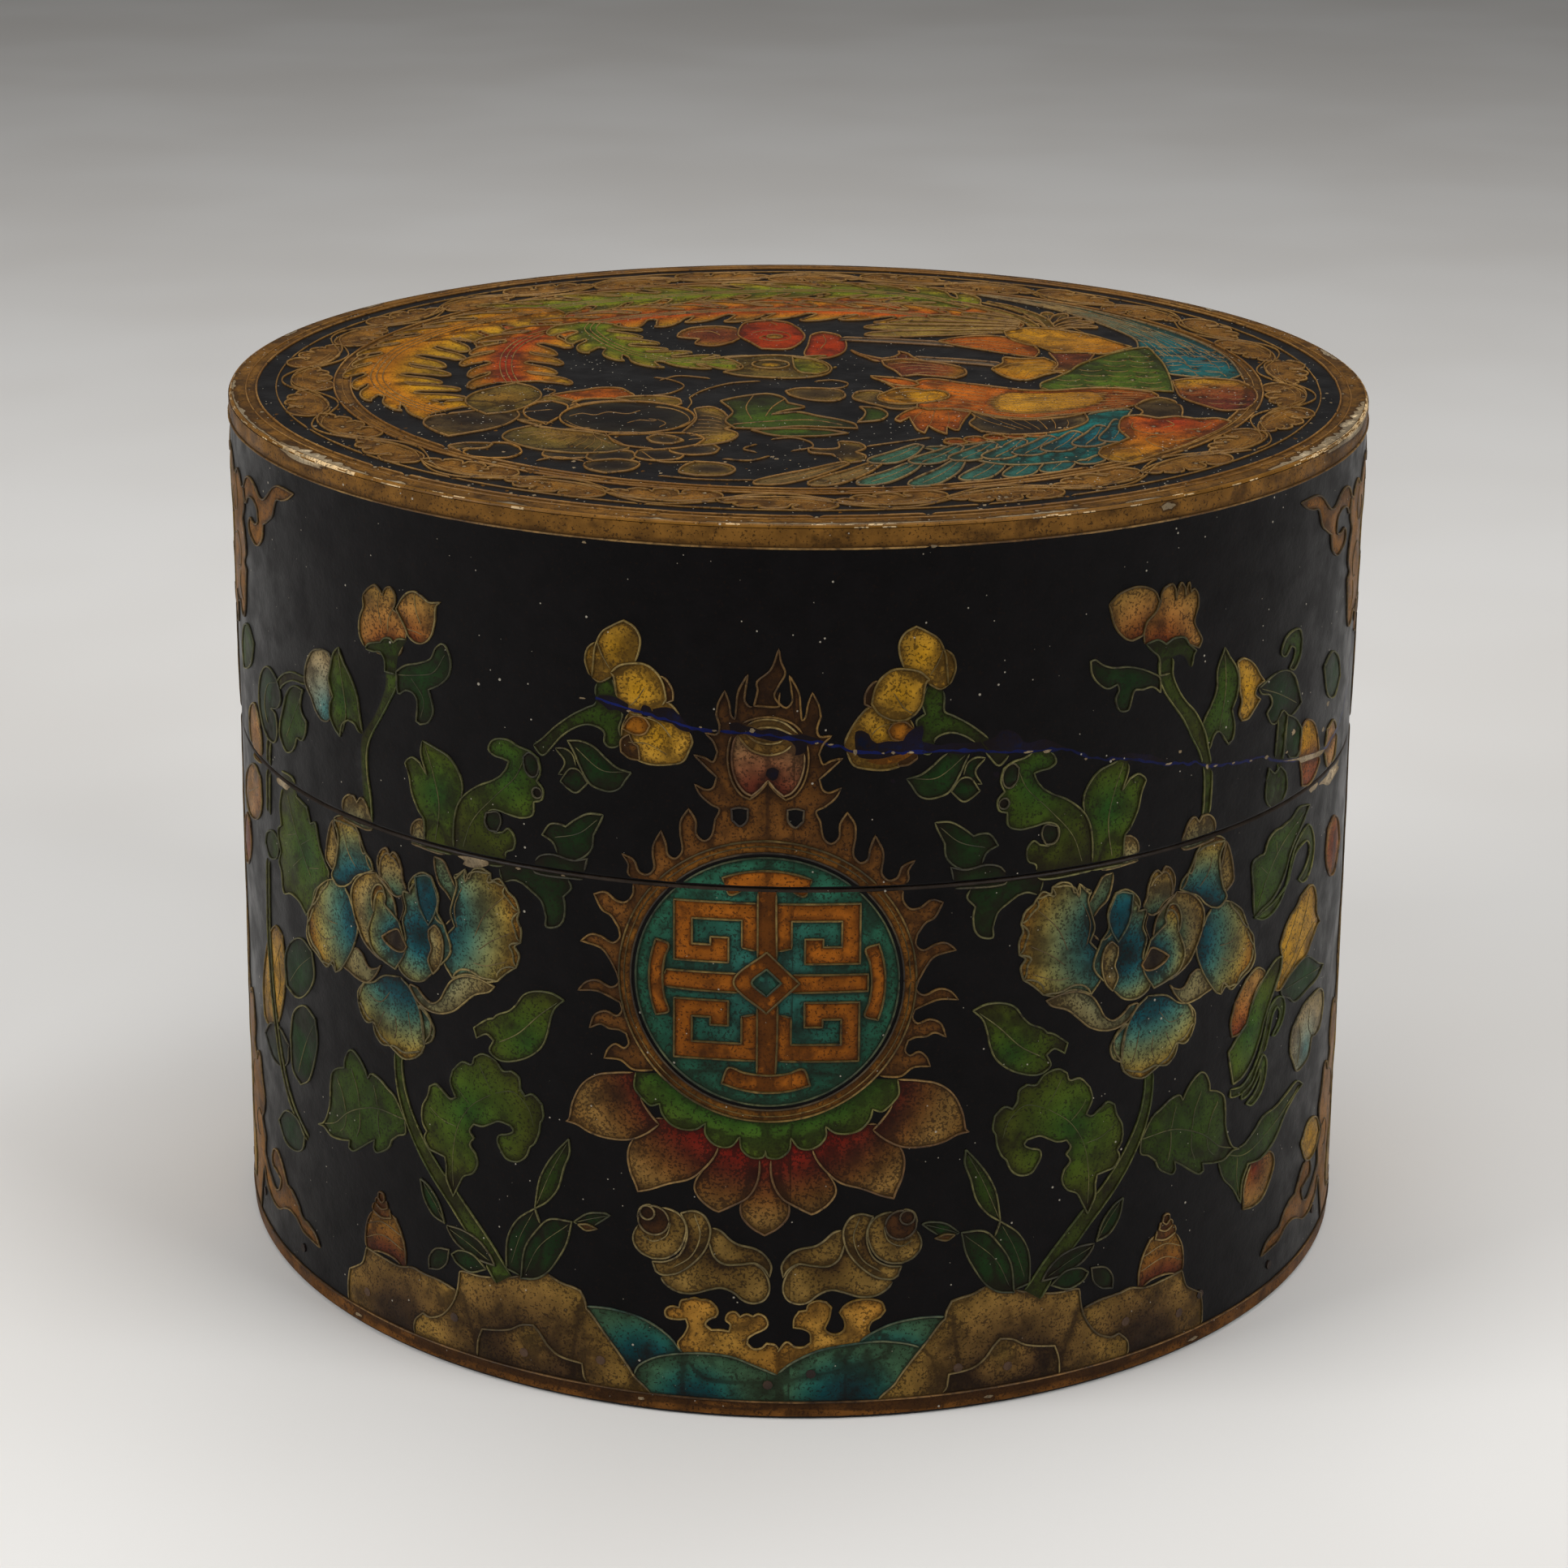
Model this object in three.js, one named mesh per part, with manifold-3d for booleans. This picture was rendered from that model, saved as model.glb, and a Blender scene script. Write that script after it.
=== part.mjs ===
// A round lacquered wooden box with a lift-off lid. Millimetres, +Z up.
// The origin is the centre of the foot, and the front of the box faces -Y.
import * as THREE from "three";
import { mergeVertices } from "three/addons/utils/BufferGeometryUtils.js";
import Module from "manifold-3d";

const wasm = await Module();
wasm.setup();

// Driving dimensions: the outside
const outerRadius = 180;
const footSwell = 2;
const bodyHeight = 167.5;
const lidHeight = 106.5;
const edgeChamfer = 1;

// Driving dimensions: the bent-wood hoops
const wallThickness = 7;
const innerHoopThickness = 4;
const collarRise = 14;
const collarClearance = 0.6;
const ledgeHeight = 12;
const scarfLength = 60;

// Driving dimensions: the boards
const footRecess = 7;
const bottomThickness = 13;
const lidBoardThickness = 10;
const middlePlankWidth = 116;
const dowelDiameter = 5;
const dowelLength = 40;
const dowelSpread = 80;

// Driving dimensions: the pegs that hold the bottom
const pegDiameter = 3;
const pegTipDiameter = 2.4;
const pegLength = 18;
const pegProud = 0.4;
const pegEdgeMargin = 1.2;
const pegSpacing = 12;
const pegZigzag = 0.4;

// Fits, how far a cutting solid overruns a face, and how finely round pieces are faceted
const fitGap = 0.3;
const cutOverrun = 1;
const hoopSides = 72;
const pegSides = 8;
const scarfSteps = 12;

// The front pegs were driven by eye: degrees round from the front, and how far each
// stands above or below the bottom board's middle, as a share of the wood there.
const frontPegs = [
  [-46, -0.3],
  [-34, 0.8],
  [-26, -0.5],
  [-18, 0.2],
  [-2, -0.6],
  [2, 0.4],
  [16, 0.1],
  [21, -0.4],
  [34, 1],
  [41, 0],
  [44, 0.8],
];

// Sizes that follow from those
const footRadius = outerRadius + footSwell;
const boreRadius = outerRadius - wallThickness;
const boardRadius = boreRadius - fitGap;
const bottomTop = footRecess + bottomThickness;
const bottomMiddle = footRecess + bottomThickness / 2;
const totalHeight = bodyHeight + lidHeight;
const lidBoardUnder = totalHeight - lidBoardThickness;
const pegRowReach = bottomThickness / 2 - pegDiameter / 2 - pegEdgeMargin;

const materials = {
  lacquer: { color: 0x1c1715, roughness: 0.3, metalness: 0 },
  board: { color: 0x8a6a48, roughness: 0.75, metalness: 0 },
  bamboo: { color: 0xc49a5c, roughness: 0.7, metalness: 0 },
};

// The outside radius of the body, which swells a little towards its foot.
function bodyRadiusAt(height) {
  return footRadius + ((outerRadius - footRadius) * height) / bodyHeight;
}

// A closed mesh as a solid that can be cut.
function toSolid(geometry) {
  const bare = new THREE.BufferGeometry()
    .setAttribute("position", geometry.getAttribute("position"))
    .setIndex(geometry.index);
  const merged = mergeVertices(bare, 1e-4);
  return new wasm.Manifold(
    new wasm.Mesh({
      numProp: 3,
      vertProperties: merged.attributes.position.array,
      triVerts: new Uint32Array(merged.index.array),
    }),
  );
}

// A cut solid as a mesh geometry again.
function toGeometry(solid) {
  const mesh = solid.getMesh();
  const geometry = new THREE.BufferGeometry()
    .setAttribute("position", new THREE.BufferAttribute(mesh.vertProperties, 3))
    .setIndex(new THREE.BufferAttribute(mesh.triVerts, 1))
    .toNonIndexed();
  geometry.computeVertexNormals();
  return geometry;
}

// A ring about the Z axis. Its outline is a closed loop of [radius, height] pairs that
// runs anticlockwise in a view with the axis on the left.
function ring(outline) {
  const points = [...outline, outline[0]].map(([r, z]) => new THREE.Vector2(r, z));
  return new THREE.LatheGeometry(points, hoopSides).rotateX(Math.PI / 2);
}

// A round disc between two heights.
function disc(radius, low, high) {
  return new THREE.CylinderGeometry(radius, radius, high - low, hoopSides)
    .rotateX(Math.PI / 2)
    .translate(0, 0, (low + high) / 2);
}

// Cuts the slanted joint where the two ends of a bent strip are glued on each other: a
// narrow slit that winds out from the inner face to the outer face.
function cutScarf(hoop, innerRadius, thickness, low, high, degreesRound) {
  const grown = (thickness + cutOverrun) / thickness;
  const span = (scarfLength / innerRadius) * grown;
  const edge = (side) =>
    Array.from({ length: scarfSteps + 1 }, (_, i) => {
      const share = i / scarfSteps - 0.5;
      const radius = innerRadius + thickness * (0.5 + share * grown) + (side * fitGap) / 2;
      const angle = THREE.MathUtils.degToRad(degreesRound) + share * span;
      return new THREE.Vector2(radius * Math.sin(angle), -radius * Math.cos(angle));
    });
  const outline = new THREE.Shape([...edge(1), ...edge(-1).reverse()]);
  const slit = new THREE.ExtrudeGeometry(outline, {
    depth: high - low + 2 * cutOverrun,
    bevelEnabled: false,
  }).translate(0, 0, low - cutOverrun);
  return hoop.subtract(toSolid(slit));
}

// Where a peg goes: its outer end on the wall, its length along the radius.
function pegPlaces() {
  const places = frontPegs.map(([degrees, share]) => ({ degrees, share }));
  const last = frontPegs[frontPegs.length - 1][0];
  const first = frontPegs[0][0] + 360;
  const count = Math.floor((first - last) / pegSpacing) - 1;
  const step = (first - last) / (count + 1);
  for (let i = 1; i <= count; i++) {
    const share = i % 2 === 0 ? pegZigzag : -pegZigzag;
    places.push({ degrees: last + i * step, share });
  }
  return places.map(({ degrees, share }) => {
    const height = bottomMiddle + share * pegRowReach;
    return { degrees, height, outer: bodyRadiusAt(height) + pegProud };
  });
}

// Sets a peg-shaped object on its place: its own +Y points out through the wall.
function setPeg(object, place) {
  const angle = THREE.MathUtils.degToRad(place.degrees);
  const middle = place.outer - pegLength / 2;
  object.rotation.z = angle + Math.PI;
  object.position.set(
    middle * Math.sin(angle),
    -middle * Math.cos(angle),
    place.height,
  );
  object.updateMatrix();
}

// A whittled peg along Y, its tip at -Y, grown all round by a gap where it is a hole.
function pegShape(gap) {
  return new THREE.CylinderGeometry(
    pegDiameter / 2 + gap,
    pegTipDiameter / 2 + gap,
    pegLength + 2 * gap,
    pegSides,
  );
}

// All the peg holes as one cutting solid.
function pegHoles() {
  const holes = pegPlaces().map((place) => {
    const hole = new THREE.Object3D();
    setPeg(hole, place);
    return toSolid(pegShape(fitGap).applyMatrix4(hole.matrix));
  });
  return holes.reduce((all, hole) => all.add(hole));
}

// The middles of the four dowels that join three planks.
function dowelPlaces(height) {
  const joint = middlePlankWidth / 2;
  return [
    [-dowelSpread, -joint],
    [dowelSpread, -joint],
    [-dowelSpread, joint],
    [dowelSpread, joint],
  ].map(([x, y]) => new THREE.Vector3(x, y, height));
}

// A dowel along Y, grown all round by a gap where it is a hole.
function dowelShape(gap) {
  const radius = dowelDiameter / 2 + gap;
  return new THREE.CylinderGeometry(radius, radius, dowelLength + 2 * gap, pegSides);
}

// The three planks of a round board, from front to back.
function plankSolids(low, high, holes) {
  let board = toSolid(disc(boardRadius, low, high));
  for (const place of dowelPlaces((low + high) / 2)) {
    board = board.subtract(toSolid(dowelShape(fitGap).translate(place.x, place.y, place.z)));
  }
  if (holes) board = board.subtract(holes);
  const sideWidth = boardRadius + fitGap - middlePlankWidth / 2;
  const sideMiddle = (middlePlankWidth + sideWidth) / 2;
  return [
    [-sideMiddle, sideWidth],
    [0, middlePlankWidth],
    [sideMiddle, sideWidth],
  ].map(([y, width]) => {
    const height = high - low + 2 * cutOverrun;
    const strip = new THREE.BoxGeometry(2 * outerRadius, width, height);
    return board.intersect(toSolid(strip.translate(0, y, (low + high) / 2)));
  });
}

function addPiece(group, name, geometry, material) {
  const mesh = new THREE.Mesh(geometry, new THREE.MeshStandardMaterial(material));
  mesh.name = name;
  group.add(mesh);
  return mesh;
}

// The planks of a board and the dowels between them.
function addBoard(group, name, low, high, material, holes) {
  const rows = ["front", "middle", "back"];
  plankSolids(low, high, holes).forEach((plank, i) =>
    addPiece(group, `${name}_plank_${rows[i]}`, toGeometry(plank), material),
  );
  dowelPlaces((low + high) / 2).forEach((place, i) => {
    const dowel = addPiece(group, `${name}_dowel_${i + 1}`, dowelShape(0), materials.bamboo);
    dowel.position.copy(place);
  });
}

// The body's outer wall, drilled for the pegs.
function bodyWall(holes) {
  const wall = toSolid(
    ring([
      [boreRadius, 0],
      [footRadius - edgeChamfer, 0],
      [bodyRadiusAt(edgeChamfer), edgeChamfer],
      [outerRadius, bodyHeight - edgeChamfer],
      [outerRadius - edgeChamfer, bodyHeight],
      [boreRadius, bodyHeight],
    ]),
  );
  const thickness = footRadius - boreRadius;
  return cutScarf(wall, boreRadius, thickness, 0, bodyHeight, 180).subtract(holes);
}

// The hoop inside the body: it stands on the bottom board, and its top is the collar that
// the lid drops over.
function bodyCollar() {
  const outer = boreRadius - fitGap;
  const inner = outer - innerHoopThickness;
  const collarRadius = boreRadius - collarClearance;
  const top = bodyHeight + collarRise;
  const hoop = toSolid(
    ring([
      [inner, bottomTop],
      [outer, bottomTop],
      [outer, bodyHeight - edgeChamfer],
      [collarRadius, bodyHeight - edgeChamfer],
      [collarRadius, top - edgeChamfer],
      [collarRadius - edgeChamfer, top],
      [inner, top],
    ]),
  );
  return cutScarf(hoop, inner, innerHoopThickness, bottomTop, top, 0);
}

function lidWall() {
  const wall = toSolid(
    ring([
      [boreRadius, bodyHeight],
      [outerRadius - edgeChamfer, bodyHeight],
      [outerRadius, bodyHeight + edgeChamfer],
      [outerRadius, totalHeight - edgeChamfer],
      [outerRadius - edgeChamfer, totalHeight],
      [boreRadius, totalHeight],
    ]),
  );
  return cutScarf(wall, boreRadius, wallThickness, bodyHeight, totalHeight, 180);
}

// The hoop glued inside the lid, which carries the lid's board.
function lidLedge() {
  const outer = boreRadius - fitGap;
  const inner = outer - innerHoopThickness;
  const low = lidBoardUnder - ledgeHeight;
  const hoop = toSolid(
    ring([
      [inner, low],
      [outer, low],
      [outer, lidBoardUnder],
      [inner, lidBoardUnder],
    ]),
  );
  return cutScarf(hoop, inner, innerHoopThickness, low, lidBoardUnder, 0);
}

function buildBody() {
  const body = new THREE.Group();
  const holes = pegHoles();
  addPiece(body, "body_wall", toGeometry(bodyWall(holes)), materials.lacquer);
  addPiece(body, "body_collar", toGeometry(bodyCollar()), materials.lacquer);
  addBoard(body, "bottom", footRecess, bottomTop, materials.board, holes);
  pegPlaces().forEach((place, i) => {
    const name = `bottom_peg_${String(i + 1).padStart(2, "0")}`;
    setPeg(addPiece(body, name, pegShape(0), materials.bamboo), place);
  });
  return body;
}

function buildLid() {
  const lid = new THREE.Group();
  addPiece(lid, "lid_wall", toGeometry(lidWall()), materials.lacquer);
  addPiece(lid, "lid_ledge", toGeometry(lidLedge()), materials.lacquer);
  addBoard(lid, "lid", lidBoardUnder, totalHeight, materials.lacquer, null);
  return lid;
}

const group = new THREE.Group();
group.add(buildBody(), buildLid());

export default group;
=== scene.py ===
"""The looks of a round lacquered box: raised outlines, painted fills, worn gilding, boards and pegs.

The drawings are in millimetres. On the walls, u runs round the box from the middle of the front and
v is the height above the floor. On the top, u and v are the CAD's own x and y.
"""
import logging
import math
from collections.abc import Callable, Sequence
from dataclasses import dataclass, field, replace
from enum import Enum

import bpy
import numpy as np
from mathutils import Matrix, Vector, noise
from mathutils.geometry import delaunay_2d_cdt
from mathutils.kdtree import KDTree


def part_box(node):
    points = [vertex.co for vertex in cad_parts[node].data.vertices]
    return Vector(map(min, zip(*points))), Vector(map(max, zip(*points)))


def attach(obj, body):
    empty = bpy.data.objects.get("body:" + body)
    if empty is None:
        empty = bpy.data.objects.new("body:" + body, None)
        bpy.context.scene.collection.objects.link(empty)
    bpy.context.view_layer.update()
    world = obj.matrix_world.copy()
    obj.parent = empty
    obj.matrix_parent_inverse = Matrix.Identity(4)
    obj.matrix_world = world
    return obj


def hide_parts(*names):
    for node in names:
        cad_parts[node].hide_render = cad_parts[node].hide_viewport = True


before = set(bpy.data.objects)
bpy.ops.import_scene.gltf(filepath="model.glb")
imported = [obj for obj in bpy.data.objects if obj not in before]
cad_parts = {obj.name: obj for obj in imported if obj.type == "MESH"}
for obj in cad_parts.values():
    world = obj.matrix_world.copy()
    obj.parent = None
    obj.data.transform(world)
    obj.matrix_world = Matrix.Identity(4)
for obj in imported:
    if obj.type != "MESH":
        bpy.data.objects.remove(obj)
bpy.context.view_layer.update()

log = logging.getLogger("lacquered_box")

MM = 0.001
PHOTO_SIDE = 1932
STEP = 0.9
RELIEF = 0.25
PANEL_SHIFT = -7.5
TEXTURE_MARGIN = 0.01
WEAR_SEED = 5
WALL_CHIP_SEED = 7
TOP_CHIP_SEED = 12

Point = tuple[float, float]
Stretch = tuple[Point, ...]


def millimetres(name: str) -> tuple[Vector, Vector]:
    """Lowest and highest corner of a CAD node.

    Args:
        name: The node's name.

    Returns:
        The two corners in millimetres.
    """
    low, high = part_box(name)
    return low / MM, high / MM


@dataclass(frozen=True)
class BoxSizes:
    """The box's own sizes in millimetres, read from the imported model."""

    foot_radius: float = round(millimetres("body_wall")[1].y)
    radius: float = round(millimetres("lid_wall")[1].y)
    board_radius: float = millimetres("lid_plank_middle")[1].x
    seam: float = millimetres("body_wall")[1].z
    height: float = millimetres("lid_wall")[1].z
    board_under: float = millimetres("lid_plank_middle")[0].z
    ledge_low: float = millimetres("lid_ledge")[0].z
    collar_low: float = millimetres("body_collar")[0].z
    collar_top: float = millimetres("body_collar")[1].z
    fit_gap: float = 0.3
    hoop_thickness: float = 4.0

    @property
    def bore(self) -> float:
        """Inside radius of the outer walls."""
        return self.board_radius + self.fit_gap

    def body_radius(self, height: float) -> float:
        """Outside radius of the body, which swells a little towards its foot."""
        return self.foot_radius + (self.radius - self.foot_radius) * height / self.seam


SIZES = BoxSizes()
HALF_TURN = math.pi * SIZES.radius


# Colours and finishes


def linear(colour: str) -> np.ndarray:
    """Reads a written colour.

    Args:
        colour: Six hexadecimal digits.

    Returns:
        Red, green and blue in linear light.
    """
    channels = np.array([int(colour[i : i + 2], 16) / 255 for i in (0, 2, 4)])
    return np.where(channels <= 0.04045, channels / 12.92, ((channels + 0.055) / 1.055) ** 2.4)


@dataclass(frozen=True)
class Ramp:
    """A painted colour that changes from the heart of a shape to its rim."""

    stops: tuple[tuple[float, str], ...]
    # line: the raised lines' colour at their feet, partly painted shade; crest: their paler tops, partly worn
    # gilding and partly a painted highlight.
    line: str = "8a7a58"
    crest: str = "b8ac94"
    speckle: float = 0.5


class Paint(Enum):
    """The painter's colours, named for what they colour."""

    GROUND = Ramp(((0, "080607"),), "302820", "5e4e33", 0.0)
    GILDING = Ramp(((0, "795320"), (1, "6e4a1a")), "5c401e", "957442", 0.35)
    FOOT = Ramp(((0, "70461a"), (1, "5e3a13")), "402c15", "836035", 0.5)
    FLAME = Ramp(((0, "6a4218"), (0.45, "553413"), (1, "3c240d")), "4e381c", "7d5e2c", 0.5)
    AMBER = Ramp(((0, "985512"), (1, "8f4f0f")), "50401c", "776133", 0.35)
    RING = Ramp(((0, "835319"), (1, "7a4d16")), "403418", "896b35", 0.45)
    FRET_TEAL = Ramp(((0, "285f57"), (1, "22553f")), "323b2a", "676942", 0.5)
    CALYX = Ramp(((0, "264e15"), (0.6, "425917"), (1, "505c17")), "323b15", "686133", 0.5)
    LOTUS = Ramp((
        (0, "8b180e"), (0.16, "781a0e"), (0.36, "5a2412"), (0.6, "6c461d"), (0.82, "8a6834"), (1, "785524"),
    ), "5c4226", "896c3c", 1.0)
    TEAL_PETAL = Ramp((
        (0, "082629"), (0.2, "0b464e"), (0.4, "3c6456"), (0.62, "727346"), (0.8, "8a7230"),
        (0.92, "845a1a"), (1, "664210"),
    ), "5c5234", "877647", 0.85)
    CREAM_PETAL = Ramp(((0, "164845"), (0.25, "4e6246"), (0.55, "857244"), (0.82, "87682a"), (1, "6a4716")),
        "5c4b2f", "877445", 0.9)
    DEEP_TEAL = Ramp(((0, "09343d"), (0.7, "0a4b54"), (1, "265e54")), "404738", "6e6945", 0.4)
    FOLD = Ramp(((0, "1a544d"), (0.3, "76714e"), (1, "86652a")), "5c4b2f", "877445", 0.85)
    BRIGHT_LEAF = Ramp(((0, "224411"), (0.4, "3a4c0e"), (0.8, "3c420d"), (1, "282a0a")),
        "404223", "6e683c", 0.55)
    MID_LEAF = Ramp(((0, "273a0b"), (0.5, "2d3e0b"), (1, "21280b")), "3b3d23", "676137", 0.55)
    DARK_LEAF = Ramp(((0, "132f0e"), (0.6, "15260b"), (1, "111608")), "383925", "676039", 0.4)
    DUSK_LEAF = Ramp(((0, "17280e"), (1, "13160a")), "343226", "5c5335", 0.3)
    STEM = Ramp(((0, "362d0e"), (1, "31340e")), "464626", "686035", 0.4)
    GREEN_STEM = Ramp(((0, "34380e"), (1, "364711")), "424923", "716b3c", 0.45)
    YELLOW_BUD = Ramp(((0, "ab7c10"), (0.6, "a77d2a"), (1, "7c5717")), "5c491f", "897442", 0.7)
    ORANGE_CURL = Ramp(((0, "a46515"), (1, "8f570e")), "5c3f15", "896939", 0.4)
    BROWN_PETAL = Ramp(((0, "543411"), (1, "603f15")), "4e381c", "7d6439", 0.8)
    PEACH_BUD = Ramp(((0, "782811"), (0.3, "82491a"), (0.65, "996a31"), (1, "88672f")),
        "503f1f", "837245", 0.75)
    ROSE_BUD = Ramp(((0, "895a2c"), (0.5, "906736"), (1, "7f5726")), "503f1f", "837245", 0.75)
    PALE_BUD = Ramp(((0, "42736f"), (0.35, "7d7f68"), (0.7, "8b7a59"), (1, "887549")),
        "4e4631", "817349", 0.65)
    ROCK = Ramp(((0, "1e150d"), (0.35, "3c2a17"), (0.7, "735629"), (1, "8a6a2f")), "4e4026", "877245", 0.7)
    ROCK_FACE = Ramp(((0, "86692f"), (0.3, "74562a"), (0.6, "45301a"), (0.85, "33230f"), (1, "4a3618")),
        "4e4026", "877245", 1.0)
    HILL = Ramp(((0, "072428"), (0.3, "083c40"), (0.55, "1e5247"), (0.8, "3a5c42"), (1, "344e36")),
        "2d3f34", "716f4b", 0.4)
    CORAL = Ramp(((0, "a47a32"), (0.7, "a07029"), (1, "7e561a")), "6a501c", "987d47", 0.6)
    CONCH = Ramp(((0, "3e2a12"), (0.35, "684f22"), (1, "8c6e36")), "50462a", "877449", 0.7)
    WHORL = Ramp(((0, "361e0c"), (1, "462a11")), "403626", "74633e", 0.6)
    SHELL = Ramp(((0, "57150e"), (0.35, "5c2d15"), (0.6, "7a501a"), (1, "846123")), "4e381c", "8d7445", 0.7)
    JEWEL = Ramp(((0, "5c150c"), (0.3, "6f3421"), (0.6, "8b5c3b"), (1, "92764d")), "4e341f", "8d7449", 0.6)
    EYE = Ramp(((0, "997638"), (1, "845e26")), "5c461f", "988352", 0.5)
    CLOUD = Ramp(((0, "7f551f"), (1, "6f4718")), "42341e", "7d6135", 0.4)
    CLOUD_HEART = Ramp(((0, "976f18"), (1, "846017")), "5c491f", "897239", 0.55)
    GESSO = Ramp(((0, "f0d8b0"), (1, "dcbc8c")), "e8d4b4", "f0e0c4", 0.35)
    REPAIR = Ramp(((0, "08143a"), (0.55, "050c22"), (1, "040714")), "b8b4b0", "b2a37d", 0.4)
    # The body's rounded rim edge: lighter than the ground, partly rubbed wear and partly a painted highlight
    # along the edge.
    WORN = Ramp(((0, "2e2620"), (1, "241e19")), "3a3028", "766445", 0.4)
    CRACK = Ramp(((0, "0a1038"), (1, "0e1850")), "b0aca4", "c4b085", 0.0)
    FEATHER_YELLOW = Ramp(((0, "a8660c"), (0.3, "ac780e"), (0.7, "b2861c"), (1, "947022")),
        "504223", "816c40", 0.6)
    FEATHER_ORANGE = Ramp(((0, "a0300b"), (0.4, "a85c0e"), (1, "a4781a")), "503f23", "81693e", 0.55)
    FEATHER_GREEN = Ramp(((0, "4c640c"), (0.45, "7c7216"), (1, "96741f")), "504923", "816f42", 0.6)
    EYE_SPOT = Ramp(((0, "7a571c"), (0.6, "65511e"), (1, "40351e")), "5c4d2a", "876f45", 0.7)
    FLOWER_RED = Ramp(((0, "972b06"), (0.8, "8f3008"), (1, "743711")), "5c3f23", "816439", 0.35)
    BIRD_ORANGE = Ramp(((0, "a8560c"), (0.5, "98480a"), (1, "80400c")), "5c441f", "87693e", 0.55)
    BIRD_GOLD = Ramp(((0, "b07a14"), (1, "945a0c")), "5c4923", "896f40", 0.55)
    BIRD_CREAM = Ramp(((0, "8c722f"), (1, "80601e")), "5c4b2d", "877245", 0.5)
    WING_TEAL = Ramp(((0, "09565f"), (0.35, "20534e"), (1, "3b5e48")), "505242", "7d7049", 0.45)
    WING_DEEP = Ramp(((0, "0f5e5a"), (1, "204e42")), "42503f", "776f49", 0.45)
    SCALE_GREEN = Ramp(((0, "455a0e"), (1, "404a15")), "424923", "71693e", 0.6)
    TOP_LEAF = Ramp(((0, "384d0c"), (0.6, "303910"), (1, "242210")), "403823", "77643c", 0.5)
    DUSKY = Ramp(((0, "201a13"), (0.5, "2c241a"), (1, "66502a")), "64502e", "97703a", 0.45)
    DUSKY_GOLD = Ramp(((0, "2a1f12"), (0.5, "4c3a1e"), (1, "8a6820")), "5e4d31", "836739", 0.55)
    RUSSET = Ramp(((0, "612817"), (0.6, "7c4017"), (1, "a5751a")), "5c4226", "836940", 0.75)
    SCROLL = Ramp(((0, "80561c"), (1, "6c4514")), "5c4926", "896c3e", 0.55)
    HOLLOW = Ramp(((0, "120f0d"), (0.6, "1a1611"), (1, "2a2416")), "6a5028", "9a7035", 0.3)
    BONE = Ramp(((0, "615446"), (1, "55493b")), "50473d", "7a6847", 0.4)


class Colours:
    """Works out the colours of painted shapes."""

    @staticmethod
    def along(paint: Paint, share: np.ndarray) -> np.ndarray:
        """Colours at shares of the way from the heart to the rim.

        Args:
            paint: The paint.
            share: Shares from 0 to 1.

        Returns:
            One row of linear red, green, blue and 1 per share.
        """
        at = [stop for stop, _ in paint.value.stops]
        tones = np.array([linear(colour) for _, colour in paint.value.stops])
        mixed = [np.interp(share, at, tones[:, i]) for i in range(3)]
        return np.stack([*mixed, np.ones_like(share)], 1)


# Drawing


def smooth(knots: Sequence[Point], closed: bool = False) -> np.ndarray:
    """A smooth curve through points, sampled about every STEP.

    Args:
        knots: The points that the curve goes through.
        closed: True for a curve that runs back into its first point.

    Returns:
        The samples, one row each, without the last point of a closed curve.
    """
    points = np.array(knots, float)
    if closed:
        points = np.vstack([points[-1], points, points[0], points[1]])
    else:
        points = np.vstack([2 * points[0] - points[1], points, 2 * points[-1] - points[-2]])
    gaps = np.maximum(np.linalg.norm(np.diff(points, axis=0), axis=1), 1e-6)
    times = np.concatenate([[0], np.cumsum(np.sqrt(gaps))])
    slopes = (points[2:] - points[:-2]) / (times[2:] - times[:-2])[:, None]
    samples = []
    for i in range(len(points) - 3):
        width = times[i + 2] - times[i + 1]
        share = np.linspace(0, 1, max(1, math.ceil(gaps[i + 1] / STEP)), endpoint=False)[:, None]
        samples.append(
            (2 * share**3 - 3 * share**2 + 1) * points[i + 1]
            + (share**3 - 2 * share**2 + share) * width * slopes[i]
            + (3 * share**2 - 2 * share**3) * points[i + 2]
            + (share**3 - share**2) * width * slopes[i + 1]
        )
    if not closed:
        samples.append(points[-2][None])
    return np.vstack(samples)


def inside(points: np.ndarray, polygon: np.ndarray) -> np.ndarray:
    """Tells which points lie in a polygon.

    Args:
        points: One point per row.
        polygon: One corner per row.

    Returns:
        True for each point in the polygon.
    """
    result = np.zeros(len(points), bool)
    low, high = polygon.min(0), polygon.max(0)
    near = np.flatnonzero(((points >= low) & (points <= high)).all(1))
    if not len(near):
        return result
    x, y = points[near, 0:1], points[near, 1:2]
    ax, ay = polygon[:, 0], polygon[:, 1]
    bx, by = np.roll(ax, -1), np.roll(ay, -1)
    rise = np.where(by == ay, 1e-12, by - ay)
    crossed = ((ay > y) != (by > y)) & (x < ax + (y - ay) * (bx - ax) / rise)
    result[near] = crossed.sum(1) % 2 == 1
    return result


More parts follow.
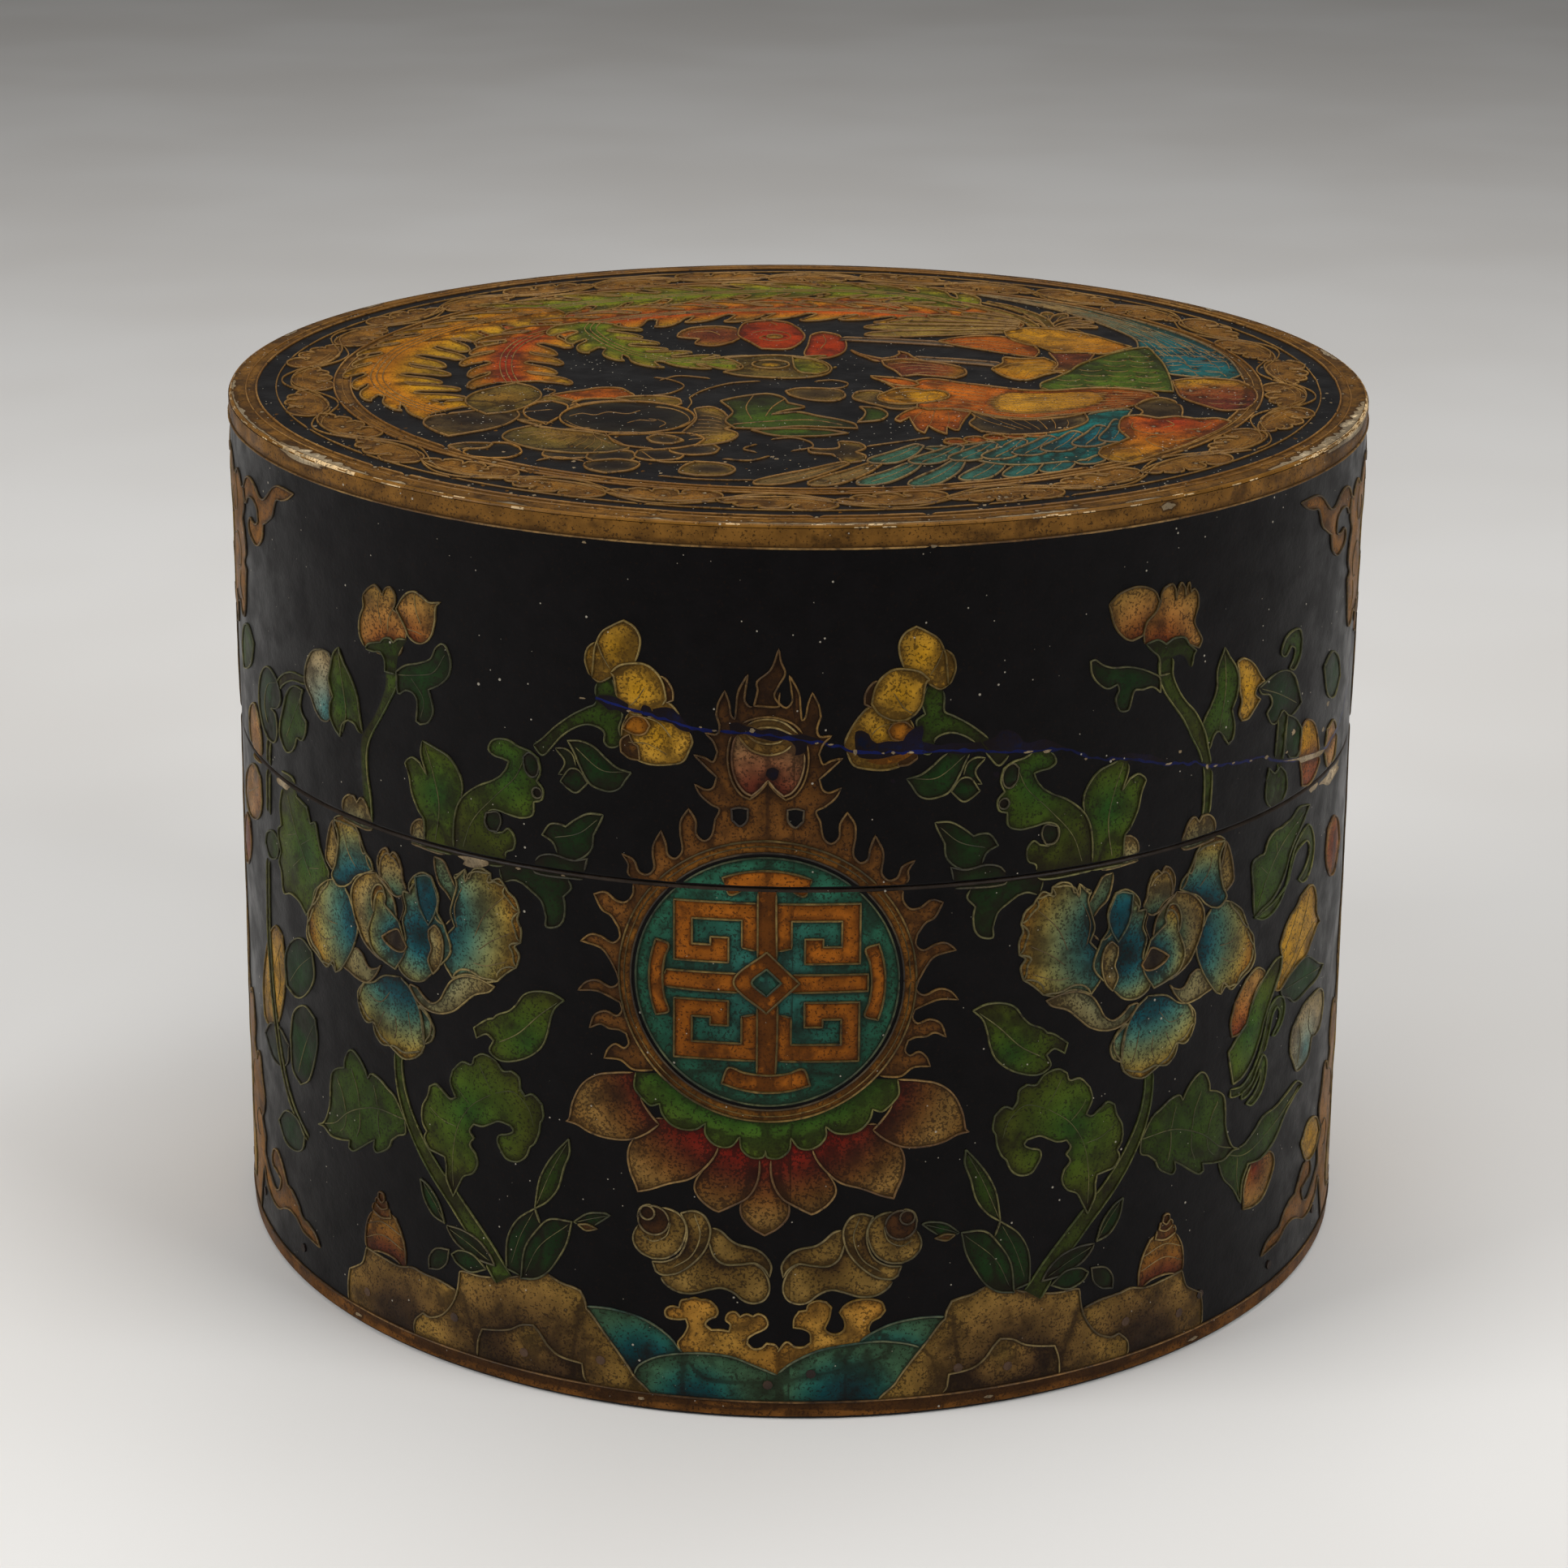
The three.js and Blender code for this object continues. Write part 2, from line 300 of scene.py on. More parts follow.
@dataclass(frozen=True)
class Shape:
    """One painted shape, or a single raised line, in its place in the painter's order.

    The outline is a loop of stretches that meet at corners. Each stretch starts where the one before
    it ends, and the last ends where the first starts. One stretch alone is a smooth loop.
    """

    paint: Paint
    loop: tuple[Stretch, ...]
    heart: Point | None = None
    spine: tuple[Point, ...] = ()
    span: tuple[float, float] | None = None
    raised: bool = True
    bare: tuple[int, ...] = ()
    filled: bool = True
    lift: float = RELIEF
    weight: float = 1.0

    def stretches(self) -> list[np.ndarray]:
        """The sampled stretches, each with both of its ends.

        Returns:
            One array of samples per stretch.
        """
        if not self.filled:
            return self._joined(self.loop)
        if len(self.loop) == 1:
            ring = smooth(self.loop[0], closed=True)
            return [np.vstack([ring, ring[:1]])]
        last = (*self.loop[-1], self.loop[0][0])
        return self._joined((*self.loop[:-1], last))

    @staticmethod
    def _joined(loop: tuple[Stretch, ...]) -> list[np.ndarray]:
        """Samples stretches, each from the end of the one before.

        Args:
            loop: The stretches.

        Returns:
            One array of samples per stretch.
        """
        sampled = [smooth(loop[0]) if len(loop[0]) > 1 else np.array(loop[0], float)]
        for before, stretch in zip(loop, loop[1:]):
            sampled.append(smooth((before[-1], *stretch)))
        return sampled

    def outline(self) -> np.ndarray:
        """The closed outline, each point once."""
        return np.vstack([part[:-1] for part in self.stretches()])

    def ridges(self) -> list[np.ndarray]:
        """The runs of the outline that carry a raised line.

        Returns:
            One array of samples per run.
        """
        runs: list[np.ndarray] = []
        joins = False
        for index, part in enumerate(self.stretches()):
            if index in self.bare:
                joins = False
                continue
            if joins:
                runs[-1] = np.vstack([runs[-1], part[1:]])
            else:
                runs.append(part)
            joins = True
        return runs

    def tint(self, points: np.ndarray) -> np.ndarray:
        """The paint's colour at points of the drawing.

        Args:
            points: One point per row.

        Returns:
            One row of linear red, green, blue and 1 per point.
        """
        outline = self.outline()
        heart = np.array(self.heart if self.heart else outline.mean(0))
        near, far = self.span or (0.0, np.linalg.norm(outline - heart, axis=1).max())
        hearts = smooth(self.spine) if self.spine else heart[None]
        share = (np.linalg.norm(points[:, None] - hearts[None], axis=2).min(1) - near) / (far - near)
        return Colours.along(self.paint, np.clip(share, 0, 1))


def line(paint: Paint, *stretches: Stretch, weight: float = 1.0) -> Shape:
    """A raised line with no fill."""
    return Shape(paint, stretches, filled=False, weight=weight)


def ribbon(
    paint: Paint, path: Sequence[Point], widths: Sequence[float], rib: bool = False
) -> list[Shape]:
    """A stem: a strip along a path, with raised edges.

    Args:
        paint: The paint.
        path: The points that its middle goes through.
        widths: Its width at each point.
        rib: True for a raised line along the middle.

    Returns:
        The strip, and its middle line if it has one.
    """
    middle = np.array(path, float)
    slopes = np.gradient(middle, axis=0)
    slopes /= np.linalg.norm(slopes, axis=1)[:, None]
    side = np.stack([-slopes[:, 1], slopes[:, 0]], 1) * np.array(widths)[:, None] / 2
    left = tuple(map(tuple, middle + side))
    right = tuple(map(tuple, (middle - side)[::-1]))
    strip = Shape(paint, (left, (right[0],), right[1:], (left[0],)), bare=(1, 3))
    return [strip, line(paint, tuple(path), weight=0.6)] if rib else [strip]


def mirrored(shapes: Sequence[Shape], axis: float = 0.0) -> list[Shape]:
    """Shapes turned over from left to right.

    Args:
        shapes: The shapes.
        axis: The u of the line that they are turned about.

    Returns:
        The turned shapes, in the same order.
    """

    def flip(point: Point) -> Point:
        """The point on the other side."""
        return (2 * axis - point[0], point[1])

    return [
        replace(
            shape,
            loop=tuple(tuple(map(flip, stretch)) for stretch in shape.loop),
            heart=flip(shape.heart) if shape.heart else None,
        )
        for shape in shapes
    ]


def moved(
    shapes: Sequence[Shape], du: float, dv: float = 0.0, turn: float = 0.0, size: float = 1.0
) -> list[Shape]:
    """Shapes turned and resized about the origin and then moved.

    Args:
        shapes: The shapes.
        du: How far they move along u.
        dv: How far they move along v.
        turn: Degrees anticlockwise.
        size: Their new size as a share of the old.

    Returns:
        The moved shapes, in the same order.
    """
    cos, sin = size * math.cos(math.radians(turn)), size * math.sin(math.radians(turn))

    def shift(point: Point) -> Point:
        """The point's new place."""
        return (cos * point[0] - sin * point[1] + du, sin * point[0] + cos * point[1] + dv)

    return [
        replace(
            shape,
            loop=tuple(tuple(map(shift, stretch)) for stretch in shape.loop),
            heart=shift(shape.heart) if shape.heart else None,
            span=(shape.span[0] * size, shape.span[1] * size) if shape.span else None,
        )
        for shape in shapes
    ]


def both_sides(shapes: Sequence[Shape], axis: float = 0.0) -> list[Shape]:
    """The shapes and their mirror images."""
    return [*shapes, *mirrored(shapes, axis)]


def arc(centre: Point, radius: float, start: float, end: float, count: int) -> Stretch:
    """Points on a circle.

    Args:
        centre: The circle's centre.
        radius: Its radius.
        start: Degrees anticlockwise from +u at the first point.
        end: Degrees at the last point.
        count: How many points.

    Returns:
        The points.
    """
    angles = np.radians(np.linspace(start, end, count))
    return tuple((centre[0] + radius * math.cos(a), centre[1] + radius * math.sin(a)) for a in angles)


def circle(paint: Paint, centre: Point, radius: float, **more: object) -> Shape:
    """A round shape."""
    return Shape(paint, (arc(centre, radius, 0, 345, 24),), heart=centre, **more)


def bar(paint: Paint, path: Sequence[Point], width: float) -> Shape:
    """A fret bar: a strip of one width along straight runs with square corners.

    Args:
        paint: The paint.
        path: The corners of its middle line.
        width: Its width.

    Returns:
        The strip.
    """
    middle = np.array(path, float)
    runs = np.diff(middle, axis=0)
    runs /= np.linalg.norm(runs, axis=1)[:, None]
    sides = np.stack([-runs[:, 1], runs[:, 0]], 1)
    before, after = np.vstack([sides[:1], sides]), np.vstack([sides, sides[-1:]])
    mitre = (before + after) / (1 + (before * after).sum(1))[:, None] * width / 2
    corners = [tuple(p) for p in np.vstack([middle + mitre, (middle - mitre)[::-1]])]
    return Shape(paint, ((corners[0], corners[1]), *((c,) for c in corners[2:])))


def traced(paint: Paint, text: str, **more: object) -> Shape:
    """A shape whose outline is written out.

    Args:
        paint: The paint.
        text: The points as pairs of numbers, with | at each corner.
        **more: Other fields of the shape.

    Returns:
        The shape.
    """
    return Shape(paint, stroke(text), **more)


def stroke(text: str) -> tuple[Stretch, ...]:
    """Stretches written as pairs of numbers, with | at each corner.

    Args:
        text: The pairs of numbers.

    Returns:
        The stretches.
    """
    loop = []
    for part in text.split("|"):
        values = [float(value) for value in part.replace(",", " ").split()]
        loop.append(tuple(zip(values[::2], values[1::2])))
    return tuple(loop)


def drawn(paint: Paint, *texts: str, weight: float = 0.7) -> list[Shape]:
    """Raised lines whose points are written out."""
    return [line(paint, *stroke(text), weight=weight) for text in texts]


def spots(text: str) -> Stretch:
    """Points written as pairs of numbers."""
    return stroke(text)[0]


# The drawing on the walls, read from the middle line of the panel


class Drawing:
    """A group of shapes in painter's order."""

    def shapes(self) -> list[Shape]:
        """The shapes, the lowest first."""
        raise NotImplementedError


@dataclass(frozen=True)
class Medallion(Drawing):
    """The round fret medallion in its border of flames, on a lotus base."""

    centre: Point = (0.0, 139.0)
    radius: float = 43.0
    ring_width: float = 3.6
    gap_width: float = 2.4
    bar_width: float = 5.2

    def flames(self) -> list[Shape]:
        """The left half of the border of flames, from the calyx up to the neck, and its mirror image.

        Returns:
            The shapes, in painter's order.
        """
        licks = stroke("0 100 -31 110.5|-35 109.6 -39 109.6 -42.5 112 -47.5 112|-46.3 115 -44 116.8"
            " -41.5 115.8 -40 117.5 -40.8 120.5|-43 121.4 -46 121.4 -48.6 122.4 -52 120.8|-50.4 125"
            " -47 126.6 -43.6 125.6 -42 127.5 -42.6 130|-46.5 131.6 -50 132.6 -55.5 132|-53 134.8"
            " -49.6 135.8 -45.4 134.2 -43 136 -43.6 139|-45.8 143 -48.4 146 -54.5 147.4|-51.6 149.7"
            " -48.6 149.6 -44.8 148 -42.6 150 -43 153|-45.4 156.4 -48 157.8 -50.4 162.2|-47 163.2 -43.6 161"
            " -40.6 161 -38.6 164 -39 168|-40.2 170 -40 172.5 -41.8 175.4|-38.4 173.8 -37 170.6 -34.4 169.8"
            " -32.4 172 -32.8 176|-32.6 179 -30.4 183.4|-29 179.6 -28.4 176.4 -26.2 175.4 -24.2 178"
            " -24.8 183|-24.6 187 -22.4 190.6|-20.4 187.2 -20.2 183.2 -18 181.3 -15.8 183 -14.8 188"
            "|-13.6 191 -16 192.4 -19 195 -20.6 198|-17.4 196.6 -15.4 197.4 -14.4 200.6|-17 203 -20.8 206.8"
            "|-17.6 206 -15.4 205 -14.2 208|-15.4 211 -17.6 213.4|-14.4 213.2 -13.6 215.4 -14.6 219"
            "|-14 222.4 -12.2 226|-11 222.6 -10.4 219 -9.4 218 -9 221|-8.4 226 -5.8 231|-6.4 226.6"
            " -6.6 223.4 -5 221.6 -3 223 -3.2 226|0 226")
        sides = (0, len(licks) - 1, len(licks))
        left = Shape(Paint.FLAME, (*licks, ((0, 102),)), heart=self.centre, span=(44, 95), bare=sides)
        tongue = traced(Paint.FLAME, "-4 222 -3 226.4 -3.2 229 0.6 232.6 2.8 238.6|3.4 235 4.6 231.6"
            " 2.8 228 1.6 225 3 222", heart=self.centre, span=(44, 95), bare=(2,))
        hole = traced(Paint.GROUND, "-10 188 -10.2 191.2|-8 191.8 -5.6 191.4|-5.8 188 -7.8 186.2 -10 188",
            lift=0.0)
        return [*both_sides([left]), tongue, *both_sides([hole])]

    def jewel(self) -> list[Shape]:
        """The flaming jewel with its lidded eye.

        Returns:
            The shapes, in painter's order.
        """
        stone = stroke("0 199.6 -2.4 196.6 -5 194.4|-7.4 195.6 -9.8 199 -11.2 204 -11.2 209 -10 213.4"
            " -6.4 217.2 0 218.8 6.4 217.2 10 213.4 11.2 209 11.2 204 9.8 199 7.4 195.6 5 194.4|2.4 196.6")
        inner = tuple(tuple((u * 0.9, 206 + (v - 206) * 0.91) for u, v in part) for part in stone)
        return [
            Shape(Paint.FLAME, stone, heart=self.centre, span=(44, 95)),
            Shape(Paint.JEWEL, inner, heart=(-1, 190), span=(3, 26)),
            traced(Paint.EYE, "-8.8 213.6 -4.4 217.2 0 218.2 4.4 217.2 8.8 213.6|5.4 209.4 1.8 207.8"
                " -1.8 207.8 -5.6 209.6", heart=(0, 214), span=(0, 8)),
            traced(Paint.EYE, "-6.6 213.8 -3 215.4 0 215.8 3 215.4 6.6 213.8|3.4 211.6 0 210.9 -3.4 211.6"),
        ]

    def lotus(self) -> list[Shape]:
        """The seven petals and the scalloped calyx under the medallion.

        Returns:
            The shapes, in painter's order.
        """
        colour = {"heart": (0.0, 122.0), "span": (33.0, 64.0)}
        outer = traced(Paint.LOTUS, "-31 93 -34 96.5 -36.6 101 -38 108.6|-44 107.8 -50 106.2 -54.6 102.4"
            " -57.5 96.4 -58.6 91 -59.6 90.2|-56 89.6 -52 87.8 -46.4 86.8 -40 87.2 -35 89.6", **colour)
        second = traced(Paint.LOTUS, "-12.5 92 -31 95 -34 92|-38.8 87.4 -40.4 83 -39.8 77.6 -38 73"
            " -37.4 71|-34 72 -28 74.6 -22 76.6 -18 80 -14.4 85", **colour)
        third = traced(Paint.LOTUS, "-2.3 90 -12 91|-15.6 83.4 -19.6 77.4 -20.5 73.6 -18.4 70 -15 67.4"
            " -13.4 66.8|-9 69.2 -5 71.8 -2.4 76.4 -1.6 82", **colour)
        middle = traced(Paint.LOTUS, "0 90 -4 88|-4.4 78 -6.8 71 -6.8 66.2 -4 62.4 0 59.8|4 62.4 6.8 66.2"
            " 6.8 71 4.4 78 4 88", **colour)
        scallops = stroke("-38 108.6 -38.4 104 -36.4 101|-33.6 98.8 -30.9 99.6|-30 96.4 -27.4 93.4"
            " -23.6 92.2 -20 92.6 -17.4 94.6|-17.4 91.4 -15.4 88.6 -12.4 87.4 -9.6 88 -7.4 91"
            "|-6.8 87 -4 84.6 -0.6 84.8 0 87")
        left = Shape(Paint.CALYX, (*scallops, ((0, 110),)), heart=self.centre, span=(42, 56),
            bare=(len(scallops),))
        return [
            middle,
            *both_sides([third]),
            *both_sides([second]),
            *both_sides([outer]),
            *both_sides([left]),
        ]

    def fret(self) -> list[Shape]:
        """The amber key fret inside the ring: four hooks about a barred window.

        Returns:
            The shapes, in painter's order.
        """
        u, v = self.centre
        width = self.bar_width
        hook = (
            (u - 4.5, v + 10.5), (u - 4.5, v + 21.5), (u - 24, v + 21.5), (u - 24, v + 8.5),
            (u - 13.5, v + 8.5), (u - 13.5, v + 13.5),
        )
        hooks = both_sides([bar(Paint.AMBER, hook, width)], u)
        low = [
            replace(shape, loop=tuple(tuple((a, 2 * v - b) for a, b in part) for part in shape.loop))
            for shape in hooks
        ]
        lozenge = [
            Shape(paint, (((u, v + reach), (u + reach, v)), ((u, v - reach),), ((u - reach, v),)), lift=lift)
            for paint, reach, lift in ((Paint.AMBER, 9.4, RELIEF), (Paint.FRET_TEAL, 4.2, 0.0))
        ]
        cross = [
            bar(Paint.AMBER, ((u - 29, v), (u + 29, v)), width),
            bar(Paint.AMBER, ((u, v - 29), (u, v + 29)), width),
        ]
        lobes = [
            Shape(Paint.AMBER,
                (arc((u, v), 34, 68 + turn, 112 + turn, 7), arc((u, v), 28.6, 112 + turn, 68 + turn, 6)))
            for turn in (0, 180)
        ]
        wings = [
            Shape(Paint.AMBER,
                (arc((u, v), 34, -20 + turn, 20 + turn, 7), arc((u, v), 30, 20 + turn, -20 + turn, 6)))
            for turn in (0, 180)
        ]
        return [*hooks, *low, *cross, *lobes, *wings, *lozenge]

    def shapes(self) -> list[Shape]:
        """The flames, the jewel, the lotus, the ring and the fret.

        Returns:
            The shapes, in painter's order.
        """
        inner = self.radius - self.ring_width
        rings = [
            circle(Paint.RING, self.centre, self.radius),
            line(Paint.RING, arc(self.centre, self.radius - 1.6, 0, 360, 25), weight=0.7),
            circle(Paint.GROUND, self.centre, inner, lift=0.0),
            circle(Paint.FRET_TEAL, self.centre, inner - self.gap_width * 0.6, lift=0.0),
        ]
        return [*self.flames(), *self.jewel(), *self.lotus(), *rings, *self.fret()]


@dataclass(frozen=True)
class Clouds(Drawing):
    """The gold cloud scrolls in the corners of the panel, and the bands along its edges."""

    lid_band: Point = (267.4, 274.0)
    foot_band: Point = (0.0, 5.5)

    def bands(self) -> list[Shape]:
        """The gold bands under the top edge and along the foot.

        Returns:
            The shapes, in painter's order.
        """
        half = HALF_TURN / 2 + 4
        steps = np.linspace(-half, half, 61)
        bands = []
        for low, high, paint in ((*self.lid_band, Paint.GILDING), (*self.foot_band, Paint.FOOT)):
            loop = (tuple((u, low - 2) for u in steps), tuple((u, high) for u in steps[::-1]))
            if paint is Paint.GILDING:
                loop = (tuple((u, low) for u in steps), tuple((u, high + 2) for u in steps[::-1]))
            bands.append(Shape(paint, loop, bare=(1,) if paint is Paint.GILDING else (0,), lift=0.15))
        return bands

    def scrolls(self) -> list[Shape]:
        """The right-hand scrolls, from the tip to the column at the division of the panels.

        Returns:
            The shapes, in painter's order.
        """
        lid = traced(Paint.CLOUD, "174 261|180 261.2 185 261 189 259.5 193 256.5 197 254 201 254 205 256.4"
            " 210 257.6 215 256.6 219 253|222 252 225 255 229 256 233 253.6 237 254 240 257.6 245 259.6"
            " 252 259 257 255|262 257 268 260 276 260 286 258|286 150|262 150|262 170 259 176 256 182"
            " 258 190 255 197 251 201 249.6 207|246 203 241 204 239 209 241 214|236 211.6 233 213 230 210"
            " 226 209.5 223 214 221.5 220 219.5 226|222 228 219 232 220 238 222 242 219 246 219 252"
            "|217 248 214 250.5 210 251.5 206 251 203.5 249 203 246|204.4 244.6 208 244 211.5 244.8"
            " 213.5 243 213 240 210 238.5 206 237.5 202 239 199 242 198 246|194 248 190 250.5 188 254"
            " 186 256.5 182 257.2 178 258.6", heart=(262, 225), span=(10, 70))
        heart = traced(Paint.CLOUD_HEART, "250 252|257 249 264 252 272 255 286 252|286 160|272 168 268 178"
            " 270 190 266 200 260 206 256 212|249 213 246 219 248 226|243 232 244 240 250 245")
        curls = drawn(Paint.CLOUD, "233 253 230 247 233 242 238 242 240 246 238 249",
            "246 236 240 233 232 235 227 231 229 225 234 224", "262 240 268 236 275 238 286 236",
            "256 226 263 220 272 223 286 219", "258 206 266 203 274 206 286 203",
            "226 214 231 218 229 224", weight=0.8)
        body = traced(Paint.CLOUD, "171 17|174 20.5 179 22.2 183 22.6 186 26 191 28.6 195 29"
            "|197 31.6 200 35 204 37 208 36 210 33|209.5 30 205 29.5 201 28.5|201 27.2 203 24 207 22.5"
            " 212 24.5 216 27|219 30 218 36|222 41 219 45 218 50 221 56 223 62 227 62.5 229 59"
            "|233 63 231 70 234 78 238 80 242 77|246 84 244 94 248 104 251 110|256 118 254 130 258 142"
            " 262 150 262 172|286 172|286 4|230 4|226 14 221 24 218 20 213 17.5 208 16.5|203 17 198 19.5"
            " 193 21 188 20.5 183 18 178 17.5", heart=(262, 40), span=(10, 80))
        warm = traced(Paint.CLOUD_HEART, "240 12 236 20 238 30|244 36 243 46 247 56 252 60|256 70 254 84"
            " 260 98 266 104|268 120 266 140 270 160|286 160|286 6")
        whorls = drawn(Paint.CLOUD, "222 41 228 42 232 38 230 33 226 33",
            "229 59 236 56 240 50 236 46", "242 77 248 74 252 68", "262 40 268 44 276 40 286 42",
            "258 70 266 72 274 68 286 70", "262 96 270 98 286 94", "264 124 272 126 286 122", weight=0.8)
        return [lid, heart, *curls, body, warm, *whorls]

    def shapes(self) -> list[Shape]:
        """The scrolls on both sides, and the bands over them."""
        return [*both_sides(self.scrolls()), *self.bands()]


@dataclass(frozen=True)
class Shore(Drawing):
    """The rocks, the teal hills, the coral and the shells along the foot."""

    def hills(self) -> list[Shape]:
        """The teal hills.

        Returns:
            The shapes, in painter's order.
        """
        side = traced(Paint.HILL, "-56 31|-53.5 31.2 -49 31.6 -45 31.6 -38 30.5 -32 28 -27.5 24.5 -24 20"
            "|-24 4|-56 4", heart=(-36, 12), span=(4, 22))
        left = traced(Paint.HILL, "-39 4|-38.4 12 -36 15.4 -30 18.5 -20 20.4 -10 20 -2 17 4 14.4|4 4",
            heart=(-20, 2), span=(2, 20), bare=(2,))
        right = traced(Paint.HILL, "4 4|3.6 14.4|7.5 18 12.5 21 17.5 23 27.5 24.6 35.5 24.8 45 22.4 50 18"
            "|50 4", heart=(24, 4), span=(2, 22), bare=(1,))
        return [*both_sides([side]), right, left]

    def coral(self) -> list[Shape]:
        """The coral between the hills, a piece on each side.

        Returns:
            The shapes, in painter's order.
        """
        return [
            traced(Paint.CORAL, "-23 18|-25.4 23 -23.6 26 -22.4 29 -23 31.4|-25.6 31 -28.6 31.4 -29.2 33.4"
                " -27.6 35 -25 34.9|-24.4 37.2 -22.2 37.9|-20.4 38.5 -18.6 38|-16.4 38 -14.4 36.4"
                " -13.5 34.2 -14.2 32.8|-16.4 31.6 -17.2 30 -15.4 28.4|-12.6 28.6 -10.2 28.3"
                "|-9.8 30.6 -11.2 32 -10.4 34.2 -8.4 34.7 -7 33.2|-5.2 34.2 -3.2 33.5|-1.6 34.4 0.4 33.3"
                " 1.1 31 0 29.4 -2.6 28 -4.6 26.4 -4.9 24.6|-3 22.9 -0.6 23.3 0.8 24.8|3.2 24.4 4.4 22.6"
                " 4.6 20|6.6 12|-16 12", bare=(13, 14)),
            traced(Paint.CORAL, "4 12|4 22|6.6 25.4 9.2 23.8 11.8 23.8 13.7 25.2|13.5 28.2 11.6 29.6"
                " 8.6 30.2|8.8 33 10.2 35.4|12.4 35.8|13 37.8 15.4 38.9 18 38.4|19.6 36.6|19 33 17.8 29.6"
                " 19.6 28 22 28 23.6 29.6 23.4 32.4 22 35|23.6 37.2 26 38.5 28.6 39|31.6 38.8 34.4 37.6"
                " 35.4 35|34 33 31.6 31.6 30.6 29 32.4 27.2 35.6 27|35.6 20", bare=(1, 12)),
        ]

    def rocks(self) -> list[Shape]:
        """The left-hand rocks.

        Returns:
            The shapes, in painter's order.
        """
        colour = {"span": (0.0, 30.0)}
        first = traced(Paint.ROCK, "-147 5|-147 12 -146 17|-142 19.5 -139 22 -137 27.6|-130 27 -122 26.5"
            " -116 28 -112 27.5 -104 27 -96 25|-94 4", heart=(-122, 6), **colour)
        second = traced(Paint.ROCK, "-115.5 4|-115.5 10 -112 14|-109 13.5 -104 16 -100 21 -98 26 -97 32.5"
            "|-95.5 33 -90 33 -84 34 -77 36 -72 38.6 -69 39.6|-66.5 39.5 -62 37.5 -57.5 36.6 -55.5 36"
            "|-54 33 -53.5 30.5|-52 29 -48 23.5 -43 17 -39 11 -36 4", heart=(-76, 6), span=(0, 36))
        face = traced(Paint.ROCK_FACE, "-91 4|-90.5 11 -89 15.5|-84 16.5 -79 18 -75 20.5 -71 21.4"
            "|-69 19.5 -66 15.5 -62 13 -55 12|-54.5 8 -54 4", heart=(-72, 17), span=(0, 20))
        return [first, second, face]

    def spiral(self) -> list[Shape]:
        """The pointed spiral shell on the rocks.

        Returns:
            The shapes, in painter's order.
        """
        body = traced(Paint.SHELL, "-137 26|-137.4 31 -136.6 36 -135 39.4 -133 42.2|-128 43.6 -123 42"
            "|-120.6 38 -119 32.6 -119 26|-124 28.4 -131 28.4", heart=(-128, 20), span=(4, 26))
        tiers = [
            traced(Paint.SHELL,
                f"{-129.4 - w} {v}|{-129.4 - w * 0.8} {v + h} -129.4 {v + h * 1.25}"
                f" {-129.4 + w * 0.8} {v + h}|{-129.4 + w} {v}|-129.4 {v - 1.2}",
                heart=(-129, v - 10), span=(4, 18))
            for w, v, h in ((4.4, 41.6, 2.6), (2.9, 44.4, 1.9), (1.5, 46.6, 1.8))
        ]
        bands = drawn(Paint.SHELL, "-136.6 36 -129 39 -120.2 37", "-137.4 31 -129 34.6 -119.4 32.4")
        return [body, *bands, *tiers]

    def conch(self) -> list[Shape]:
        """The left-hand conch.

        Returns:
            The shapes, in painter's order.
        """
        body = traced(Paint.CONCH, "-30.5 44|-29 42 -25.5 40 -21 39.8 -16 41.5 -12.5 42.3 -9 41 -6 38.5"
            " -3 37.8 0 39 1.5 42 1 46 -1 49.5 -4 51|-7 50.6 -12 51 -15 53 -16 57.4|-19 54.5 -24 49.5",
            heart=(-12, 52), span=(2, 19))
        flap = traced(Paint.CONCH, "-16 61.6|-13 60.8 -10 58 -7.5 56.5 -3 55.5 0 53.5 2 50 1.5 46.5"
            "|0 49 -3 50.8 -7 50.2 -11.5 50 -14.5 52 -16 56 -16.5 59", heart=(-2, 56), span=(0, 16))
        band = traced(Paint.CONCH, "-24.5 65.5|-21 66.5 -18 65.5 -16 62 -16 58.5 -17.5 54 -21 49.5"
            " -25.5 46 -30 45 -32 46|-33 49|-29 49.5 -25 52 -23 56.5 -22.8 61", heart=(-24, 56),
            span=(2, 13))
        whorl = traced(Paint.CONCH, "-37 61|-38.8 57 -38.5 54 -36.5 51.5 -33 50|-29 50.5 -25.5 53 -23.5 57"
            " -23 61.5 -25 65 -28.5 66.5 -32 66.6|-34 67.2 -36.5 66 -37.5 63", heart=(-32, 62), span=(2, 12))
        eye = circle(Paint.WHORL, (-32.7, 62.3), 4.6)
        tip = circle(Paint.WHORL, (-34.6, 64.6), 2.2)
        return [
            body, flap, band,
            *drawn(Paint.CONCH, "-20.6 65.6 -18.8 59 -21.4 52 -27 47.6"), whorl,
            *drawn(Paint.CONCH, "-36.4 57.4 -33 55.6 -29 57.6 -27.6 62"), eye, tip,
        ]

    def shapes(self) -> list[Shape]:
        """The whole shore, mirrored about the panel's middle line.

        Returns:
            The shapes, in painter's order.
        """
        conch = self.conch()
        return [
            *both_sides(self.spiral()),
            *self.coral(),
            *self.hills(),
            *both_sides(self.rocks()),
            *conch,
            *mirrored(conch, 3.5),
        ]


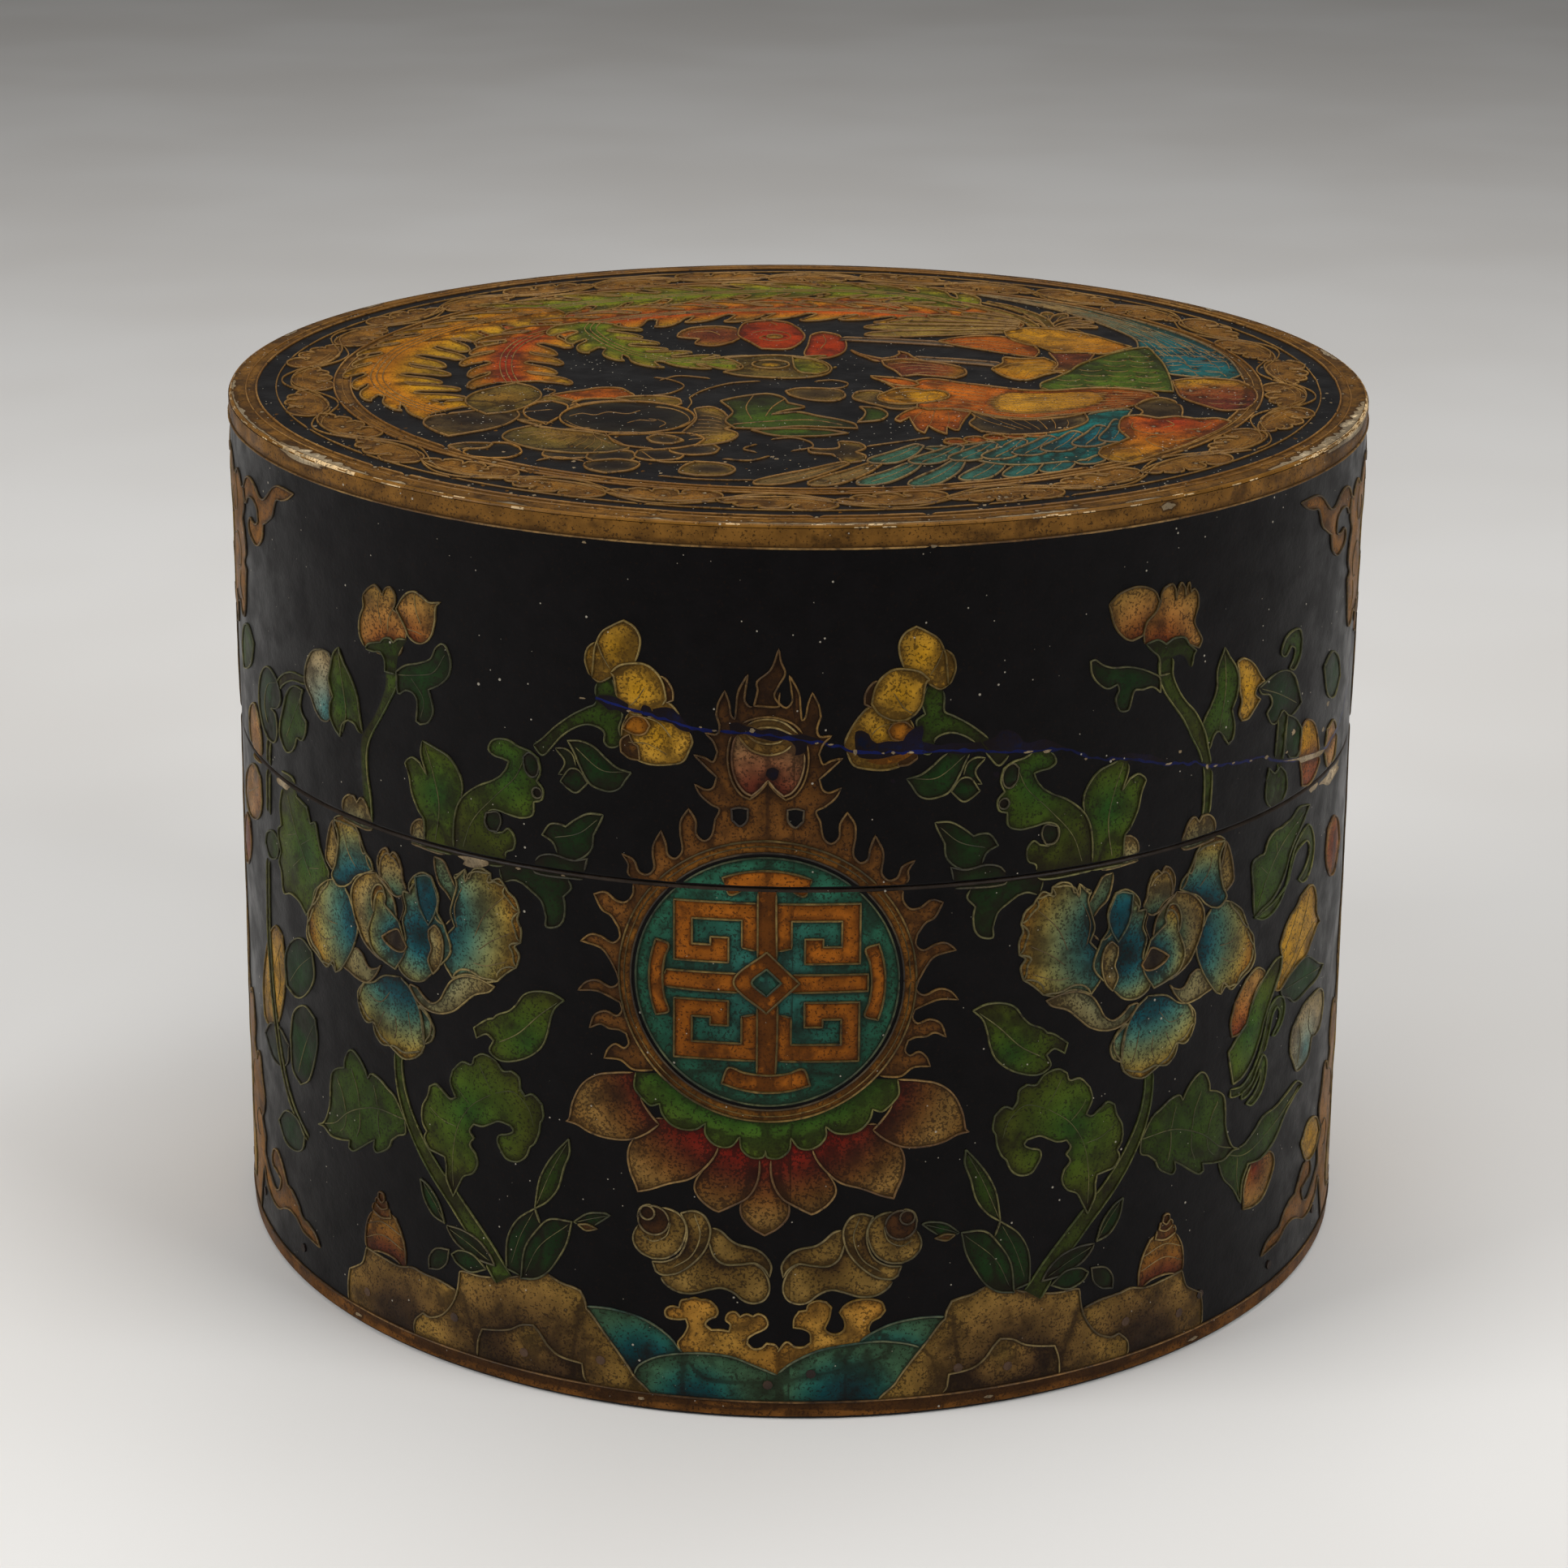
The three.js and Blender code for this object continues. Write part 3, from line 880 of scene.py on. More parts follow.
def frilled(
    shape: Shape, depth: float = 2.1, lengths: Point = (4.0, 17.0), outer: float = 0.55, weight: float = 1.15
) -> list[Shape]:
    """A petal with a raised line inside each of its outer lobes, for its rolled rim.

    Args:
        shape: The petal, which has a heart.
        depth: How far inside the rim the line runs at most.
        lengths: The shortest and the longest lobe that has one.
        outer: The share of the petal's reach beyond which a lobe is an outer one.
        weight: The line's width.

    Returns:
        The petal and its lines.
    """
    heart = np.array(shape.heart)
    far = np.linalg.norm(shape.outline() - heart, axis=1).max()
    rims = []
    for part in shape.stretches():
        reach = np.linalg.norm(part - heart, axis=1)
        length = np.linalg.norm(np.diff(part, axis=0), axis=1).sum()
        if lengths[0] < length < lengths[1] and reach.mean() > outer * far:
            share = np.sin(np.linspace(0, math.pi, len(part)))[:, None] ** 0.6
            inner = part + (heart - part) / reach[:, None] * depth * share
            rims.append(line(shape.paint, tuple(map(tuple, inner[::2])), weight=weight))
    return [shape, *rims]


@dataclass(frozen=True)
class PeonySpray(Drawing):
    """The left-hand peony on its stem, with its leaves."""

    heart: Point = (-115.0, 140.0)

    def stems(self) -> list[Shape]:
        """The stem from the rocks to the flower."""
        path = spots("-81 34 -87.5 43 -97.5 54.5 -107.5 65 -114 74 -118.4 83 -120.2 91 -120.4 99")
        return ribbon(Paint.GREEN_STEM, path, (6.5, 6, 5.4, 4.8, 4.2, 3.6, 3.2, 3))

    def leaves(self) -> list[Shape]:
        """The leaves on the stem and at its foot.

        Returns:
            The shapes, in painter's order.
        """
        left = traced(Paint.MID_LEAF, "-162.5 60|-159 62 -156.5 66 -155 70.5 -154.5 76 -153.5 80.5"
            " -150.5 83 -146.5 84.6|-146.3 87 -144.5 90.5 -142 91.8 -138.5 90 -136 87.5 -134.5 85"
            "|-133 87 -129 86.5 -125.5 84.5 -122 82.5 -118 76.5|-118 72 -121 70.5 -124 68|-125.5 65"
            " -129 62.5 -131.5 61.5 -132.5 63|-132 65.5|-135 63.5 -139 60.5 -143 58 -145 58.5|-144.5 61"
            "|-150 59.5 -155 59 -159 60.5", heart=(-136, 74), span=(0, 26))
        left_veins = drawn(Paint.MID_LEAF, "-159 61.5 -152 64.5 -146 69.5 -139 73.5 -130 76.5 -118 76.5",
            "-146 69.5 -148 76 -151 80", "-139 73.5 -140 80 -143 86",
            "-146 69.5 -147 65 -150 62", "-139 73.5 -139 68 -141 63",
            "-130 76.5 -130 71 -129 66", "-130 76.5 -131 81 -132 84")
        big = traced(Paint.BRIGHT_LEAF, "-98.5 98|-99.5 94 -97.5 89.5|-99.5 88.5 -102 90 -105 91.8"
            " -107.5 90.5|-108.5 87 -110.5 83.5 -111 80|-110.5 77.5 -109 75.5|-110 73 -108 70 -105.5 69.5"
            " -102 69|-101.5 66 -101.5 62 -99 57|-96.5 62 -95 64.5 -91.5 66.5 -89.8 70 -90.5 73"
            "|-92.5 75.5 -91 78|-92.5 80 -91 82.5|-88 82.5 -85 84 -82 85.5 -78 85|-77 83.5 -79 82 -82 81"
            " -82.6 79 -81.5 76.5 -79.5 74 -76 73.8 -73 76 -71.5 79.5|-70 81 -68.5 84.5 -68 88"
            "|-67 90 -67.5 94|-70.5 96.5 -73 95.5|-74.5 97.5 -75 101 -77.5 102.5|-80.5 102 -83 104.8"
            " -87.5 105.8 -90.5 104|-91.5 101.5 -95 101.5", heart=(-93, 86), span=(0, 26))
        big_veins = drawn(Paint.BRIGHT_LEAF, "-84 94 -92 88 -97 80 -99 70 -99 60",
            "-84 94 -77 96 -72 92 -70 86", "-84 94 -87 99 -89 103", "-92 88 -96 92 -97.6 95",
            "-97 80 -103 81 -108 84", weight=0.5)
        upper = traced(Paint.BRIGHT_LEAF, "-60 128|-64 129.5 -69 129.3 -73 127.5 -75.5 124"
            "|-78 121.5 -82 119.5 -83.5 118|-86 117 -90.5 113.5|-89.5 110.5|-86 112.5 -83.5 111"
            "|-85 107.5 -82 105.3 -78 105.5 -72 108 -67.5 112 -65.5 116.5 -64.5 121 -63 125",
            heart=(-72, 113), span=(0, 19))
        upper_vein = drawn(Paint.BRIGHT_LEAF, "-62 127 -68 122 -75 115 -82 110.6")
        seam = traced(Paint.DARK_LEAF, "-80 161|-76 162.5 -73 162|-70 160 -67 157.5 -65.5 153"
            "|-65.5 150 -62 150.5 -60 153 -59.5 157 -60 160|-57.5 163 -58.5 165.5|-58.5 168|-80 168")
        small = [
            traced(Paint.DARK_LEAF, "-112 59|-108.5 57.4 -104.6 53 -102.5 47|-107 48.4 -110.6 53"),
            traced(Paint.DUSK_LEAF, "-102 46.5|-96 46.6 -90 44.9 -86 41.4 -84 38|-90 38.5 -97 41 -100 43.5"),
            traced(Paint.DARK_LEAF, "-100 37.5|-97 39.5 -92 39.5 -87 36|-93 33.5 -98 35"),
            traced(Paint.DUSK_LEAF, "-109 30|-108.9 34 -106 37.6 -101 38.6|-102 34 -105 31"),
            traced(Paint.MID_LEAF, "-58.8 84.5|-62.6 80 -66 75 -68.6 69 -70 60|-66 63 -62.4 68 -60.4 75"
                " -58.6 80"),
            traced(Paint.DARK_LEAF, "-80 38|-79.5 48 -76 55 -70 60|-67.6 52 -68.6 44 -72 37"),
            traced(Paint.DARK_LEAF, "-75 36|-73.6 46 -69.5 53 -65 57.5 -58 58|-59.6 51 -62.6 45 -66 40"
                " -70 37"),
            traced(Paint.DARK_LEAF, "-57.5 58|-53 61.5 -48 62.5 -46 62|-49 59.5 -53 57"),
            traced(Paint.ROSE_BUD, "-56 57.5|-53.5 56 -50 57|-53 58"),
        ]
        veins = drawn(Paint.DARK_LEAF, "-111 58 -106.6 53 -103 47.6",
            "-101 45.6 -94 43 -86 39", "-59.4 83 -64.6 73 -69.6 61", "-78.4 40 -75 50 -70.6 58.6",
            "-73.6 38 -68.6 48 -59 57", "-57 58 -52 60 -46.6 61.8", weight=0.5)
        return [*small, *veins, left, *left_veins, big, *big_veins, upper, *upper_vein, seam]

    def petals(self) -> list[Shape]:
        """The petals, the outer ones first.

        Returns:
            The shapes, in painter's order.
        """
        far = {"heart": self.heart, "span": (14.0, 50.0)}
        petals = [
            traced(Paint.CREAM_PETAL, "-104.5 164|-104 160 -102.5 156 -99.5 153.5 -97.5 150 -98 146.5"
                " -100 144|-95.5 150 -96.5 156 -99 160.5 -101 163.5", **far),
            traced(Paint.FOLD, "-146 118|-145 121 -142.5 124 -139 126 -136 125|-133 121.5 -129 122.5"
                " -127.5 124|-130 120 -134 116.5 -139 116.5 -143 117.5", **far),
            traced(Paint.TEAL_PETAL, "-119 122.5|-126 121 -131 117.5 -135.5 116|-138.3 112.5 -138.5 109"
                "|-137 105.5 -134.5 103.5 -131.5 104.5|-130.5 101 -127.5 98.5 -124 99|-122 98 -118 96.5"
                " -113.5 98 -110.5 100.5|-109 105 -110 110 -111.5 115 -115 120", heart=(-118, 130),
                span=(9, 36)),
            traced(Paint.TEAL_PETAL, "-111.5 115.5|-108 113 -105.5 109.5 -106.5 105.5 -109.5 103.5"
                "|-109.5 107 -110 111", heart=(-118, 130), span=(9, 36)),
            traced(Paint.TEAL_PETAL, "-97 160|-95.5 160.5 -93 162.5|-91.5 160 -90 163 -87 164 -84 163"
                "|-83.5 161 -81 162 -79 160|-78 158.5 -75.5 156.5 -74.3 153|-75 150.5 -73.8 147.5"
                " -74 143.5|-76 142 -74.5 139.5 -75.5 135.5|-77 134.5 -79.5 132.5 -82 130|-86 129 -90 130"
                " -94 129.5 -98 127.5|-102 133 -101 139 -97 144|-98.5 148 -97.5 152 -96 157",
                heart=(-108, 144), span=(4, 36)),
            traced(Paint.FOLD, "-112 121|-109 118.5 -106 117.5 -103 119.5 -101 123 -98.5 126.5 -94 129"
                " -88 129.3 -83 128|-85 126 -90 124 -94 120.5 -98 117 -103 115 -108 115 -112 117 -115 121",
                heart=(-116, 140), span=(18, 40)),
            traced(Paint.TEAL_PETAL, "-153 144|-149 145 -145 144.3 -142 142|-141 140 -138 133 -140 127"
                " -143 122 -147.5 116.5 -150 115|-152.5 117 -155 115 -158 116|-161 117.5 -165 119 -167 122"
                " -166.2 126|-165.5 129.5 -163 132.5|-161 136 -159 139.5 -156 142", heart=(-136, 134),
                span=(2, 31)),
            traced(Paint.CREAM_PETAL, "-150 164|-152 160 -153.5 155 -154 150.5 -151 148|-148.5 150"
                " -147 154 -148 158", **far),
            traced(Paint.TEAL_PETAL, "-149.5 164.5|-146 166.4 -140 166.4 -136.5 163.6|-135 160.5"
                " -133.5 158|-131 156 -130 153.5|-134 151.5 -138 149.5 -141 146.5 -144 144.5"
                "|-148 143.6 -151 146 -149 150 -147.5 155 -147 160", heart=(-136, 138), span=(10, 31)),
            traced(Paint.CREAM_PETAL, "-129 153|-134 151.5 -138.5 148 -140.8 143.5 -140 138 -137.5 133"
                " -135 129.5 -131 127 -127 125.5|-121 132 -121 146", heart=(-125, 139), span=(3, 18)),
            traced(Paint.CREAM_PETAL, "-127 152|-128 157 -126.5 160.5 -124 162 -122.5 160|-121 161.5"
                " -119 160.5 -117.5 157|-117 153.5 -116 151.5 -118 148.5 -121 148", heart=(-121, 146),
                span=(1, 17)),
            traced(Paint.TEAL_PETAL, "-114 150|-114.5 153 -112.5 156 -109 158 -105.5 157.5"
                "|-103 152 -103.5 147 -101 143.5|-98.6 136 -103 130 -106 127 -110 123.5 -115 122.8"
                " -119 125 -120 129|-116.4 135 -117.5 141 -116 145 -117 150", heart=(-110, 138),
                span=(2, 22)),
            traced(Paint.DEEP_TEAL, "-112 156|-108 157.4 -105.6 157|-103.4 151 -104.6 146 -107 142"
                "|-110 146 -111.4 150", heart=(-108, 148)),
            traced(Paint.FOLD, "-107 140.5|-104.5 142.5 -102 140 -101.5 135 -103 130 -105.5 127"
                "|-107.3 131 -106 135 -107 138", heart=(-112, 136), span=(2, 12)),
            traced(Paint.TEAL_PETAL, "-130.5 140|-131 145 -129 149 -126 149.5 -124.5 146|-125 144 -122 142"
                " -119 140|-116.6 132 -121 124.5|-127 126 -131 128 -133 133", heart=(-120, 134),
                span=(1, 17)),
            traced(Paint.DUSKY, "-126.5 133.5|-123 136 -119.5 137.5 -117.5 135 -116 133|-117.5 131"
                " -121 130.5 -125 132", lift=0.0),
            *drawn(Paint.FOLD, "-128.6 152.6 -124 151 -121 148", "-119 140 -117 145 -118 148.4",
                "-161 136 -155 131 -148 131", "-163 127 -156 124 -149 127",
                "-94 157 -97 150 -96 143", "-79 157 -86 150 -90 142",
                "-77 146 -84 142 -89 138", "-78 137 -86 134 -91 134",
                "-134 113 -128 112 -123 117", "-130.5 101 -128 106 -126 110",
                "-122.5 101.5 -121 105 -121.6 110", "-113 101 -115 107 -116 113",
                "-144 162 -142 156 -138 152", weight=0.55),
        ]
        frills = (Paint.TEAL_PETAL, Paint.CREAM_PETAL)
        return [part for petal in petals for part in (frilled(petal) if petal.paint in frills else [petal])]

    def shapes(self) -> list[Shape]:
        """The stem, the leaves and the flower."""
        return [*self.stems(), *self.leaves(), *self.petals()]


@dataclass(frozen=True)
class LidSprays(Drawing):
    """What grows over the lid on each side of the flames, the left-hand side."""

    def blossom(self) -> list[Shape]:
        """The spray of yellow blossoms.

        Returns:
            The shapes, in painter's order.
        """
        yellow, glow = Paint.YELLOW_BUD, {"span": (0.0, 13.0)}
        stem = traced(Paint.MID_LEAF, "-69 204.6|-66 207 -62 211 -57 215 -52 218 -49.5 219.5 -49.4 224"
            " -48 227.5 -46.5 228.5 -44.5 227 -43.5 224.5 -43 222 -44 219|-41.5 217 -42.5 213 -42 209.5"
            " -43 207.5 -45.5 207 -47 208.5 -46.8 211 -48.5 212.5 -52 213 -56 211.5 -60 208.5 -63 205"
            " -66 202", heart=(-47, 217), span=(0, 22))
        return [
            stem,
            traced(yellow, "-49.5 237.5|-51.7 235.5 -52.5 232 -51.5 228.5 -50.5 227|-47 232",
                heart=(-46, 236), **glow),
            traced(yellow, "-50.5 227|-50 232 -49.5 236 -47.5 240.5 -44 243 -41 244.6|-38 243 -36.3 240"
                " -36.5 236.5 -38 232|-44.5 228|-48 226", heart=(-43, 236), **glow),
            traced(yellow, "-31 221.5|-28 221.5 -25.5 219 -23.5 216 -22 213 -21.3 210.5 -22 208.5"
                "|-24 204.6 -28 203.4 -33 203 -37.5 204|-41 207 -41.6 213 -39 219|-35 219.6",
                heart=(-31, 212), **glow),
            traced(Paint.BROWN_PETAL, "-39.5 211.5|-42 209.5 -42 206|-39.5 204.3 -36.5 204|-37 208"
                " -38.5 209"),
            traced(Paint.ORANGE_CURL, "-41.5 213|-40 215.5 -38 217 -35 216.5 -33.5 214.5|-35 212 -38 211.5"),
            traced(Paint.BROWN_PETAL, "-31.5 229.5|-29 228.6 -27 225.5 -26.8 222.5|-28.6 221.6|-30 226"),
            traced(yellow, "-45 229|-42 231.5 -37 232.5 -34 232 -31 229.5 -29.5 226.5 -28.8 222.5"
                "|-31 219.5 -35 217.5 -38.5 217.5|-41 219 -43 222 -44 228", heart=(-37, 225), **glow),
            *drawn(yellow, "-49 238 -47.5 234 -45 230", "-41 219 -38 221 -34.6 226",
                "-36 217 -31 215.6 -27 211", "-40 209 -34 209 -28 206", weight=0.6),
        ]

    def leaves(self) -> list[Shape]:
        """The leaves between the blossoms and the seam.

        Returns:
            The shapes, in painter's order.
        """
        bright, dark = Paint.BRIGHT_LEAF, Paint.DARK_LEAF
        pair = traced(dark, "-39 200|-43 201 -46.5 203.5 -50 206.5 -54 207.8 -58 207.5|-56 204 -54.5 200.5"
            " -51.5 195.5 -48 194 -45 193.8 -42.5 195 -40.5 198")
        curl = traced(dark, "-62 204.7|-59 205 -56.5 203.5 -55.5 200|-57 197.5 -61 197|-59 201")
        under = traced(dark, "-60.5 195|-58 193 -55.5 192.2 -52 195.5|-54.6 199 -57.6 199")
        lobed = traced(dark, "-47.5 186.5|-52 186.3 -56 184 -59 181.5|-61 182 -64 181.5 -66.5 178"
            "|-63 176 -61.5 172|-57 171.5 -53.5 173 -51 176 -50.5 180|-48 185")
        base = traced(Paint.DUSK_LEAF, "-69 169.5|-67 171.5 -63 172.4 -57 171.5 -52.5 172.6|-54 166|-69 166")
        cat = traced(bright, "-97 166|-96.8 175 -95.5 181 -93 185 -88 189 -83 191.5 -80 193.5"
            "|-78 196 -77 198.5|-79 199 -82 199.5 -83.8 201 -82.8 203.5 -80.5 204.7 -77 204.8 -74 203.5"
            " -70 202.5 -67.5 201|-66.8 197 -68 194|-66 191.5 -66.5 188.5 -69 187.5|-69.5 183.5 -73 182"
            " -77 182.3 -82 183 -85 181.5 -85.5 178.5 -83 176 -79.5 176.5|-77.5 178 -75.5 175.5 -76 172"
            " -78.5 170.5 -80 166", heart=(-78, 196), span=(0, 30))
        hook = traced(Paint.DUSK_LEAF, "-85 181.5|-81 182.4 -80 179.6 -81.4 176.4|-84 176.4 -85.5 178.5",
            lift=0.0)
        twin = traced(bright, "-108 199|-103 197.7 -98 196 -94.5 192 -93.2 188 -94 183.5 -95.5 179"
            " -96.5 174|-97 166|-108 166|-108 174.5 -110 177 -112.5 182 -113.5 187 -115 190.5"
            "|-114.5 191.5 -112 193 -109 192|-106.5 189|-108.5 195", heart=(-102, 184), span=(2, 19))
        bits = [
            traced(Paint.FOLD,
                f"{u - 6.5} 166|{u - 6} 171.6 {u - 3.4} 174.2 {u - 0.4} 174.6|{u + 1} 173"
                f"|{u + 3} 175 {u + 5.6} 173.4 {u + 7.4} 166",
                heart=(u, 150), span=(14, 26))
            for u in (-107, -138)
        ]
        veins = [
            *drawn(dark, "-41 200 -48 200 -56 206", "-49 185 -55 180 -63 177.6", weight=0.6),
            *drawn(bright, "-94 168 -90 178 -82 187 -75 194 -72 200",
                "-104 168 -102 180 -104 190 -107 198", weight=0.6),
        ]
        lobes = [
            traced(Paint.DUSK_LEAF, "-72.2 200.6|-70.4 202.2 -68.2 201.2 -67.2 198.4 -68 195.6 -70 195"
                " -71.8 197.2", lift=0.9),
            circle(Paint.DUSK_LEAF, (-67.9, 190.4), 1.6, lift=0.9),
        ]
        return [*bits, twin, cat, *lobes, hook, pair, curl, under, lobed, base, *veins]

    def sprig(self) -> list[Shape]:
        """The two buds on their tall stem.

        Returns:
            The shapes, in painter's order.
        """
        stem = traced(Paint.GREEN_STEM, "-122.5 219|-122.5 213 -124.5 208 -128 202 -132 197 -134.3 193"
            " -134.8 186 -134.3 178 -133 166|-130 166|-130.3 176 -131.5 183 -131.5 190 -129.5 195.5"
            " -125 202 -121 208 -118 213 -117.5 217", bare=(1,))
        leaf = traced(Paint.DARK_LEAF, "-117.5 218|-114 220.5 -108 222.5 -104 224.5 -102 228 -100 229.7"
            "|-98.5 229.5 -97 227 -96.5 224 -97.5 220.5 -100.5 217.5 -105 215|-104 212 -103.5 208.5"
            " -105.5 205 -108.5 203.8|-110 204.5|-109.5 210.5 -111 212.7 -114 213 -117 211.5")
        left = traced(Paint.PEACH_BUD, "-131.5 238|-129 240.5 -126 242.3 -124 241.5 -122.5 240"
            "|-121.5 242 -119.5 243 -117.5 241.5 -117.2 239 -118.3 236.5|-116 235.5 -113.5 234"
            "|-113 231 -113.5 228.5|-118 222 -131 222.5|-133 225.5 -133.3 229 -132.5 232 -131 235",
            heart=(-120, 220), span=(2, 21))
        right = traced(Paint.PEACH_BUD, "-117 237|-115 240 -112.5 242.5 -109.5 243.5 -106.5 242.5"
            " -104 241.3 -99.8 242|-101.5 240.5 -102 236 -103.5 231.5 -106 229 -109 228.2 -112 229.5"
            " -113.5 232", heart=(-112, 226), span=(1, 17))
        calyx = traced(Paint.MID_LEAF, "-131 222|-129.5 223.8 -126 225 -124 225.5|-122.5 227 -120 227.5"
            " -118.5 226.5|-116.5 228 -113 228.5|-114.5 226.5 -117 222.5 -118 217|-122.4 217"
            "|-122.5 220.5 -124.5 222.5 -127 222", bare=(4,))
        folds = drawn(Paint.PEACH_BUD, "-113 231.8 -109 231.5 -106.5 231",
            "-124 241 -124.6 236 -123 230", "-118.4 236.6 -120.4 233 -120.6 229",
            "-109.6 243 -109 238 -107 233.6", weight=0.6)
        veins = drawn(Paint.DARK_LEAF, "-117.4 217 -110 218.4 -103 220.6 -98.4 227",
            "-112 217.6 -107 211.6 -108.4 205.4", weight=0.6)
        return [stem, leaf, *veins, left, right, *folds, calyx]

    def tall_sprig(self) -> list[Shape]:
        """The sprig of the right-hand side, which is taller, with a frilled bud.

        Returns:
            The shapes, in painter's order.
        """
        glow = {"heart": (118.0, 229.0), "span": (1.0, 20.0)}
        stem = traced(Paint.GREEN_STEM, "118 226|118.5 221 120.5 216.5 124 212 128.5 206.5 132.5 200"
            " 136 194.5 138.2 188 138.6 178 137.6 168|140.6 168|141.6 178 141.6 188 139.6 195 137.6 201"
            " 133.5 207.5 129 212 126 216 123.5 221 123 226")
        leaf = traced(Paint.DARK_LEAF, "119 216.5|116 218.6 112.5 218.4 109.5 218.6 108.4 215.5"
            "|107.4 213 104.5 213.4 103 217 104 219.6 103.4 221.4|100 220.6 96.5 223 94.5 226 94 229.5"
            "|95.5 229.8 98 228 101.5 226.6 107 226 112 224.5 116 222.6 118.6 220.8")
        left = traced(Paint.PEACH_BUD, "99.5 245.5|103 248.2 108 249.4 112 248.9 115.6 247 117.3 244"
            "|116 241 113.4 238.6 111.6 234.6|107.5 233.8 104 236 101.4 239.6 100.4 243", heart=(112, 230),
            span=(2, 19))
        right = traced(Paint.PEACH_BUD, "112.6 232|112 235 113 238.4 116 240.8 117.6 243.4 118 246.4"
            " 119.6 247.8 122 248.2 123.2 246.6|123.5 243.4|124.2 246.6 125.5 248.1 126.8 246.6"
            "|127.1 243.8|127.8 246.8 128.6 247.6 129.2 244.6|130.6 245.4 132.2 243.4 132.5 240 131.8 238"
            " 131.2 235.4 133.2 232 134.6 229.5 133.5 227.2|128 229.4 120 230", **glow)
        calyx = traced(Paint.MID_LEAF, "113 231.8|115 232.2 117.5 232.4 120.5 230.6|123.5 231.8"
            " 127.5 231.4 129.5 229|132.5 226.6|131.6 225.4 131 221.8|130 222.4 128.5 225 126 226.4"
            " 123 226|122.6 221.5|118.6 221.5|118 227 115.5 229.4", bare=(5, 6))
        return [stem, leaf, left, right, calyx]

    def shapes(self) -> list[Shape]:
        """The blossoms and the leaves of one side."""
        return [*self.leaves(), *self.blossom()]

    def sprigs(self) -> list[Shape]:
        """The sprigs of both sides."""
        return [*self.sprig(), *self.tall_sprig()]


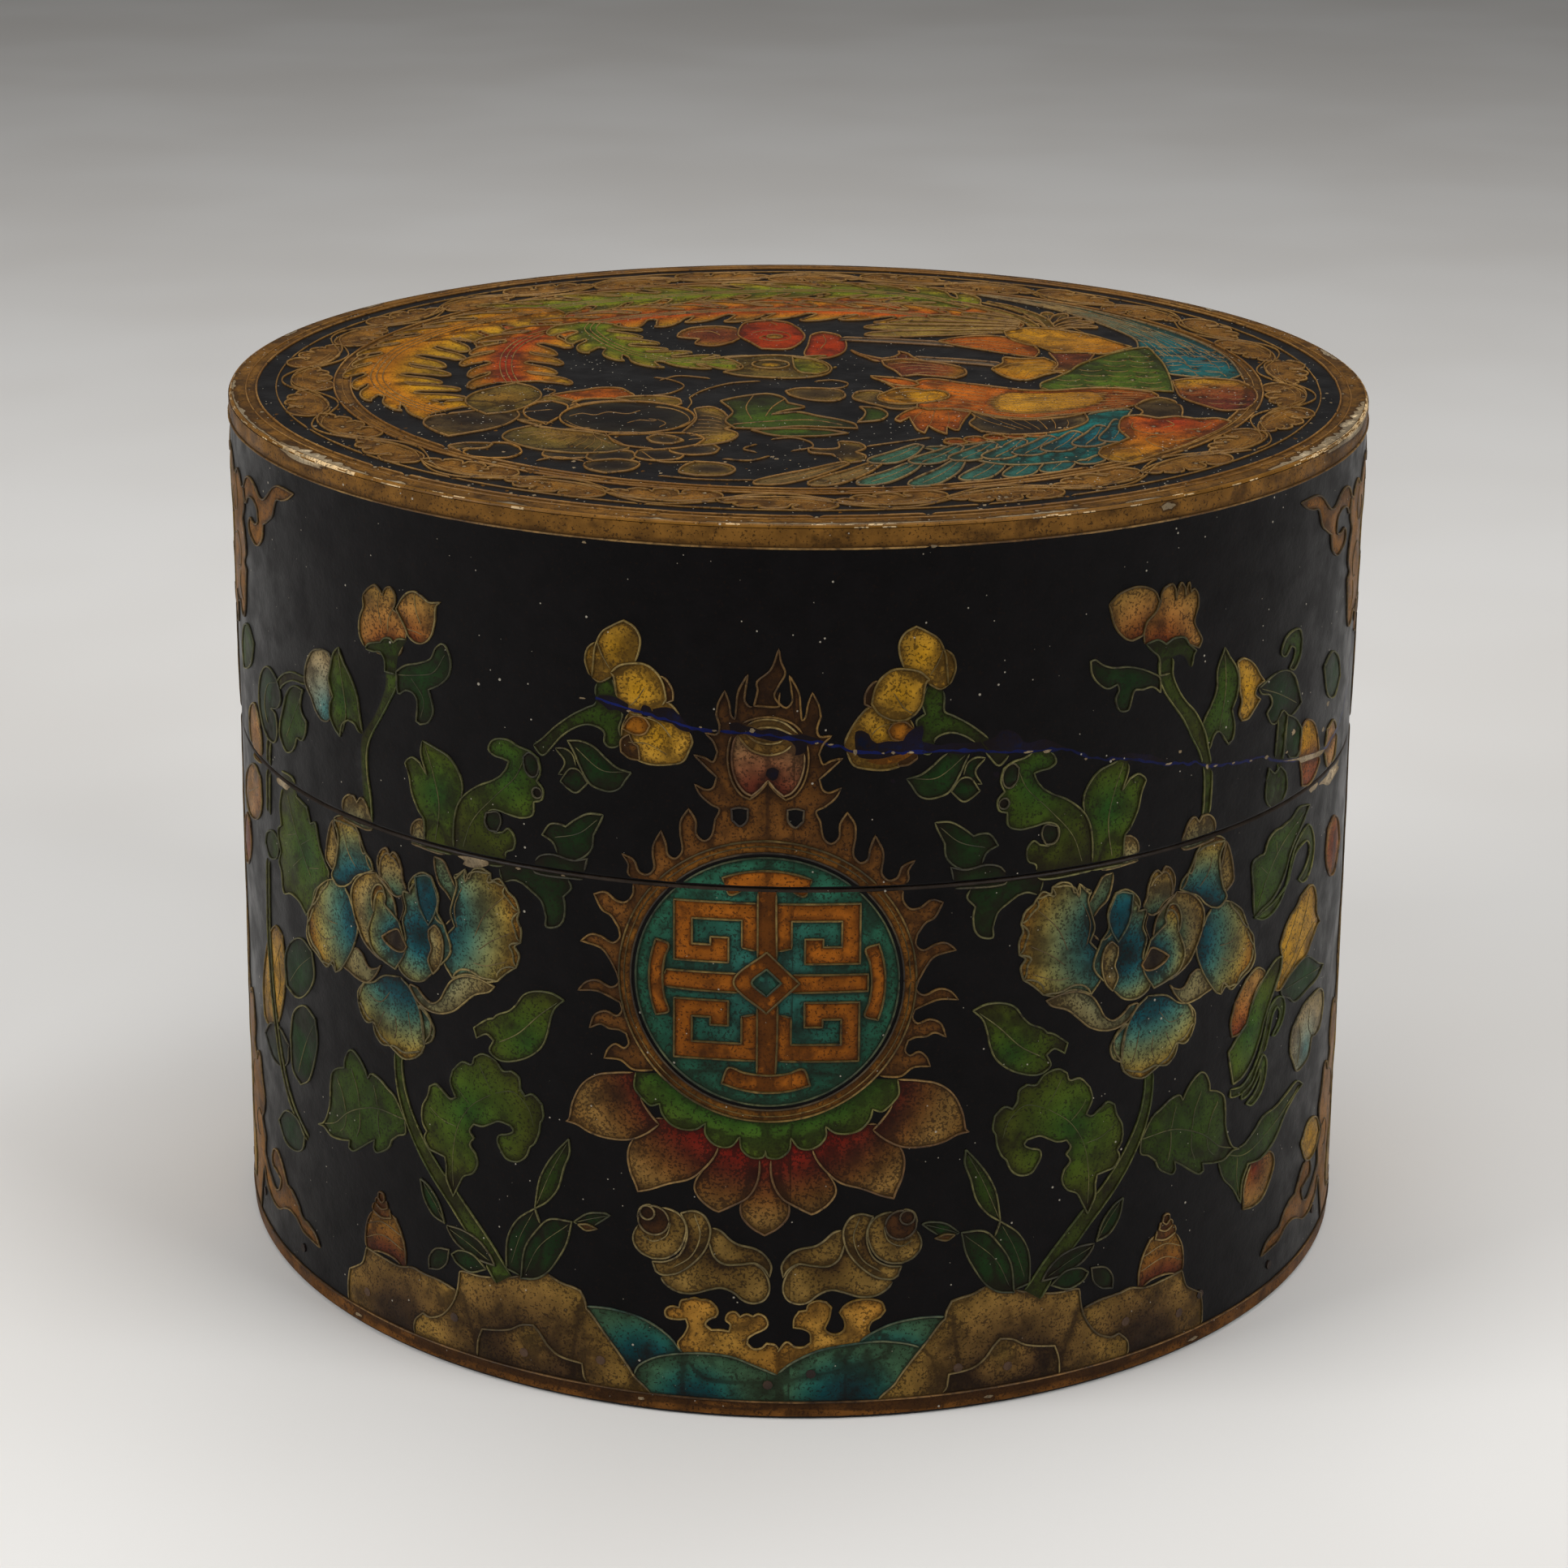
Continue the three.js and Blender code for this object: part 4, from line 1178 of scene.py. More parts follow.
@dataclass(frozen=True)
class FarLeft(Drawing):
    """The flowers and leaves at the panel's left end."""

    def shapes(self) -> list[Shape]:
        """The leaves and buds between the peony and the clouds.

        Returns:
            The shapes, in painter's order.
        """
        dark, mid, bright = Paint.DARK_LEAF, Paint.MID_LEAF, Paint.BRIGHT_LEAF
        return [
            *ribbon(Paint.STEM, spots("-164 204 -173 203 -182 198 -190 187 -194 172 -196 152"),
                (2.2, 2.6, 2.8, 3, 3, 3)),
            traced(Paint.PALE_BUD, "-153 216.7|-148.5 216 -147.5 212 -149 206 -148.5 200 -150 195.5"
                " -153.5 194.3 -157 196 -160 200|-163 203 -163.5 206 -161.5 211 -158 215",
                heart=(-151, 197), span=(2, 22)),
            traced(bright, "-144 219.5|-141.5 215.5 -138.5 212 -135.5 207 -134.5 202 -133.3 195"
                "|-135 195.5 -137 197.5 -140 198|-143 196 -144.5 191.8|-147 193.5 -149.5 197 -149.3 201"
                "|-147.5 203.5|-149.5 208 -148.5 212 -146.5 217"),
            *drawn(bright, "-144 218 -142.6 210 -141 200 -143.4 193", weight=0.6),
            traced(mid, "-165 200.8|-170 200.8 -174 199 -177 196|-178.5 193 -180 190 -182 186.5"
                "|-183 182 -181 179 -178 177.5 -174 179 -171.5 181.5|-170 184.3 -167 184.3 -164.5 187"
                " -163.3 191|-166 193 -167 195.5 -166 199"),
            *drawn(mid, "-166 199 -171 192 -178 182", weight=0.6),
            traced(dark, "-184 199|-190 201 -196 199 -201 193 -202 186 -199 180 -194 177|-188 177.6"
                " -185 182 -186 187 -190 188|-184 190 -181 194"),
            *drawn(dark, "-184 198 -192 195 -196 188 -194 182", weight=0.6),
            traced(Paint.ROSE_BUD, "-214 182|-208 184 -203 180 -201 173 -203 166|-212 166 -217 172 -217 178"),
            traced(mid, "-206 204|-212 208 -220 206 -225 199 -224 191|-217 193 -210 197"),
            traced(bright, "-183 170|-183 164 -185 158 -184 152|-187 150 -187 147 -185 143"
                "|-187 139 -185 136.5|-183.5 130 -178 131.5 -172 131 -167 128|-163 133 -161 138 -158 140.5"
                " -154 143 -152.5 146.5|-157 152 -158.5 156|-160 160 -163 159|-165 163.5|-172 165|-174 170",
                heart=(-166, 148), span=(0, 25)),
            *drawn(bright, "-179 164 -174 155 -168 147 -163 141", "-172 153 -180 150",
                "-168 147 -176 141", "-170 150 -163 154", "-165 144 -158 146", weight=0.6),
            traced(mid, "-187 146|-192 147.4 -198 145 -200 141|-196 137.6 -190 139 -187.4 142"),
            traced(Paint.ROSE_BUD, "-204 161|-211 163 -220 160 -228 154 -231 147|-224 143.4 -214 144"
                " -206 148 -203 154", heart=(-206, 150)),
            *drawn(Paint.ROSE_BUD, "-205 158 -214 154 -226 149", weight=0.6),
            traced(Paint.YELLOW_BUD, "-186 115|-192 116 -199 110 -204 101 -208 90 -207 80|-200 77.6"
                " -193 82 -187 92 -184 104", heart=(-194, 96)),
            *drawn(Paint.YELLOW_BUD, "-187 112 -195 100 -203 84", "-190 108 -189 98 -192 90", weight=0.6),
            traced(dark, "-164 117|-171 119 -179 115 -184 108 -183 99|-175 98 -168 102 -163 109"),
            *drawn(dark, "-165 115 -173 109 -181 101", weight=0.6),
            traced(dark, "-163 95|-170 97 -178 92 -181 83|-180 72 -174 69|-168 73 -164 81 -162 88"),
            *drawn(dark, "-164 93 -170 84 -176 72", weight=0.6),
            traced(Paint.DUSK_LEAF, "-183 79|-191 82 -200 80 -207 74|-199 69 -190 69 -184 73"),
            *ribbon(Paint.STEM, spots("-170 52 -182 60 -190 72 -196 90 -199 112 -198 136"),
                (2, 2.6, 3, 3, 3, 2.6)),
            traced(dark, "-172 52|-178 56 -187 55 -194 49|-188 44 -180 44 -174 47"),
            traced(Paint.RUSSET, "-222 140|-229 141 -236 136 -240 128|-232 123 -225 127 -221 133"),
        ]


@dataclass(frozen=True)
class FarRight(Drawing):
    """The flowers and leaves at the panel's right end."""

    def lid(self) -> list[Shape]:
        """What grows over the lid.

        Returns:
            The shapes, in painter's order.
        """
        dark, mid = Paint.DARK_LEAF, Paint.MID_LEAF
        return [
            *ribbon(Paint.GREEN_STEM, spots("176 167 177 178 177.4 188 178 198"), (3, 3, 3, 2.6)),
            traced(mid, "145 225|147 222 150 218.5 152 214 151.5 209 149.5 205|151 200 150.5 196"
                " 148.5 194.5|144 199.5 141.5 198.5 140 194.5|137 199 137 204 140 208.5 142 213 142 219"),
            *drawn(mid, "145 223 146 212 144 200", weight=0.6),
            traced(Paint.YELLOW_BUD, "151 219.2|153.5 219.8 157 218.4 160 216 162.6 212.8 165 210.4"
                "|161.6 209.2 160.6 207.2 163.4 205|160.6 202.6 157.6 200.4 154.6 200.4|153 203 154 206.4"
                " 152.8 210 152.4 214"),
            traced(dark, "162.5 208.5|167 210 173 211 179 210 183 207.5 186 203 189 197.5|185 195.5 181 195"
                " 177 197.5|173 195 170 196 167.5 199.5|170 202 168.5 205 164 206.5"),
            *drawn(dark, "164 208 174 204 186 198", weight=0.6),
            traced(mid, "174 217.5|176 220.5 180 222 185 221.5 187 218|186.5 213 183 209.5 179.5 210.5"
                "|182 213 182.5 216 180 217.5|177 215 174.5 216"),
            traced(mid, "174.5 196|177 198 180 196|179 190 178.5 184 177 181|174 184 174 190"),
            traced(dark, "180 196|186 193 190 189|190 183 188 180.5 183 181.5|180 185 179.5 190"),
            traced(Paint.RUSSET, "190.5 189|194 190.5 199 188.5 203 184 205.5 178.5|207 174 203 170"
                " 198 168.5 193 169.5|192 174 190 180", heart=(198, 164), span=(0, 20)),
            traced(mid, "169.5 178|170.5 181.5|174 179 177 180.5|181 177 182 172 179 168|173 168.5"
                " 169.5 172"),
            traced(dark, "206 204|213 207 221 203 225 196|219 191 211 194"),
            traced(Paint.ROSE_BUD, "213 182|220 183 225 177 224 170|217 168 212 174"),
        ]

    def body(self) -> list[Shape]:
        """What grows over the body.

        Returns:
            The shapes, in painter's order.
        """
        dark, mid, bright = Paint.DARK_LEAF, Paint.MID_LEAF, Paint.BRIGHT_LEAF
        return [
            traced(mid, "166 135|165 140 164.5 145|163.5 151 164 153.5 168 154.5|170 154.5 172 158 176 160"
                " 180 160|183 160.5 187 161 192 163 200 161.5|195 157 189 152.5 186 149 184 145 181 141.5"
                " 176 138 170 136.5", heart=(174, 150)),
            *drawn(mid, "167 137 173 147 182 155 196 160.6", "173 147 168 151",
                "178 151 177 157", weight=0.6),
            traced(Paint.GREEN_STEM, "166 135|171 133 177 133.5 182 136.5 185 141 187.5 147 190 151 195 154"
                " 200 155 204 151 205.5 146 204.5 141 201 137.5 197 137 193.5 139|197 140.5 200 143"
                " 201.5 147 199 150 195 150 190.5 148.5 188 145 186 141 182 138.6 176 136.6"),
            traced(Paint.YELLOW_BUD, "180 107|183 106 186 107|190 109 197 110.5 203 111 207 114 212 117.5"
                " 215 118|211 122.5 210 128 207 132.5 203 134|200 133.5 196 132.5|193 130 189 128.5"
                " 185 125 182.5 121|184 115.5 183 111", heart=(190, 112), span=(0, 28)),
            *drawn(Paint.YELLOW_BUD, "184 109 194 116 204 132", "190 109 200 116 210 120",
                "183 116 189 122 196 131", weight=0.6),
            traced(Paint.PEACH_BUD, "157.5 110|160 113 164 116.5 168.5 118 172 116.5 174.5 114"
                "|170 112 167 108.5 165.5 104 164 100.5|160 99 156.5 99|155.5 104", heart=(160, 98)),
            traced(bright, "158 83|155.5 92 155 94.5|157 96 160 98.5 164 101|166 106 169 110 174 114"
                " 180 117 184 117|183 112 180 108 177 104 174 99 172 94|168 88 163 84", heart=(166, 98),
                span=(0, 22)),
            traced(Paint.GREEN_STEM, "157 81.5|163 81 168 84 172 89 174.5 95 176.5 101 179 103 182 104"
                " 186 102.5 187.5 99 186 94.5 182 91.5 179.5 92|183 95 184 98.5 182 101|179.4 99 177.6 94"
                " 175 88 171 82 164 78.6 157 79"),
            traced(Paint.GREEN_STEM, "163 78.4|168 80 171 84 174 87.5 176.5 85 176.5 80 174 75 169 72.5"
                " 165.5 74|170 76 173 79.6 173 83 171 80 167 77 163 76.4"),
            traced(dark, "184 106|190 108.5 197 110.3 204 110 210 107 216 103.5 222 101|215 99 205 98.5"
                " 195 98 190 101 185 103.5"),
            *drawn(dark, "186 105 200 104 218 101.4", weight=0.6),
            traced(Paint.PALE_BUD, "197 91|203 94 210 94.5 218 94 223 91 224 86 221 80 215 79"
                "|212 79.5 210 74.5 205 73 199 73 196 77|193 82 193.5 88", heart=(206, 78), span=(0, 19)),
            *drawn(Paint.PALE_BUD, "212 80 208 85 209 92", "199 75 201 83 199 90", weight=0.6),
            traced(Paint.PEACH_BUD, "170 52|176 53 182 52 184.5 48 183 43.5 178 38 172 37 166.5 38"
                "|166 45 168 50", heart=(172, 50)),
            traced(mid, "152.5 62|155 65|160 60.5 166 60.5|171 63 176 66 184 66.5 191 68 199 69.5 205 66.5"
                "|198 65 192 62 186 56.5 181 53.5 175 52 168 53|165 48 164.5 41|160 47.5 155 52.5 152.5 58",
                heart=(166, 57), span=(0, 34)),
            *drawn(mid, "154 61 166 57 180 60 202 67", "162 58 162 50 164 43", weight=0.6),
            traced(Paint.RUSSET, "220 147|227 149 235 145 240 137|233 129 225 130 219 138"),
            traced(Paint.YELLOW_BUD, "206 45|213 50 222 48 228 41|221 36 212 37"),
        ]

    def shapes(self) -> list[Shape]:
        """Both levels."""
        return [*self.lid(), *self.body()]


@dataclass(frozen=True)
class Damage(Drawing):
    """The painted-over crack across the front of the lid, and the chips at the rims."""

    crack: Stretch = spots("-57 221 -48 219 -43 218 -36 216.6 -28 214.4 -18 214 -8 213.4 2 212 10 210.8"
        " 17 208.6 34 207.8 48 207.4 62 205.6 78 204.5 84 202.4 90 200 101 198 115 194 127 191.8 133 189.6"
        " 148 187.2 160 185.8 168 182.4 181 179.3 196 176.8 203 175.6 214 177.2 224 180 232 186 238 196"
        " 240 208")

    def shapes(self) -> list[Shape]:
        """The blue repair, the crack, its flecks and the chips.

        Returns:
            The shapes, in painter's order.
        """
        path = smooth(self.crack)
        chance = np.random.default_rng(WALL_CHIP_SEED)
        wave = np.array([noise.noise(Vector((u * 0.35, 2.0, 5.0))) for u, _ in path])
        wide = np.array([noise.noise(Vector((u * 0.3, 9.0, 1.0))) for u, _ in path])
        line_path = np.stack([path[:, 0], path[:, 1] + 0.8 * wave], 1)[::2]
        spread = np.clip(0.75 + 1.3 * wide[::2], 0.3, 1.6)
        crack = ribbon(Paint.CRACK, [tuple(p) for p in line_path], spread)[0]
        crack = replace(crack, raised=False, lift=-0.2)
        patches = [
            traced(Paint.REPAIR, text, raised=False, lift=0.12)
            for text in (
                "-56 222|-53 222.2 -50 221.6 -47.3 220.2|-47.4 218.6 -48.8 217.6|-51 218.2 -53 217.9"
                    " -54.8 219.2 -56.6 220.4", "-43.8 218.6|-43 220.3 -41.2 220 -40.2 218.4"
                    "|-41.2 216.9 -43 217", "-40.2 219.4|-37 220.2 -34.4 219.9 -32.6 218.4 -31 216.2"
                    "|-29.6 215.2 -26.6 214.6|-30 213.4 -32.6 214 -34.6 215.5|-38 216.2 -40.2 217",
                "-18.4 216.6|-16 216.9 -14 216 -12 215.7|-9.5 214.9 -6 215.6 -3 214.8|-1 213.7 2 213.8"
                    " 5 213 7.4 212.2|6 211.2 3.4 211|3.2 209 1.4 207.8 0 207.6|0.2 209.8 -1 211.5"
                    "|-3 212.2 -6 211.7 -8.5 212.2|-11 212.8 -13.4 213.7 -16 213.3 -18 213.6",
                "16.6 212.4|17 214.5 18.6 214.8 20.6 213.7|21.6 211.8 23 210.9|26 211.4 28.6 211.2"
                    " 30.4 211.4|31.4 213.2 33.4 214.9 35.8 215.6|36.2 213.6 35.8 211 38 210.2"
                    "|41 209.4 44 209.8 49 209.5 53 209.5|55 206.7|52 206.9 48 206.2 44 206.9"
                    "|40 207.6 36 207.3 32 207.7|28 207.1 24 206.3 20 206.4 17.4 207.6",
                "53.4 209.4|57.4 210.7 58.8 212.2 61 212.4|64 210.9 66 208.2|68 207.7 72 208.3 75 207.3"
                    "|78 205.7 81 204|76 204.3 72 204.5 68 204.7|64 205.3 60 205.3 56 206.5",
                "97 199.6|101 199.9 105 198.8 109 198|115 195|111 195.2 106 196.7 100 197.6",
                "150 187.6|153 188 157 187|156 185.8 152 186", "-8.2 201.6|-7.6 203.4 -5.8 203.9 -4.4 203"
                    "|-4.8 200.9 -6.4 200", "27 200.2|28.2 200 28.4 198.9|27.4 199",
                "56.8 200|58.6 200 59 198.4|57.6 198.6",
            )
        ]
        strip = traced(Paint.ORANGE_CURL, "19.6 205.8|24 204.5 28 204.9 31 206 34.4 208.2|30 207.7"
            " 26 207.2 22 206.3", raised=False, lift=0.1)
        chips = [
            Shape(Paint.GESSO, (self.ragged(centre, size, chance),), raised=False, lift=-0.1)
            for centre, size in stroke("-97.5 165.4 5.5 1.9|-82 166.2 1 0.4|-67.5 166.3 0.7 0.45"
                "|214 164.6 13 2.6|196 165.8 4 1.3|-190 165.6 6 1.4|-60 266 0.7 0.4|38 267.4 1 0.5"
                "|112 271.4 3.2 1.2|-168 272.6 14 1.1|219 272.6 27 1.2|60 2.6 1.8 0.5|-44 3.4 1.2 0.5"
                "|136 2 2.2 0.6|-150 2.4 2 0.6")
        ]
        wedge = traced(Paint.GESSO, "171.5 181.4|176 180.6 182 179.5 188 178.6 195 177.3 200 176.6"
            " 205 175.6|201 174.9 196 175.6 190 176.5|184 177.4 182.6 178.6 178 179.7", raised=False,
            lift=-0.1)
        flecks = [
            Shape(Paint.GESSO, (self.ragged(centre, size, chance),), raised=False, lift=0.05)
            for centre, size in stroke("-61 220.5 1.1 0.3|-47.2 218.2 0.6 0.35|-41.2 216.9 0.8 0.4"
                "|-26.6 215 0.5 0.25|-22.5 214.2 0.8 0.3|-12 214.7 0.9 0.7|6 211.2 0.6 0.3|10 210.8"
                " 0.9 0.35|16.9 208.4 0.7 1.1|24.8 207.9 0.5 0.3|27.6 207.9 0.7 0.45|32.6 207.8 1.1 0.3"
                "|67.6 205 1.5 0.4|73.6 204.5 1.5 0.5|86.2 200.4 0.5 0.4|95.6 198.8 0.7 0.3"
                "|116.4 193.7 1.4 0.4|120.6 196.6 0.8 0.6|132.2 189.5 0.6 0.9|136 188.9 1.1 0.35"
                "|144.4 187.8 0.8 0.3|153 186.4 0.9 0.3|161.6 185.3 1.2 0.6|177.6 189 1.4 1"
                "|205.6 190.2 1.6 0.9|202 183 1.3 0.8|173.8 183.6 0.8 0.4")
        ]
        return [strip, *patches, crack, wedge, *flecks, *chips]

    @staticmethod
    def ragged(centre: Point, size: Point, chance: np.random.Generator) -> Stretch:
        """A ragged loop for a chip.

        Args:
            centre: Its middle.
            size: Its half width and half height.
            chance: The source of random numbers.

        Returns:
            The points of the loop.
        """
        reach = chance.uniform(0.6, 1.15, 11)
        turns = np.linspace(0, 2 * math.pi, 12)[:-1]
        return tuple(
            (centre[0] + size[0] * r * math.cos(a), centre[1] + size[1] * r * math.sin(a))
            for r, a in zip(reach, turns)
        )


@dataclass(frozen=True)
class WallPainting(Drawing):
    """The whole drawing of one panel, read from the middle of the front."""

    worn: bool = True

    def shapes(self) -> list[Shape]:
        """Everything in painter's order.

        Returns:
            The shapes, in painter's order.
        """
        sprays = both_sides([*PeonySpray().shapes(), *LidSprays().shapes()])
        ends = [*FarLeft().shapes(), *FarRight().shapes(), *Shore().shapes()]
        panel = moved([*ends, *LidSprays().sprigs(), *sprays, *Medallion().shapes()], PANEL_SHIFT)
        scene = [*both_sides(Clouds().scrolls()), *panel, *Clouds().bands()]
        return [*scene, *Damage().shapes()] if self.worn else scene


# The drawing on the top, in the CAD's x and y


def vane(
    paint: Paint, base: Point, tip: Point, width: float, bow: float = 0.0, rib: bool = True, **more: object
) -> list[Shape]:
    """A long narrow feather.

    Args:
        paint: The paint.
        base: Where it grows from.
        tip: Its rounded end.
        width: Its greatest width.
        bow: How far its middle stands to the left of a straight line.
        rib: True for a rib.
        **more: Other fields of the shape.

    Returns:
        The feather and its rib.
    """
    start, end = np.array(base, float), np.array(tip, float)
    side = np.array([start[1] - end[1], end[0] - start[0]]) / np.linalg.norm(end - start)

    def spot(share: float, across: float) -> Point:
        """A point at a share of the length, so many widths across."""
        aside = across * width / 2 + bow * 4 * share * (1 - share)
        return tuple(start + (end - start) * share + side * aside)

    loop = (
        (spot(0, 0.35), spot(0.4, 0.8), spot(0.78, 1.0), spot(0.94, 0.7)),
        (spot(1, 0), spot(0.94, -0.7), spot(0.78, -1.0), spot(0.4, -0.8), spot(0, -0.35)),
    )
    feather = Shape(paint, loop, **more)
    middle = line(paint, (spot(0, 0), spot(0.5, 0), spot(0.88, 0)), weight=0.6)
    return [feather, middle] if rib else [feather]


BARB = (
    (0.05, 0.44), (-0.07, 0.62), (-0.23, 0.84), (-0.37, 0.96), (-0.2, 1.06), (0.12, 1.0), (0.42, 0.84),
    (0.63, 0.64), (0.79, 0.47), (0.92, 0.4),
)


def fan(
    paint: Paint, first: Sequence[Point], last: Sequence[Point], count: int, weight: float = 0.5
) -> list[Shape]:
    """Raised lines spread evenly between two lines.

    Args:
        paint: The paint.
        first: The points of the first line.
        last: As many points of the last line.
        count: How many lines.
        weight: Their width.

    Returns:
        The lines.
    """
    start, end = np.array(first, float), np.array(last, float)
    paths = [start + (end - start) * share for share in np.linspace(0, 1, count)]
    return [line(paint, tuple(map(tuple, path)), weight=weight) for path in paths]


def plume(
    paint: Paint, path: Sequence[Point], count: int, reach: Point, sides: Point = (1.0, 1.0), **more: object
) -> list[Shape]:
    """A tail feather with flame-like barbs on both sides of a triple rib.

    Args:
        paint: The paint.
        path: The points that its rib goes through, from the free end.
        count: How many barbs each side has.
        reach: How far the barbs reach at the free end and at the root.
        sides: How long the barbs are on the left and on the right, as shares.
        **more: Other fields of the shape.

    Returns:
        The feather and its ribs.
    """
    rib = smooth(path)
    along = np.concatenate([[0], np.cumsum(np.linalg.norm(np.diff(rib, axis=0), axis=1))])
    slopes = np.gradient(rib, axis=0)
    slopes /= np.linalg.norm(slopes, axis=1)[:, None]

    def spot(share: float, across: float) -> Point:
        """A point at a share of the rib's length, so far to its left.

        Args:
            share: The share of the length.
            across: How far it stands to the side.

        Returns:
            The point.
        """
        length = share * along[-1]
        x, y, dx, dy = (float(np.interp(length, along, column)) for column in (*rib.T, *slopes.T))
        beyond = length - min(max(length, 0.0), along[-1])
        return (x + dx * beyond - dy * across, y + dy * beyond + dx * across)

    gap = 1.0 / count

    def fringe(sign: float) -> list[Point]:
        """One edge of the feather, from the free end.

        Args:
            sign: The side, and how long its barbs are.

        Returns:
            The points along that side.
        """
        points = []
        for index in range(count):
            size = sign * (reach[0] + (reach[1] - reach[0]) * index * gap) * (1.0 - 0.14 * (index % 2))
            points += [spot((index + place) * gap, size * across) for place, across in BARB]
        return points

    loop = (*fringe(sides[0]), spot(1.0, 2.5), spot(1.0, -2.5), *fringe(-sides[1])[::-1])
    paths = [tuple(spot(i / 24, across) for i in range(25)) for across in (-1.9, 0.0, 1.9)]
    ribs = [line(paint, path, weight=0.75) for path in paths]
    return [Shape(paint, (loop,), spine=tuple(path), **more), *ribs]


@dataclass(frozen=True)
class Border(Drawing):
    """The gold edge, the black band with its leafy scroll, and the double gold line."""

    edge: float = 179.3
    band: float = 171.4
    middle: float = 155.8
    line_outer: float = 147.2
    line_inner: float = 142.0
    periods: int = 15

    def leaf(self, angle: float, outward: bool) -> list[Shape]:
        """A half-palmette with scallops along one side.

        Args:
            angle: Degrees from +x at its foot.
            outward: True if its scallops face the edge of the lid.

        Returns:
            The leaf and its short ribs.
        """
        way = 1.0 if outward else -1.0

        def run(*pairs: Point) -> Stretch:
            """Points x along the border and y towards the scallops.

            Args:
                *pairs: The points in the leaf's own measure.

            Returns:
                The points on the top.
            """
            spots = []
            for x, y in pairs:
                turn, reach = (
                    math.radians(angle) - 0.94 * x / self.middle, self.middle + 0.2 + way * 0.9 * y,
                )
                spots.append((reach * math.cos(turn), reach * math.sin(turn)))
            return tuple(spots)

        outline = (
            run((-17, 0.5), (-17.6, 5), (-14.4, 9), (-9.4, 10.4), (-5, 8.8)),
            run((-4.4, 6.2), (-6.4, 4.4), (-4, 3.6)),
            run((-2.6, 7.4), (1.4, 9), (5.2, 7.4)),
            run((4.6, 4.4)),
            run((7.4, 7), (10.8, 6.6), (12.8, 4.2)),
            run((11.8, 2.6)),
            run((14.6, 3.6), (17.2, 2), (18.6, -0.8)),
            run((12, -3.6), (4, -5), (-6, -5), (-13, -3.2)),
        )
        ribs = (
            run((17, -0.8), (9, -1.6), (0, -1.4), (-8, 0.2), (-12, 3)),
            run((-15.2, 3), (-13, 6.4), (-9.4, 7.4)),
            run((-1.6, 3), (0.4, 6), (3, 6)),
            run((6.6, 2), (8.4, 4.6), (10.4, 4.4)),
            run((-12, -1.4), (-9.6, 2), (-8.4, 4.6)),
            run((-11.6, 0), (-12.4, 4)),
            run((2.6, -3.2), (-5, -3), (-11, -1.4)),
        )
        return [Shape(Paint.SCROLL, outline), *[line(Paint.SCROLL, rib, weight=0.5) for rib in ribs]]

    def shapes(self) -> list[Shape]:
        """The rings and the scroll.

        Returns:
            The shapes, in painter's order.
        """
        shapes = [
            circle(Paint.GILDING, (0, 0), self.edge, raised=False, lift=0.1),
            line(Paint.GILDING, arc((0, 0), self.band + 3.2, 0, 360, 49), weight=0.7),
            circle(Paint.GROUND, (0, 0), self.band, raised=False, lift=0.0),
            line(Paint.GILDING, arc((0, 0), self.band, 0, 360, 49)),
            line(Paint.SCROLL, arc((0, 0), 165.2, 0, 360, 49), weight=0.7),
            circle(Paint.GILDING, (0, 0), self.line_outer, raised=False, lift=0.1),
            line(Paint.GILDING, arc((0, 0), self.line_outer, 0, 360, 49)),
            line(Paint.GILDING, arc((0, 0), (self.line_outer + self.line_inner) / 2, 0, 360, 49), weight=0.6),
        ]
        leaves = []
        step = 360 / self.periods
        for index in range(self.periods):
            leaves += self.leaf(index * step + 4, True) + self.leaf((index + 0.5) * step + 4, False)
        for offset in (-1.5, 1.5):
            angles = np.radians(np.linspace(0, 360, self.periods * 8 + 1))
            reach = self.middle + offset - 6.4 * np.cos((angles - math.radians(4)) * self.periods)
            vine = tuple((r * math.cos(a), r * math.sin(a)) for r, a in zip(reach, angles))
            leaves.append(line(Paint.SCROLL, vine, weight=0.85))
        inner = [
            circle(Paint.GROUND, (0, 0), self.line_inner, raised=False, lift=0.0),
            line(Paint.GILDING, arc((0, 0), self.line_inner, 0, 360, 49)),
        ]
        return [*shapes[:5], *leaves, *shapes[5:], *inner]


